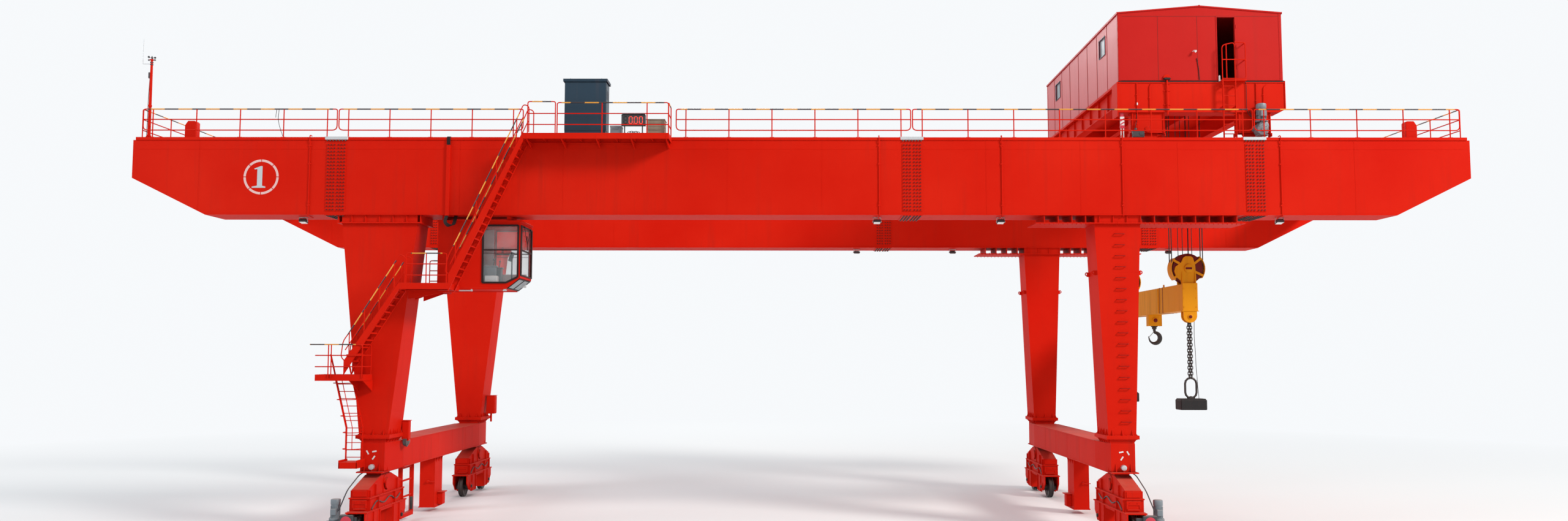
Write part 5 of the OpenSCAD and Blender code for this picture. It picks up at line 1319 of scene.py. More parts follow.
def lower_platform():
    """Deck, brackets and railings of the platform between the caged ladder and the lower flight."""
    bm = bmesh.new()
    z, top = LOWER_DECK_Z, LOWER_DECK_Z + TOP_RAIL
    deck_plate(bm, (-7.704, STAIR_FRONT), (-6.935, STAIR_BACK + 0.02, z), 0.10)
    for x in (-7.175, -6.955):
        fin(bm, "X", x, 0.012, [(STAIR_FRONT + 0.03, z - 0.10), (-2.926, z - 0.10), (-2.926, z - 0.28)])
    deck = piece_from(bm, "lower_platform_deck", RED)
    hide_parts("lower_platform")
    end, front, back = -6.955, STAIR_FRONT - 0.010, STAIR_BACK + 0.01
    reds = [rounded([(-7.06, front, top), (end, front, top), (end, front, z - 0.05)], 0.07, 5),
            rounded([(end, front, z + 0.40), (end, front, top), (end, back, top), (end, back, z)], 0.07, 5)]
    for rail in RAIL_HEIGHTS:
        reds.append([(-7.70, front, z + rail), (end, front, z + rail)])
        reds.append([(end, front, z + rail), (end, back, z + rail)])
    for x in (-7.492, -7.447):
        reds.append([(x, front, z - 0.05), (x, front, top)])
    pipes("lower_platform_tubes", reds, 0.009, RED)
    pipes("lower_platform_banded", [[(-7.79, front, top), (-7.06, front, top)]], 0.0095, RAIL_BANDS)


def caged_ladder():
    """Ladder from the foot box to the lower platform, inside its safety hoops."""
    top_z, knee_z, foot_z = LOWER_DECK_Z - 0.10, 1.740, 1.200
    y = STAIR_BACK - 0.020
    front, back = y - 0.247, -2.940

    def middle(z):
        return -7.178 - 0.185 * max(0.0, z - knee_z) / (top_z - knee_z)

    bm = bmesh.new()
    for dx in (-0.131, 0.131):
        for low, high in ((foot_z, knee_z), (knee_z, top_z + 0.42)):
            bar(bm, (middle(low) + dx, y, low), (middle(high) + dx, y, high), 0.012, 0.040, (0, 1, 0))
    block(bm, (-7.327, front, foot_z - 0.10), (-7.029, back, foot_z), 0.004)
    for x in (-7.327, -7.045):
        block(bm, (x, front, foot_z - 0.10), (x + 0.016, back, foot_z + 0.03), 0.002)
    frame_piece = piece_from(bm, "ladder_uprights", RED)
    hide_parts("caged_ladder")
    rungs = []
    for step in range(11):
        z = foot_z + (top_z - foot_z) * (step + 0.5) / 11
        rungs.append([(middle(z) - 0.13, y, z), (middle(z) + 0.13, y, z)])
    hoop = ((-0.145, 0.0), (-0.15, -0.12), (-0.055, -0.228), (0.055, -0.228), (0.15, -0.12), (0.145, 0.0))
    for step in range(5):
        z = foot_z + 0.20 + (top_z - foot_z - 0.24) * step / 4
        rungs.append(rounded([(middle(z) + dx, y + dy, z) for dx, dy in hoop], 0.06, 4))
    for dx in (-0.052, 0.052):
        rungs.append([(middle(z) + dx, y - 0.222, z) for z in (foot_z + 0.2, knee_z, top_z)])
    pipes("ladder_rungs", rungs, 0.0065, RED)


def service_platform():
    """Deck, brackets and railings of the platform beside the front girder."""
    bm = bmesh.new()
    z = SERVICE_Z
    deck_plate(bm, (-4.470, STAIR_FRONT), (-2.120, -2.939, z), 0.093)
    for part in (0.02, 0.26, 0.50, 0.74, 0.98):
        x = -4.470 + part * 2.350
        fin(bm, "X", x - 0.010, 0.020,
            [(STAIR_FRONT + 0.03, z - 0.093), (-2.925, z - 0.093), (-2.925, z - 0.18)])
        for dz in (-0.03, -0.065):
            bolt(bm, (x, STAIR_FRONT, z + dz), (0, -1, 0), 0.006, 0.006)
    deck = piece_from(bm, "service_deck", RED)
    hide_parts("service_platform")
    reds, tops = [], []
    y, right, height = STAIR_FRONT + 0.012, -2.131, 0.494
    for start, end, top in (((-4.400, y), (-3.955, y), 0.512), ((-3.925, y), (right, y), height),
                            ((right, y + 0.02), (right, -2.95), height)):
        railing_loop(reds, tops, start, end, z, top, (0.137, 0.316))
    for x in (-3.202, -2.477):
        reds.append([(x, y, z), (x, y, z + height)])
    pipes("service_tubes", reds, 0.0090, RED)
    pipes("service_banded", tops, 0.0105, RAIL_BANDS)


flight("lower_flight", (-7.254, 2.697), (-6.409, 4.044), 11, LOWER_STAIR_BANDS)
flight("upper_flight", (-5.624, 4.044), (-4.470, 6.477), 19, UPPER_STAIR_BANDS)
landing()
lower_platform()
caged_ladder()
service_platform()


# Operator's cab

CAB_X = (-5.997, -4.627)
CAB_Y = (-2.735, -1.960)
CAB_Z = (3.992, 5.124)
CAB_MULLION = 4.634


def cab_frames():
    """Dark window frames with their bars, on both sides, the front and the raked pane."""
    bm = bmesh.new()
    side = [(-5.250, 4.092), (-4.857, 4.092), (-4.667, 4.186), (-4.667, 5.039), (-5.250, 5.039)]
    for y, out in ((CAB_Y[0], -1), (CAB_Y[1], 1)):
        near = y + out * 0.004
        for first, second in zip(side, side[1:] + side[:1]):
            bar(bm, (first[0], near, first[1]), (second[0], near, second[1]), 0.030, 0.020, (0, 1, 0), 0.002)
        bar(bm, (-5.250, near, CAB_MULLION), (-4.667, near, CAB_MULLION), 0.022, 0.018, (0, 1, 0), 0.002)
        near, low = y + out * 0.002, CAB_MULLION - 0.055
        bar(bm, (-5.235, near, low), (-4.68, near, low), 0.008, 0.010, (0, 1, 0))
    x, left, right = CAB_X[1] + 0.004, CAB_Y[0], CAB_Y[1]
    for y in (left + 0.012, left + 0.045, right - 0.045, right - 0.012):
        bar(bm, (x, y, 4.205), (x, y, 5.045), 0.026, 0.020, (1, 0, 0), 0.002)
    for z in (4.215, CAB_MULLION, 5.035):
        bar(bm, (x, left + 0.03, z), (x, right - 0.03, z), 0.024, 0.018, (1, 0, 0), 0.002)
    low, high = Vector((-4.857, 0, 3.992)), Vector((-4.627, 0, 4.172))
    out = Vector((0.616, 0, -0.788))
    first, second = (low.lerp(high, part) + out * 0.004 for part in (0.08, 0.92))
    for at in (first, second):
        bar(bm, (at.x, left + 0.02, at.z), (at.x, right - 0.02, at.z), 0.024, 0.016, out, 0.002)
    for y in (left + 0.03, -2.348, right - 0.03):
        bar(bm, (first.x, y, first.z), (second.x, y, second.z), 0.022, 0.016, out, 0.002)
    piece_from(bm, "cab_window_frames", GASKET)

    panes = bmesh.new()
    first, second = (low.lerp(high, part) + out * 0.002 for part in (0.10, 0.90))
    for y0, y1 in ((left + 0.04, -2.358), (-2.338, right - 0.04)):
        plate(panes, [(first.x, y0, first.z), (second.x, y0, second.z), (second.x, y1, second.z),
                      (first.x, y1, first.z)], out * 0.003)
    piece_from(panes, "cab_raked_panes", PALE_PANE)


def cab_outside():
    """Roof edge, wipers, door with its handle, seams and the light strip under the floor."""
    bm = bmesh.new()
    (x0, x1), (y0, y1), (z0, z1) = CAB_X, CAB_Y, CAB_Z
    block(bm, (x0 - 0.015, y0 - 0.015, z1 - 0.03), (x1 + 0.015, y1 + 0.015, z1 + 0.002), 0.004)
    block(bm, (x0, y0 - 0.008, z0 - 0.012), (-4.86, y0 + 0.03, z0 + 0.02), 0.003)
    block(bm, (x0, y1 - 0.03, z0 - 0.012), (-4.86, y1 + 0.008, z0 + 0.02), 0.003)
    block(bm, (-5.623, y0 - 0.002, z0 + 0.02), (-5.617, y0 + 0.002, z1 - 0.03))
    for low, high in (((-2.37, 4.03), (-1.985, 4.055)), ((-2.37, 4.98), (-1.985, 5.005)),
                      ((-2.39, 4.03), (-2.365, 5.005)), ((-2.0, 4.03), (-1.975, 5.005))):
        block(bm, (x0 - 0.014, *low), (x0 + 0.004, *high), 0.002)
    for x in (-5.87, -5.10):
        for y in (-2.55, -2.20):
            block(bm, (x - 0.05, y - 0.05, z1), (x + 0.05, y + 0.05, z1 + 0.012), 0.002)
    piece_from(bm, "cab_trim", RED)

    dark = bmesh.new()
    for y, lean in ((-2.56, 0.22), (-2.14, -0.22)):
        disc(dark, (x1 + 0.018, y, 5.03), (0, lean, -0.29), 0.005, 8)
        x, at = x1 + 0.016, y + lean
        bar(dark, (x, at - 0.02, 4.90), (x, at + 0.02, 4.66), 0.010, 0.008, (1, 0, 0))
        disc(dark, (x1 + 0.002, y, 5.03), (0.028, 0, 0), 0.014, 14)
    disc(dark, (x0 + 0.012, -2.385, 4.50), (0, 0, 0.12), 0.008, 10)
    piece_from(dark, "cab_wipers", GASKET)

    strip = bmesh.new()
    disc(strip, (-5.97, y0 - 0.02, z0 - 0.035), (0.57, 0, 0), 0.010, 12)
    disc(strip, (-4.90, y0 - 0.02, z0 - 0.030), (0.06, 0, 0), 0.012, 12)
    for x in (-5.95, -5.42):
        block(strip, (x - 0.01, y0 - 0.03, z0 - 0.045), (x + 0.01, y0 + 0.01, z0 - 0.010), 0.002)
    block(strip, (-4.89, y0 - 0.03, z0 - 0.04), (-4.85, y0 + 0.01, z0 - 0.010), 0.002)
    piece_from(strip, "cab_light_strip", GALVANISED)


def cab_inside():
    """Seat, armrest desks, levers, screen, lining and the controller box behind the glass."""
    floor_z, seat_x, seat_y = CAB_Z[0] + 0.060, CAB_X[1] - 0.640, sum(CAB_Y) / 2

    def near_floor(bm, low, high, soften, turn=None):
        """A box with its heights above the cab's floor."""
        block(bm, (*low[:2], floor_z + low[2]), (*high[:2], floor_z + high[2]), soften, turn)

    def near_seat(bm, low, high, soften, turn=None):
        """A box with its places taken from the foot of the seat."""
        shift = Vector((seat_x, seat_y, 0.0))
        near_floor(bm, Vector(low) + shift, Vector(high) + shift, soften, turn)

    lining = bmesh.new()
    front, back = CAB_Y
    block(lining, (-5.970, back - 0.040, floor_z), (-5.27, back - 0.026, 5.05), 0.003)
    block(lining, (-5.270, back - 0.052, floor_z), (-4.70, back - 0.026, 4.28), 0.004)
    block(lining, (-5.972, front + 0.030, floor_z), (-5.962, -2.40, 5.05), 0.003)
    near_floor(lining, (-5.23, front + 0.04, 0), (-5.02, front + 0.16, 0.16), 0.012)
    piece_from(lining, "cab_lining", WHITE_PAINT)

    seat = bmesh.new()
    disc(seat, (seat_x, seat_y, floor_z), (0, 0, 0.17), 0.055, 20)
    disc(seat, (seat_x, seat_y, floor_z), (0, 0, 0.015), 0.11, 24, 0.004)
    near_seat(seat, (-0.13, -0.13, 0.17), (0.13, 0.13, 0.235), 0.022)
    near_seat(seat, (-0.150, -0.12, 0.22), (-0.085, 0.12, 0.53), 0.024, leaning(-8, "Y"))
    near_seat(seat, (-0.180, -0.08, 0.53), (-0.130, 0.08, 0.63), 0.018)
    chair = piece_from(seat, "cab_chair", DARK_PAINT)
    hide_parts("cab_seat")

    desk, lever = bmesh.new(), bmesh.new()
    desk_top = floor_z + 0.335
    for dy in (-0.185, 0.185):
        near_seat(desk, (-0.06, dy - 0.048, 0), (0.19, dy + 0.048, 0.31), 0.010)
        near_seat(desk, (-0.08, dy - 0.055, 0.31), (0.21, dy + 0.055, 0.335), 0.006)
        y = seat_y + dy
        for dx in (0.02, 0.05, 0.08):
            disc(desk, (seat_x + dx, y - 0.02, desk_top), (0, 0, 0.008), 0.008, 12)
        disc(lever, (seat_x + 0.14, y, desk_top), (0.01, 0, 0.095), 0.007, 10)
        bmesh.ops.create_uvsphere(lever, u_segments=16, v_segments=10, radius=0.018,
                                  matrix=Matrix.Translation((seat_x + 0.15, y, desk_top + 0.105)))
    piece_from(desk, "cab_desks", GREY_PAINT)
    disc(lever, (-4.80, -2.60, floor_z + 0.05), (0, 0, 0.47), 0.012, 12)
    near_floor(lever, (-4.83, -2.66, 0.40), (-4.80, -2.50, 0.56), 0.008, leaning(18, "Y"))
    piece_from(lever, "cab_levers", DARK_PAINT)
    screen = bmesh.new()
    near_floor(screen, (-4.838, -2.645, 0.415), (-4.831, -2.515, 0.545), 0.002, leaning(18, "Y"))
    piece_from(screen, "cab_screen", LAMP_FACE)


cab_frames()
cab_outside()
cab_inside()


# End platforms


def end_platforms():
    """Decks, tie beams and railings across the crane between the girders' ends."""
    for name, side in (("left", -1), ("right", 1)):
        bm = bmesh.new()
        middle = side * 10.633
        under = DECK_Z - DECK_PLATE
        deck_plate(bm, (middle - 0.320, -2.291), (middle + 0.320, 2.291, DECK_Z), DECK_PLATE, 0.40)
        block(bm, (middle - 0.18, -2.304, 5.910), (middle + 0.18, 2.304, under), 0.004)
        for y in (-1.6, -0.8, 0.0, 0.8, 1.6):
            block(bm, (middle - 0.182, y - 0.004, 5.912), (middle + 0.182, y + 0.004, under - 0.004), 0.001)
            for face in (-1, 1):
                inner, outer = middle + face * 0.18, middle + face * 0.31
                fin(bm, "Y", y - 0.006, 0.012,
                    [(inner, DECK_Z - 0.050), (outer, DECK_Z - 0.050), (inner, DECK_Z - 0.20)])
        deck = piece_from(bm, name + "_end_deck", RED)
        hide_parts(name + "_end_platform")
        reds, tops = [], []
        x = side * 10.880
        railing_loop(reds, tops, (x, -2.885), (x, 2.885), DECK_Z)
        for step in range(1, 7):
            y = -2.9 + step * 0.8286
            reds.append([(x, y, DECK_Z), (x, y, DECK_Z + TOP_RAIL)])
        pipes(name + "_end_tubes", reds, 0.0090, RED)
        pipes(name + "_end_top", tops, 0.0105, RAIL_BANDS)


# Mast and anemometer

MAST = Vector((-10.835, -2.780, 0.0))
MAST_TOP = 7.820
CUPS_Z = 7.8483


def mast():
    """Tapered mast with its foot ribs, collars, sensor bracket, lightning rod and lead."""
    def at(dx, dy, z):
        return MAST + Vector((dx, dy, z))

    bm = bmesh.new()
    foot = at(0, 0, DECK_Z + 0.010)
    rod(bm, at(0, 0, DECK_Z), at(0, 0, MAST_TOP), 0.026, 24, end_radius=0.018)
    disc(bm, at(0, 0, DECK_Z), (0, 0, 0.010), 0.060, 24, 0.002)
    disc(bm, at(0, 0, 7.02), (0, 0, 0.03), 0.029, 24, 0.003)
    disc(bm, at(0, 0, MAST_TOP - 0.014), (0, 0, 0.012), 0.034, 20, 0.002)
    for turn in range(4):
        way = leaning(45 + 90 * turn, "Z") @ Vector((1.0, 0.0, 0.0))
        across = Vector((-way.y, way.x, 0.0))
        near, far = (foot - across * 0.003 + way * reach for reach in (0.022, 0.056))
        plate(bm, [near, far, near + Vector((0, 0, 0.07))], across * 0.006)
        bolt(bm, foot - across * 0.046, (0, 0, 1), 0.006, 0.007)
    tube = piece_from(bm, "mast_tube", RED)
    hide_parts("mast")

    steel = bmesh.new()
    disc(steel, at(0, 0, MAST_TOP), (0, 0, 0.054), 0.0085, 14)
    for z in (7.725, 7.760):
        disc(steel, at(0, 0, z), (0, 0, 0.012), 0.026, 20)
    for dx in (-0.052, 0.052):
        block(steel, at(dx - 0.010, -0.010, MAST_TOP - 0.022), at(dx + 0.010, 0.010, MAST_TOP), 0.002)
    disc(steel, at(-0.05, 0, MAST_TOP - 0.011), (0.10, 0, 0), 0.004, 8)
    block(steel, at(-0.045, -0.014, 7.50), at(-0.018, 0.014, 7.60), 0.004)
    piece_from(steel, "mast_fittings", DARK_PAINT)
    bent = rounded([at(0.0, 0, 7.742), at(-0.150, 0, 7.744), at(-0.150, 0, 8.165)], 0.015, 4)
    pipes("lightning_rod", [bent], 0.0050, GALVANISED)
    lead = rounded([at(-0.020, 0, 7.55), at(-0.028, -0.008, 7.2), at(-0.034, -0.008, DECK_Z + 0.02),
                    at(0.10, 0.03, DECK_Z + 0.008)], 0.05, 5)
    pipes("mast_lead", [lead], 0.004, GASKET, sides=6)


def cups():
    """Three hollow half-ball cups on thin arms round a turning hub."""
    bm = bmesh.new()
    centre = Vector((MAST.x, MAST.y, CUPS_Z))
    ways = [Matrix.Rotation(math.tau * number / 3, 4, "Z") @ Vector((1.0, 0.0, 0.0)) for number in range(3)]
    for way in ways:
        middle = centre + way * 0.052
        side = Vector((-way.y, way.x, 0.0))
        place = Matrix.Translation(middle) @ side.to_track_quat("Z", "Y").to_matrix().to_4x4()
        ball = bmesh.ops.create_uvsphere(bm, u_segments=18, v_segments=10, radius=0.018, matrix=place)
        away = [vert for vert in ball["verts"] if (vert.co - middle).dot(side) > 0.001]
        bmesh.ops.delete(bm, geom=away, context="VERTS")
    bmesh.ops.recalc_face_normals(bm, faces=list(bm.faces))
    bmesh.ops.solidify(bm, geom=list(bm.faces), thickness=0.0015)
    disc(bm, centre - Vector((0, 0, 0.014)), (0, 0, 0.028), 0.013, 20, 0.003)
    for way in ways:
        disc(bm, centre + way * 0.010, way * 0.026, 0.0028, 8)
    wheel = piece_from(bm, "cup_wheel", DARK_PAINT, body="anemometer", slot="zinc_grey")
    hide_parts("anemometer_cups")


cups()


# Floodlights


def floodlights():
    """Lamps in bent yokes under the girders, finned at the back, glass facing down."""
    lamps, glass, yokes = bmesh.new(), bmesh.new(), bmesh.new()
    for x in FLOODS_X:
        for side in (-1, 1):
            y = side * GIRDER_Y
            turn = leaning(side * 12, "X")
            centre = Vector((x, y, 5.122))
            for bm, low, high, soften in (
                    (lamps, (-0.060, -0.055, -0.022), (0.060, 0.055, 0.020), 0.006),
                    (glass, (-0.052, -0.047, -0.026), (0.052, 0.047, -0.018), 0.002)):
                block(bm, centre + Vector(low), centre + Vector(high), soften, turn)
            for step in range(-3, 4):
                fin_at = centre + Vector((step * 0.015, 0.0, 0.0))
                block(lamps, fin_at + Vector((-0.002, -0.045, 0.014)), fin_at + Vector((0.002, 0.045, 0.038)),
                      turn=turn)
            for face in (-1, 1):
                at = x + face * 0.064
                block(yokes, (at, y - 0.014, 5.105), (at + face * 0.005, y + 0.014, 5.190), 0.001)
                disc(yokes, (at, y, 5.122), (face * 0.012, 0, 0), 0.010, 10)
            block(yokes, (x - 0.069, y - 0.014, 5.184), (x + 0.069, y + 0.014, 5.190), 0.001)
            bolt(yokes, (x, y, 5.184), (0, 0, -1), 0.010, 0.008)
    housing = piece_from(lamps, "floodlight_housings", DARK_PAINT, slot="zinc_grey")
    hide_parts("floodlights")
    piece_from(glass, "floodlight_glass", LAMP_FACE)
    piece_from(yokes, "floodlight_yokes", GALVANISED)


# Electrical cabinet, load display and boxes


def cabinet():
    """Door panels, louvred sides, roof edge and lifting eyes, then handles, hinges and foot bolts."""
    panels, steel = bmesh.new(), bmesh.new()
    x0, x1, y0, y1 = -3.842, -3.172, -3.165, -2.865
    z0, z1 = DECK_Z, 7.364
    low_z, high_z = z0 + 0.060, z1 - 0.030
    middle, back = (x0 + x1) / 2, y1 + 0.006
    block(panels, (x0 + 0.006, y0 - 0.005, low_z), (x1 - 0.006, y0 + 0.004, high_z), 0.003)
    for low, high in ((x0 + 0.006, middle - 0.004), (middle + 0.004, x1 - 0.006)):
        block(panels, (low, y1 - 0.004, low_z), (high, back, high_z), 0.003)
    for x, out in ((x0, -1), (x1, 1)):
        near, far = sorted((x - out * 0.004, x + out * 0.005))
        block(panels, (near, y0 + 0.012, low_z), (far, y1 - 0.012, high_z), 0.003)
        for step in range(7):
            z = z1 - 0.16 - step * 0.022
            block(panels, (near, y0 + 0.06, z), (far + 0.004, y1 - 0.06, z + 0.012), 0.001,
                  leaning(out * 16, "Y"))
    left, right, front, rear = x0 - 0.025, x1 + 0.025, y0 - 0.025, y1 + 0.025
    for low, high in (((left, front), (right, front + 0.008)), ((left, rear - 0.008), (right, rear)),
                      ((left, front + 0.008), (left + 0.008, rear - 0.008)),
                      ((right - 0.008, front + 0.008), (right, rear - 0.008))):
        block(panels, (*low, z1 - 0.020), (*high, z1 + 0.004), 0.001)
    for x in (x0 + 0.08, x1 - 0.08):
        for y in (y0 + 0.06, y1 - 0.06):
            block(panels, (x - 0.004, y - 0.016, z1 + 0.025), (x + 0.004, y + 0.016, z1 + 0.048), 0.002)
    piece_from(panels, "cabinet_panels", BLUE_GREY)

    for x in (middle - 0.05, middle + 0.05):
        block(steel, (x - 0.010, back, 6.86), (x + 0.010, back + 0.010, 6.98), 0.003)
    for x in (x0 + 0.012, x1 - 0.012):
        for z in (6.62, 6.92, 7.24):
            disc(steel, (x, back + 0.004, z), (0, 0, 0.05), 0.005, 10)
    for x in (x0 + 0.05, x1 - 0.05):
        for y in (y0 + 0.02, y1 - 0.02):
            bolt(steel, (x, y, z0), (0, 0, 1), 0.008, 0.006)
    piece_from(steel, "cabinet_handles", DARK_STEEL)


def seven_segments(bm, x, y, z, labels):
    """The named bars of one digit of the display."""
    right, middle, top = x + 0.050, z + 0.055, z + 0.110
    bars = {
        "bottom": ((x, z), (right, z)), "middle": ((x, middle), (right, middle)),
        "top": ((x, top), (right, top)),
        "low_left": ((x, z), (x, middle)), "low_right": ((right, z), (right, middle)),
        "high_left": ((x, middle), (x, top)), "high_right": ((right, middle), (right, top)),
    }
    for label in labels:
        start, end = (Vector((across, y, up)) for across, up in bars[label])
        along = (end - start).normalized() * 0.006
        bar(bm, start + along, end - along, 0.011, 0.003, (0, 1, 0))


def service_boxes():
    """The boarded box and the small box beside the display, and a coil of cable between them."""
    timber = bmesh.new()
    (x0, y0, z0), (x1, y1, z1) = (-2.492, -3.268, SERVICE_Z), (-2.202, -3.028, SERVICE_Z + 0.235)
    block(timber, (x0 + 0.006, y0 + 0.006, z0), (x1 - 0.006, y1 - 0.006, z1 - 0.01), 0.002)
    for row in range(4):
        z = z0 + 0.004 + row * 0.056
        block(timber, (x0, y0, z), (x1, y1, z + 0.052), 0.003)
    for x in (x0 + 0.01, x1 - 0.034):
        for y in (y0 - 0.006, y1 - 0.006):
            block(timber, (x, y, z0), (x + 0.024, y + 0.012, z1), 0.002)
    block(timber, (x0 - 0.008, y0 - 0.010, z1 - 0.008), (x1 + 0.008, y1 + 0.010, z1 + 0.006), 0.002)
    piece_from(timber, "timber_box", TIMBER)

    small = bmesh.new()
    (x0, y0, z0), (x1, y1, z1) = (-3.079, -3.268, SERVICE_Z), (-2.899, -3.108, SERVICE_Z + 0.130)
    block(small, (x0, y0, z0), (x1, y1, z1), 0.006)
    block(small, (x0 - 0.004, y0 - 0.004, z1 - 0.022), (x1 + 0.004, y1 + 0.004, z1 + 0.004), 0.003)
    block(small, (x0 + 0.05, y0 - 0.010, z1 - 0.05), (x0 + 0.13, y0, z1 - 0.03), 0.002)
    piece_from(small, "small_box", GREY_PAINT)

    coil = []
    for number in range(5):
        x, y, z = -2.78 + number * 0.035, -3.20 + number * 0.004, SERVICE_Z + 0.030 + (number % 2) * 0.008
        turns = [(math.cos(math.tau * k / 12), math.sin(math.tau * k / 12)) for k in range(12)]
        coil.append([(x + 0.028 * across, y + 0.02 * up, z + 0.024 * up) for across, up in turns])
    pipes("cable_coil", coil, 0.0055, GASKET, sides=6, closed=True)


def load_display():
    """Display case with its visor and posts, and its digits."""
    x0, x1, y0, z0, z1 = -2.889, -2.502, -3.328, 6.584, 6.764
    bm = bmesh.new()
    block(bm, (x0, y0, z0), (x1, y0 + 0.060, z1), 0.004)
    for left, low, right, high in ((x0, z0, x1, z0 + 0.018), (x0, z1 - 0.018, x1, z1),
                                   (x0, z0, x0 + 0.018, z1), (x1 - 0.018, z0, x1, z1)):
        block(bm, (left, y0 - 0.010, low), (right, y0 + 0.002, high), 0.002)
    block(bm, (x0 + 0.01, y0 - 0.035, z1 + 0.004), (x1 - 0.01, y0 + 0.065, z1 + 0.014), 0.002)
    for x in (x0 + 0.09, x1 - 0.11):
        block(bm, (x, y0 + 0.01, z1 - 0.002), (x + 0.02, y0 + 0.03, z1 + 0.006), 0.001)
    for x in (x0 + 0.040, x1 - 0.060):
        block(bm, (x, y0 + 0.010, SERVICE_Z), (x + 0.018, y0 + 0.028, z0 + 0.002), 0.002)
        block(bm, (x - 0.012, y0 + 0.002, SERVICE_Z), (x + 0.030, y0 + 0.036, SERVICE_Z + 0.006), 0.001)
    case = piece_from(bm, "display_case", DARK_PAINT)
    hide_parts("load_display")

    lit, unlit = bmesh.new(), bmesh.new()
    zero = ("top", "bottom", "low_left", "low_right", "high_left", "high_right")
    for number in range(4):
        digit = (x0 + 0.042 + number * 0.082, y0 - 0.002, z0 + 0.035)
        if number == 0:
            seven_segments(unlit, *digit, zero + ("middle",))
        else:
            seven_segments(lit, *digit, zero)
    block(lit, (x0 + 0.192, y0 - 0.004, z0 + 0.030), (x0 + 0.200, y0 - 0.001, z0 + 0.038))
    piece_from(lit, "display_digits", DIGITS)
    piece_from(unlit, "display_unlit", GASKET)


end_platforms()
mast()
floodlights()
cabinet()
load_display()
service_boxes()


# Trolley: end carriages and travel drives

CARRIAGE_X = (5.376, 8.200)
CARRIAGE_Z = (7.000, 7.520)
CARRIAGE_INNER = 2.205
TROLLEY_WHEELS_X = (5.888, 7.688)
TROLLEY_WHEEL_Z = 6.717


def carriages():
    """Lips, end plates, seams, stiffeners, wheel bearing caps and bolts on both end carriages."""
    bm, bolts = bmesh.new(), bmesh.new()
    (x0, x1), (z0, z1) = CARRIAGE_X, CARRIAGE_Z
    for side in (-1, 1):
        inner, outer = side * CARRIAGE_INNER, side * HOUSE_Y
        for edge, out in ((inner, -side), (outer, side)):
            near, far = edge - out * 0.004, edge + out * 0.012
            block(bm, (x0, near, z1 - 0.016), (x1, far, z1), 0.002)
            block(bm, (x0, near, z0), (x1 - 0.110, far, z0 + 0.012), 0.002)
        near, far = sorted((inner - side * 0.012, outer + side * 0.014))
        block(bm, (x1 - 0.004, near, z0 + 0.055), (x1 + 0.012, far, z1 + 0.020), 0.003)
        block(bm, (x0 - 0.012, near, z0 - 0.070), (x0 + 0.004, far, z1), 0.003)
        y = (near + far) / 2
        bar(bm, (x1 - 0.108, y, z0 - 0.001), (x1 + 0.004, y, z0 + 0.058), far - near, 0.010,
            (0.46, 0, -0.888))
        for x in (5.698, 7.714):
            block(bm, (x - 0.004, outer - 0.003, z0 + 0.012), (x + 0.004, outer + 0.003, z1 - 0.016))
        for x in (6.30, 7.28):
            block(bm, (x - 0.006, inner, z0 + 0.012), (x + 0.006, inner - side * 0.10, z1 - 0.016), 0.001)
        for x in TROLLEY_WHEELS_X:
            for face in (-1, 1):
                wall, z = side * RAIL_LINE_Y + face * 0.080, TROLLEY_WHEEL_Z
                disc(bm, (x, wall, z), (0, face * 0.010, 0), 0.058, 28, 0.003)
                bolt_ring(bolts, (x, wall + face * 0.010, z), (0, face, 0), 0.046, 6, 0.005, 0.005)
                for at in (x - 0.262, x + 0.262):
                    block(bm, (at - 0.008, wall - face * 0.004, z - 0.055),
                          (at + 0.008, wall + face * 0.014, z0), 0.001)
            for end in (-1, 1):
                at = x + end * 0.285
                block(bm, (at, side * 2.300, 6.600), (at + end * 0.02, side * 2.430, 6.660), 0.004)
                block(bm, (at, side * 2.300, 6.640), (at - end * 0.015, side * 2.430, 7.0), 0.002)
    piece_from(bm, "carriage_fittings", RED, body="trolley")
    piece_from(bolts, "carriage_bolts", BOLT_RED, body="trolley")


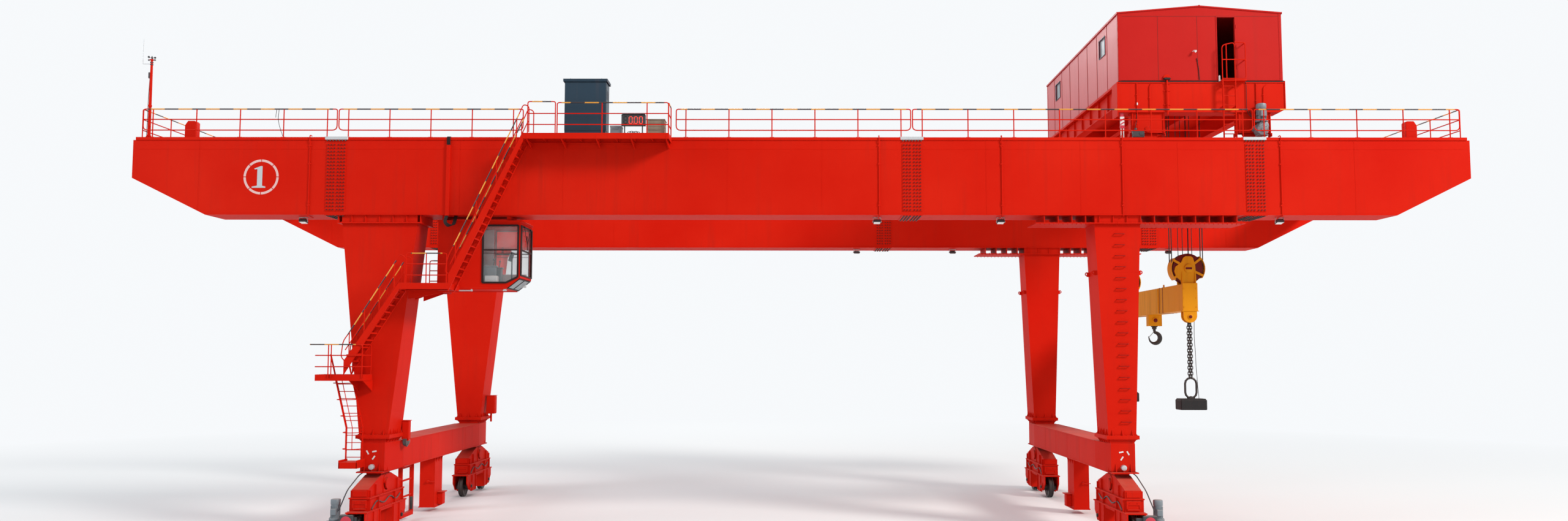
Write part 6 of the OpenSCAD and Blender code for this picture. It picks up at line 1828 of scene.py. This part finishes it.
def carriage_pipes():
    """Downpipe with its cowl and clamps, and the thin conduits down the front carriage."""
    wall = -HOUSE_Y
    y = wall - 0.012
    thin = [[(5.698, y, 7.500), (5.698, y, 6.545)],
            rounded([(5.940, y, 7.490), (5.914, y, 7.440), (5.914, y, 7.010)], 0.05),
            [(7.714, y, 7.500), (7.714, y, 7.010)],
            rounded([(7.900, y, 7.480), (7.840, y, 7.430), (7.837, y, 7.140)], 0.06),
            [(5.392, -2.44, 6.925), (6.010, -2.44, 6.925)],
            [(5.825, -2.44, 6.925), (5.825, -2.44, 7.005)],
            [(6.005, -2.44, 6.880), (6.005, -2.44, 7.005)]]
    y = wall - 0.014
    dark = [rounded([(7.530, y, 7.530), (7.546, y, 7.480), (7.546, y, 7.020), (7.600, -2.52, 6.90),
                     (7.720, -2.62, 6.93)], 0.08, 6)]
    y = wall - 0.006
    dark.append(rounded([(6.725, y, 7.930), (6.752, y, 7.780), (6.768, y, 7.545)], 0.2, 6))
    pipe_x, y = 6.209, wall - 0.024
    downpipe = [(pipe_x, y, 7.600), (pipe_x, y, 6.955)]
    pipes("carriage_downpipe", [downpipe], 0.0135, RED, body="trolley", sides=12)
    pipes("carriage_conduits", thin, 0.0070, RED, body="trolley")
    pipes("carriage_cables", dark, 0.0050, GASKET, body="trolley", sides=6)

    clamps = bmesh.new()
    plate(clamps, arc((pipe_x, wall, 7.588), 0.060, 0.0, math.pi, 13), (0, -0.022, 0), 0.002)
    for z in (7.490, 7.370, 7.130):
        block(clamps, (6.150, wall - 0.010, z - 0.008), (6.268, wall + 0.002, z + 0.008), 0.002)
        disc(clamps, (pipe_x, y, z - 0.010), (0, 0, 0.020), 0.0185, 14)
    for x, z in ((5.698, 7.30), (5.698, 6.80), (5.914, 7.25), (7.837, 7.30), (7.714, 7.20)):
        block(clamps, (x - 0.016, wall - 0.020, z - 0.008), (x + 0.016, wall + 0.001, z + 0.008), 0.002)
    piece_from(clamps, "carriage_clamps", RED, body="trolley")
    hopper = bmesh.new()
    block(hopper, (6.155, wall - 0.050, 7.552), (6.263, wall, 7.588), 0.006)
    piece_from(hopper, "downpipe_hopper", GASKET, body="trolley")


def carriage_lamps():
    """Pale boxes, a lamp on the house's front and the level marker on the front carriage."""
    pale, marks = bmesh.new(), bmesh.new()
    wall = -HOUSE_Y
    block(pale, (7.088, wall - 0.030, 7.530), (7.113, wall, 7.630), 0.005)
    block(pale, (5.690, wall - 0.028, 7.120), (5.708, wall - 0.010, 7.165), 0.003)
    rod(pale, (6.664, wall, 8.050), (6.678, wall - 0.030, 8.050), 0.007, 10)
    rod(pale, (6.674, wall - 0.028, 8.056), (6.694, wall - 0.062, 8.034), 0.010, 16, end_radius=0.022)
    block(pale, (5.412, -2.462, 6.780), (5.484, -2.452, 6.930), 0.002)
    for x in (5.418, 5.462):
        block(pale, (x, -2.462, 6.548), (x + 0.014, -2.452, 6.730), 0.001)
    piece_from(pale, "carriage_pale_parts", WHITE_PAINT, body="trolley")
    block(marks, (5.408, -2.466, 6.728), (5.488, -2.446, 6.782), 0.003)
    for z in (6.815, 6.875):
        bar(marks, (5.414, -2.463, z - 0.022), (5.482, -2.463, z + 0.022), 0.020, 0.002, (0, 1, 0))
    block(marks, (5.420, -2.450, 6.925), (5.476, -2.430, 7.005), 0.002)
    piece_from(marks, "carriage_marker", RED_LAMP, body="trolley")


def trolley_drives():
    """Geared motors at the right wheels, limit boxes at the left ones, with their cables."""
    bm, boxes = bmesh.new(), bmesh.new()
    cables = []
    for side in (-1, 1):
        x, y = 7.753, side * 2.565
        gear_x, gear_z = x - 0.010, 6.672
        upright_motor(bm, (x, y), 6.812, 7.127, 0.082, side)
        disc(bm, (gear_x, y - 0.080, gear_z), (0, 0.160, 0), 0.098, 32, 0.012)
        disc(bm, (x + 0.015, y - 0.066, 6.745), (0, 0.132, 0), 0.084, 28, 0.010)
        block(bm, (x - 0.088, y - 0.055, 6.577), (x + 0.088, y + 0.055, 6.60), 0.004)
        bolt_ring(bm, (gear_x, y + side * 0.080, gear_z), (0, side, 0), 0.082, 8, 0.007, 0.008)
        disc(bm, (gear_x, y + side * 0.075, gear_z), (0, side * 0.021, 0), 0.034, 20, 0.003)
        disc(bm, (TROLLEY_WHEELS_X[1], y, TROLLEY_WHEEL_Z), (0, side * -0.115, 0), 0.058, 24)
        box_x, edge = 5.608, side * 2.530
        near, far = sorted((edge, side * 2.447))
        middle = (near + far) / 2
        block(boxes, (box_x, near, 6.567), (box_x + 0.190, far, 6.672), 0.005)
        block(boxes, (box_x - 0.004, near - 0.003, 6.668), (box_x + 0.194, far + 0.003, 6.687), 0.003)
        block(boxes, (box_x + 0.105, edge - 0.006, 6.600), (box_x + 0.175, edge + 0.006, 6.650), 0.002)
        disc(boxes, (box_x + 0.055, middle, 6.685), (0, 0, 0.040), 0.022, 18, 0.005)
        outlet, rise = box_x + 0.055, box_x + 0.09
        cables.append(rounded([(outlet, middle, 6.72), (outlet, middle, 6.80), (rise, side * 2.46, 6.86),
                               (rise, side * 2.44, 7.005)], 0.05, 5))
        cables.append(rounded([(x - 0.03, y + side * 0.095, 6.93), (x - 0.06, y + side * 0.10, 6.78),
                               (x - 0.14, y + side * 0.02, 6.80), (x - 0.16, side * 2.485, 7.02)], 0.06, 5))
    drives = piece_from(bm, "trolley_geared_motors", GREY_PAINT, body="trolley")
    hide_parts("trolley_drives")
    piece_from(boxes, "trolley_limit_boxes", DARK_PAINT, body="trolley")
    pipes("trolley_drive_cables", cables, 0.006, GASKET, body="trolley", sides=6)


def trolley_ladder():
    """Ladder to the doorway: uprights, rungs, arched hand loops and the guard beside the door."""
    y, wall = -2.560, -HOUSE_Y
    left, right, guard = 7.123, 7.335, 7.517
    knee, foot = 7.885, 7.560
    tubes = [rounded([(left, y, 6.530), (left, y, 8.130), (right, y, 8.181), (right, y, 7.900)], 0.06, 6),
             [(right, y, 6.530), (right, y, 8.150)],
             [(left + 0.072, y, foot), (left + 0.072, y, 8.150)],
             [(left, y, knee), (right, y, knee)],
             [(left, y, foot), (right, y, foot)],
             rounded([(right, y, 8.181), (guard, y, 8.175), (guard, y, 7.550), (right, y, foot)], 0.05, 5),
             [(right, y, knee), (guard, y, knee)]]
    tubes += [[(guard, y, z), (guard, wall, z)] for z in (8.170, knee, 7.575)]
    pipes("trolley_ladder_tubes", tubes, 0.0088, RED, body="trolley")
    bm = bmesh.new()
    for x in (left, right):
        bar(bm, (x, y, 6.517), (x, y, foot), 0.034, 0.014, (1, 0, 0))
        for z in (7.440, 7.080):
            block(bm, (x - 0.007, y, z - 0.014), (x + 0.007, wall, z + 0.014), 0.001)
    for step in range(6):
        z = 7.430 - step * 0.163
        rod(bm, (left, y, z), (right, y, z), 0.0075, 10)
    block(bm, (left - 0.009, y - 0.018, 7.520), (guard + 0.009, wall, 7.540), 0.002)
    ladder = piece_from(bm, "trolley_ladder_steps", RED, body="trolley")
    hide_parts("trolley_ladder")


# Trolley house


def house_panels():
    """Joints between the wall sheets, corner trims, drip edges, rivets and the door frame, and a dark strip
    at the walls' foot that is painted shadow.
    """
    joints, painted_shadow_strips, trims = bmesh.new(), bmesh.new(), bmesh.new()
    front, x0, x1 = -HOUSE_Y, *HOUSE_X
    for x in (6.075, 6.745):
        block(joints, (x - 0.003, front - 0.001, HOUSE_Z), (x + 0.003, front + 0.001, 8.655))
    block(joints, (x0 + 0.08, front - 0.001, 8.655), (x1 - 0.02, front + 0.001, 8.661))
    for x in (6.094, 6.788, 7.482):
        block(joints, (x - 0.003, HOUSE_Y - 0.001, HOUSE_Z), (x + 0.003, HOUSE_Y + 0.001, 8.70))
    for wall, out in ((x0, -1), (x1, 1)):
        for step in range(1, 8):
            y = -HOUSE_Y + step * 0.6175
            block(joints, (wall - 0.0012, y - 0.003, HOUSE_Z), (wall + 0.0012, y + 0.003, EAVES_Z))
            block(trims, (wall, y + 0.006, HOUSE_Z), (wall + out * 0.004, y + 0.022, EAVES_Z), 0.001)
        for side in (-1, 1):
            edge, top = side * HOUSE_Y, EAVES_Z - 0.002
            block(trims, (wall, edge, HOUSE_Z), (wall + out * 0.004, edge - side * 0.045, top), 0.001)
            block(trims, (wall, edge, HOUSE_Z), (wall - out * 0.045, edge + side * 0.004, top), 0.001)
            for step in range(12):
                disc(trims, (wall - out * 0.022, edge + side * 0.003, HOUSE_Z + 0.05 + step * 0.098),
                     (0, side * 0.004, 0), 0.005, 8)
    for side in (-1, 1):
        # A dark strip along the foot of the front and rear walls: painted shadow under the wall's edge.
        block(painted_shadow_strips, (x0, side * (HOUSE_Y - 0.004), HOUSE_Z - 0.018),
              (x1 + 0.02, side * (HOUSE_Y + 0.003), HOUSE_Z + 0.006))
        block(trims, (x0, side * (HOUSE_Y - 0.010), HOUSE_Z + 0.006),
              (x1, side * (HOUSE_Y + 0.014), HOUSE_Z + 0.014), 0.001)
    door0, door1, low, top = 7.083, 7.383, 7.562, 8.637
    for left, right, foot in ((door0 - 0.018, door0, low), (door1, door1 + 0.018, low), (door0, door1, top)):
        block(trims, (left, front - 0.007, foot), (right, front + 0.030, top + 0.018), 0.002)
    for z in (7.75, 8.10, 8.45):
        disc(trims, (door1 + 0.022, front - 0.008, z), (0, 0, 0.06), 0.008, 10)
    piece_from(joints, "house_joints", BOLT_RED, body="trolley")
    piece_from(painted_shadow_strips, "house_foot_painted_shadow", GASKET, body="trolley")
    piece_from(trims, "house_trims", RED_HOUSE, body="trolley")


def house_roof():
    """Standing seams, a ridge roll and turned-down eaves on the roof."""
    bm = bmesh.new()
    ridge, eave, top = 6.788, 8.726, 8.843
    for end, way in ((5.388, -1), (8.188, 1)):
        block(bm, (end - 0.004, -2.486, 8.694), (end + 0.004, 2.486, 8.728), 0.001)
        for step in range(1, 8):
            y = -HOUSE_Y + step * 0.6175
            bar(bm, (end, y, eave), (ridge, y, top), 0.014, 0.012, (way * (top - eave), 0, 1.4))
    rod(bm, (ridge, -2.484, top - 0.002), (ridge, 2.484, top - 0.002), 0.012, 10)
    piece_from(bm, "house_roof_seams", RED_HOUSE, body="trolley")


def house_openings():
    """Window frames on the side walls, and louvres on the rear wall."""
    frames = bmesh.new()
    low, high = 8.202, 8.543
    for wall, out in ((HOUSE_X[0], -1), (HOUSE_X[1], 1)):
        for y in (-1.56, 1.56):
            for dy0, z0, dy1, z1 in ((-0.184, low, -0.170, high), (0.170, low, 0.184, high),
                                     (-0.170, low, 0.170, low + 0.014), (-0.170, high - 0.014, 0.170, high)):
                block(frames, (wall - out * 0.006, y + dy0, z0), (wall + out * 0.010, y + dy1, z1), 0.002)
    piece_from(frames, "house_window_frames", BLUE_GREY, body="trolley", slot="seat_trim")
    louvres = bmesh.new()
    for x in (5.75, 7.80):
        block(louvres, (x - 0.19, HOUSE_Y - 0.002, 7.98), (x + 0.19, HOUSE_Y + 0.008, 8.40), 0.003)
        for step in range(9):
            z = 8.015 + step * 0.043
            block(louvres, (x - 0.165, HOUSE_Y + 0.004, z), (x + 0.165, HOUSE_Y + 0.018, z + 0.020), 0.001,
                  leaning(-28, "X"))
    piece_from(louvres, "house_louvres", RED_HOUSE, body="trolley")


def machinery():
    """Rope turns and flanges on the drum, motor fins, brake disc and gear case ribs."""
    x, z, radius = HOIST_X, ROPE_TOP_Z, 0.262
    turns = bmesh.new()
    for side in (-1, 1):
        for step in range(26):
            place = Matrix.Translation((x + radius + 0.005, side * (1.36 + step * 0.0175), z))
            bmesh.ops.create_circle(turns, cap_ends=False, segments=6, radius=0.008, matrix=place)
    bmesh.ops.spin(turns, geom=list(turns.edges), cent=(x, 0.0, z), axis=(0, 1, 0), angle=math.tau, steps=28,
                   use_merge=True)
    bmesh.ops.recalc_face_normals(turns, faces=list(turns.faces))
    piece_from(turns, "drum_rope_turns", ROPE, body="trolley")

    bm = bmesh.new()
    for y in (-1.90, -1.30, 1.30, 1.90):
        disc(bm, (x, y - 0.009, z), (0, 0.018, 0), radius + 0.035, 44, 0.003)
    for side in (-1, 1):
        face = side * 1.945
        disc(bm, (x, face, z), (0, side * 0.014, 0), 0.085, 28, 0.004)
        bolt_ring(bm, (x, face + side * 0.014, z), (0, side, 0), 0.065, 6, 0.009, 0.008)
        for dx in (-0.10, 0.10):
            bolt(bm, (x + dx, side * 1.915, z + 0.120), (0, 0, 1), 0.010, 0.012)
    for step in range(-2, 3):
        y = step * 0.10
        block(bm, (7.102, y - 0.006, 7.56), (7.558, y + 0.006, 7.968), 0.003)
    block(bm, (7.096, -0.268, 7.735), (7.564, 0.268, 7.765), 0.004)
    motor = Vector((7.330, 0.0, 7.790))
    for turn in range(28):
        spoke = Matrix.Rotation(-math.tau * turn / 28, 4, "Y")
        centre = motor + spoke @ Vector((0.134, 0.0, 0.0))
        block(bm, centre + Vector((-0.010, 0.36, -0.002)), centre + Vector((0.010, 0.72, 0.002)), turn=spoke)
    disc(bm, motor + Vector((0, 0.755, 0)), (0, 0.117, 0), 0.140, 32, 0.025)
    disc(bm, motor + Vector((0, 0.275, 0)), (0, 0.025, 0), 0.165, 32, 0.003)
    block(bm, (7.24, 0.44, 7.915), (7.42, 0.60, 7.975), 0.008)
    piece_from(bm, "machinery_details", GREY_PAINT, body="trolley")


def trolley_floor():
    """Floor sheet with the rope slots, on cross beams set back under the house walls."""
    bm = bmesh.new()
    (x0, x1), half = HOUSE_X, CARRIAGE_INNER
    top, under = HOUSE_Z, HOUSE_Z - 0.040
    slot_x, slot_y = (6.40, 7.10), (1.555, 1.845)
    block(bm, (x0, -slot_y[0], under), (x1, slot_y[0], top))
    for side in (-1, 1):
        near, far = side * slot_y[0], side * slot_y[1]
        block(bm, (x0, far, under), (x1, side * half, top))
        block(bm, (x0, near, under), (slot_x[0], far, top))
        block(bm, (slot_x[1], near, under), (x1, far, top))
        for y in (near - side * 0.05, far + side * 0.05):
            block(bm, (5.60, y - 0.04, 7.30), (7.98, y + 0.04, under), 0.004)
    for near, far, base in ((5.470, 5.610, 7.190), (7.966, 8.106, 7.190), (6.300, 6.380, 7.300),
                            (7.120, 7.200, 7.300)):
        block(bm, (near, -half, base), (far, half, under), 0.006)
        block(bm, (near - 0.020, -half, base - 0.012), (far + 0.020, half, base + 0.004), 0.002)
    for y in even(-half, half, half / 4)[1:-1]:
        for near in (5.440, 8.106):
            block(bm, (near, y - 0.005, 7.200), (near + 0.030, y + 0.005, under), 0.001)
    floor = piece_from(bm, "trolley_floor_frame", RED, body="trolley")
    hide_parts("trolley_floor")


carriages()
trolley_floor()
carriage_pipes()
carriage_lamps()
trolley_drives()
trolley_ladder()
house_panels()
house_roof()
house_openings()
machinery()


# Ropes and lifting gear

BEAM_Z = (3.675, 4.140)
BEAM_END_Y = 1.840
BLOCK_Y = 1.700
SHEAVE_Z = 4.412
ROPE_DX = 0.2703
CHAIN_Y = 1.780
PIN_Z = 3.570


def hoist_ropes():
    """Thick and thin rope falls from the sheaves to the drum, taut between the trolley and the beam."""
    bm = bmesh.new()
    for side in (-1, 1):
        y = side * BLOCK_Y
        for x in (HOIST_X - ROPE_DX, HOIST_X + ROPE_DX):
            for dy in (-0.055, 0.055):
                rod(bm, (x, y + dy, SHEAVE_Z), (x, y + dy, ROPE_TOP_Z), 0.0085, 12)
        for dx, dy in ((-0.130, 0.02), (-0.065, -0.02), (0.105, 0.0)):
            at = (HOIST_X + dx, y + dy)
            rod(bm, (*at, SHEAVE_Z + 0.20), (*at, 7.720), 0.0060, 10)
    ropes = piece_from(bm, "rope_falls", ROPE_LAY, body=None)
    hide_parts("hoist_ropes")
    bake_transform(ropes)
    lead = bmesh.new()
    rod(lead, (6.829, -1.600, 4.150), (6.829, -1.600, 7.620), 0.0095, 10)
    cable = piece_from(lead, "gear_cable", GASKET, body=None)
    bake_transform(cable)


def sheave_blocks():
    """Cheeks with hubs, stiffeners and keepers, and grooved sheaves on their pins."""
    yellow, dark, wheels = bmesh.new(), bmesh.new(), bmesh.new()
    x, z = HOIST_X, SHEAVE_Z
    cheek = [(-0.125, BEAM_Z[1]), (0.125, BEAM_Z[1]), (0.132, 4.26), (0.120, 4.47), (0.085, 4.600),
             (0.045, 4.625), (-0.045, 4.625), (-0.085, 4.600), (-0.120, 4.52), (-0.225, 4.44),
             (-0.245, 4.36), (-0.215, 4.27), (-0.135, 4.20)]
    for side in (-1, 1):
        y = side * BLOCK_Y
        for face in (-1, 1):
            wall = y + face * 0.095
            fin(yellow, "Y", wall - 0.009, 0.018, [(x + dx, up) for dx, up in cheek], 0.002)
            out = wall + face * 0.009
            disc(yellow, (x, out, z), (0, face * 0.022, 0), 0.075, 28, 0.005)
            near, far = sorted((out, out + face * 0.030))
            for dx in (-0.120, 0.104):
                outline = [(near, BEAM_Z[1]), (far, BEAM_Z[1]), (out + face * 0.006, 4.36)]
                fin(yellow, "X", x + dx, 0.016, outline)
            block(dark, (x - 0.055, out + face * 0.020, z - 0.018),
                  (x + 0.055, out + face * 0.028, z + 0.018), 0.003)
            for dx in (-0.038, 0.038):
                bolt(dark, (x + dx, out + face * 0.028, z), (0, face, 0), 0.009, 0.008)
        disc(yellow, (x, y - 0.086, z), (0, 0.172, 0), 0.044, 24)
        for middle in (y - 0.055, y + 0.055):
            for rim in (middle - 0.018, middle + 0.018):
                disc(wheels, (x, rim - 0.004, z), (0, 0.008, 0), 0.262, 44, 0.002)
            disc(wheels, (x, middle - 0.016, z), (0, 0.032, 0), 0.252, 44)
    cheeks = piece_from(yellow, "sheave_cheeks", YELLOW, body="lifting_gear")
    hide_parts("sheave_blocks")
    piece_from(dark, "sheave_keepers", BOLT_RED, body="lifting_gear")
    piece_from(wheels, "sheaves", BOLT_RED, body="lifting_gear")


def rope_guards():
    """Curved yellow guards that hug the sheaves on both sides of each block, each on four arms."""
    bm = bmesh.new()
    for side in (-1, 1):
        y = side * BLOCK_Y
        for start in (-34, 142):
            centre, turn = (HOIST_X, y - 0.098, SHEAVE_Z), (math.radians(start), math.radians(80))
            inner, outer = (arc(centre, radius, *turn, 11) for radius in (0.286, 0.296))
            plate(bm, inner + outer[::-1], (0, 0.196, 0))
            for degrees in (start + 8, start + 72):
                spoke = leaning(-degrees, "Y") @ Vector((1.0, 0.0, 0.0))
                for wall in (y - 0.094, y + 0.094):
                    middle = Vector((HOIST_X, wall, SHEAVE_Z))
                    bar(bm, middle + spoke * 0.09, middle + spoke * 0.29, 0.040, 0.010, (0, 1, 0))
    piece_from(bm, "rope_guards", YELLOW, body="lifting_gear")


def end_lugs(bm, dark, x, y, low_z):
    """The two rounded lugs under one end of the beam, with the bosses and the pin of the chain."""
    for face in (-1, 1):
        near, far = sorted((y + face * 0.036, y + face * 0.062))
        round_end = arc((x, near, 3.587), 0.118, 0.0, -math.pi, 17)
        plate(bm, [(x + 0.118, near, low_z), *round_end, (x - 0.118, near, low_z)], (0, far - near, 0), 0.002)
        side_y = y + face * 0.062
        disc(bm, (x, side_y, PIN_Z), (0, face * 0.008, 0), 0.046, 24, 0.002)
        disc(dark, (x, side_y, PIN_Z), (0, face * 0.018, 0), 0.028, 20, 0.003)
    disc(dark, (x, y - 0.036, PIN_Z), (0, 0.072, 0), 0.026, 20)


def lifting_beam():
    """Box beam with end plates, ribs, straps, rounded end lugs and the middle hanger."""
    bm, dark = bmesh.new(), bmesh.new()
    x = HOIST_X
    low_z, high_z = BEAM_Z
    block(bm, (x - 0.125, -BEAM_END_Y, low_z), (x + 0.125, BEAM_END_Y, high_z), 0.004)
    for side in (-1, 1):
        near, far = side * (BEAM_END_Y - 0.004), side * (BEAM_END_Y + 0.014)
        block(bm, (x - 0.131, near, low_z - 0.004), (x + 0.131, far, high_z + 0.016), 0.004)
        block(bm, (x - 0.150, near, low_z - 0.012), (x + 0.150, far, low_z + 0.002), 0.003)
        for z in (3.74, 3.90, 4.06):
            for dx in (-0.105, 0.105):
                bolt(bm, (x + dx, far, z), (0, side, 0), 0.010, 0.009)
        rib = side * 0.613
        block(bm, (x - 0.137, rib - 0.012, low_z + 0.002), (x + 0.137, rib + 0.012, high_z - 0.002), 0.002)
        for y in (side * 0.68, side * 0.85):
            for z in (low_z - 0.003, high_z - 0.002):
                block(dark, (x - 0.129, y - 0.011, z), (x + 0.129, y + 0.011, z + 0.005), 0.001)
            for at in (x - 0.129, x + 0.124):
                block(dark, (at, y - 0.011, low_z - 0.003), (at + 0.005, y + 0.011, high_z + 0.003), 0.001)
        eye = side * 0.80
        fin(bm, "X", x - 0.09, 0.014, [(eye - 0.03, high_z), (eye + 0.03, high_z),
                                       (eye + 0.018, high_z + 0.055), (eye - 0.018, high_z + 0.055)], 0.002)
        end_lugs(bm, dark, x, side * CHAIN_Y, low_z + 0.002)
    for face in (-1, 1):
        outer, edge = face * 0.066, x + face * 0.115
        block(bm, (x - 0.115, face * 0.036, 3.465), (x + 0.115, outer, low_z + 0.002), 0.003)
        disc(bm, (x, outer, PIN_Z), (0, face * 0.014, 0), 0.058, 28, 0.003)
        disc(dark, (x, outer + face * 0.012, PIN_Z), (0, face * 0.012, 0), 0.038, 22, 0.003)
        block(bm, (edge - face * 0.004, -0.066, 3.462), (edge + face * 0.012, 0.066, low_z + 0.002), 0.003)
    beam = piece_from(bm, "beam_body", YELLOW, body="lifting_gear")
    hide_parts("lifting_beam")
    piece_from(dark, "beam_straps", BOLT_RED, body="lifting_gear")


def load_hook():
    """Forged hook with a tapering bar, its shank block, latch and nut."""
    x = HOIST_X
    bend = arc((x, 0.0, 3.240), 0.103, math.radians(84), math.radians(-262), 23)
    path = [(x, 0.0, 3.45), (x, 0.0, 3.385), *bend, (x - 0.112, 0.0, 3.270)]
    widths = [0.026, 0.026]
    for step in range(23):
        part = step / 22
        belly = 0.016 * math.sin(math.pi * min(1.0, part * 1.25))
        widths.append(0.027 + belly - 0.016 * max(0.0, part - 0.55) / 0.45)
    widths.append(0.006)
    hook = pipes("hook_bar", [path], 1.0, DARK_STEEL, body="lifting_gear", sides=16, widths=widths)
    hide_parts("load_hook")
    bm = bmesh.new()
    block(bm, (x - 0.060, -0.029, 3.445), (x + 0.060, 0.029, 3.628), 0.010)
    disc(bm, (x, 0.0, 3.405), (0, 0, 0.045), 0.042, 24, 0.004)
    disc(bm, (x, -0.070, PIN_Z), (0, 0.140, 0), 0.026, 20, 0.003)
    bar(bm, (x - 0.012, 0.0, 3.352), (x - 0.098, 0.0, 3.262), 0.026, 0.006, (-0.72, 0.0, 0.69), 0.002)
    disc(bm, (x - 0.014, -0.022, 3.350), (0, 0.044, 0), 0.007, 12)
    piece_from(bm, "hook_shank", DARK_STEEL, body="lifting_gear")


def oval(centre, height, width, across):
    """Points of an oval link standing upright, its width along the across direction."""
    centre, across, up = Vector(centre), Vector(across), Vector((0.0, 0.0, 1.0))
    straight = (height - width) / 2
    points = []
    for end in (1, -1):
        for step in range(7):
            angle = math.pi * step / 6
            round_end = (across * math.cos(angle) + up * math.sin(angle)) * width / 2
            points.append(centre + (round_end + up * straight) * end)
    return points


def chains():
    """Chains of linked ovals, a long master link on each and a flat weight with its eye."""
    links, masters, wires = [], [], []
    weights, shackles = bmesh.new(), bmesh.new()
    x = HOIST_X
    for side in (-1, 1):
        y = side * CHAIN_Y
        for number in range(19):
            z = 3.436 - number * 0.0495
            for strand in (-0.019, 0.019):
                links.append(oval((x + strand, y, z), 0.070, 0.046, (1, 0, 0) if number % 2 else (0, 1, 0)))
        masters.append(oval((x, y, 2.345), 0.345, 0.195, (1, 0, 0)))
        block(shackles, (x - 0.020, y - 0.030, 3.440), (x + 0.020, y + 0.030, 3.500), 0.006)
        for dx in (-0.030, 0.030):
            block(shackles, (x + dx - 0.008, y - 0.022, 2.170), (x + dx + 0.008, y + 0.022, 2.200), 0.003)
        disc(shackles, (x, y - 0.030, 2.176), (0, 0.060, 0), 0.030, 20, 0.003)
        for half_x, half_y, low, high, soften in (
                (0.225, 0.140, 1.972, 2.150, 0.012), (0.210, 0.125, 2.145, 2.165, 0.006),
                (0.006, 0.1402, 1.980, 2.145, 0.001), (0.055, 0.050, 2.150, 2.177, 0.005)):
            block(weights, (x - half_x, y - half_y, low), (x + half_x, y + half_y, high), soften)
        wires.append(rounded([(x + 0.095, y - side * 0.02, 3.52), (x + 0.080, y, 3.30), (x + 0.105, y, 2.60),
                              (x + 0.135, y, 2.17)], 0.3, 6))
    chain = pipes("chain_links", links, 0.0080, DARK_STEEL, body="lifting_gear", closed=True)
    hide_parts("end_chains")
    pipes("master_links", masters, 0.0180, DARK_STEEL, body="lifting_gear", sides=10, closed=True)
    pipes("chain_wires", wires, 0.0045, GASKET, body="lifting_gear", sides=6)
    piece_from(shackles, "chain_shackles", DARK_STEEL, body="lifting_gear")
    piece_from(weights, "chain_weights", CAST_IRON, body="lifting_gear")


hoist_ropes()
sheave_blocks()
rope_guards()
lifting_beam()
load_hook()
chains()
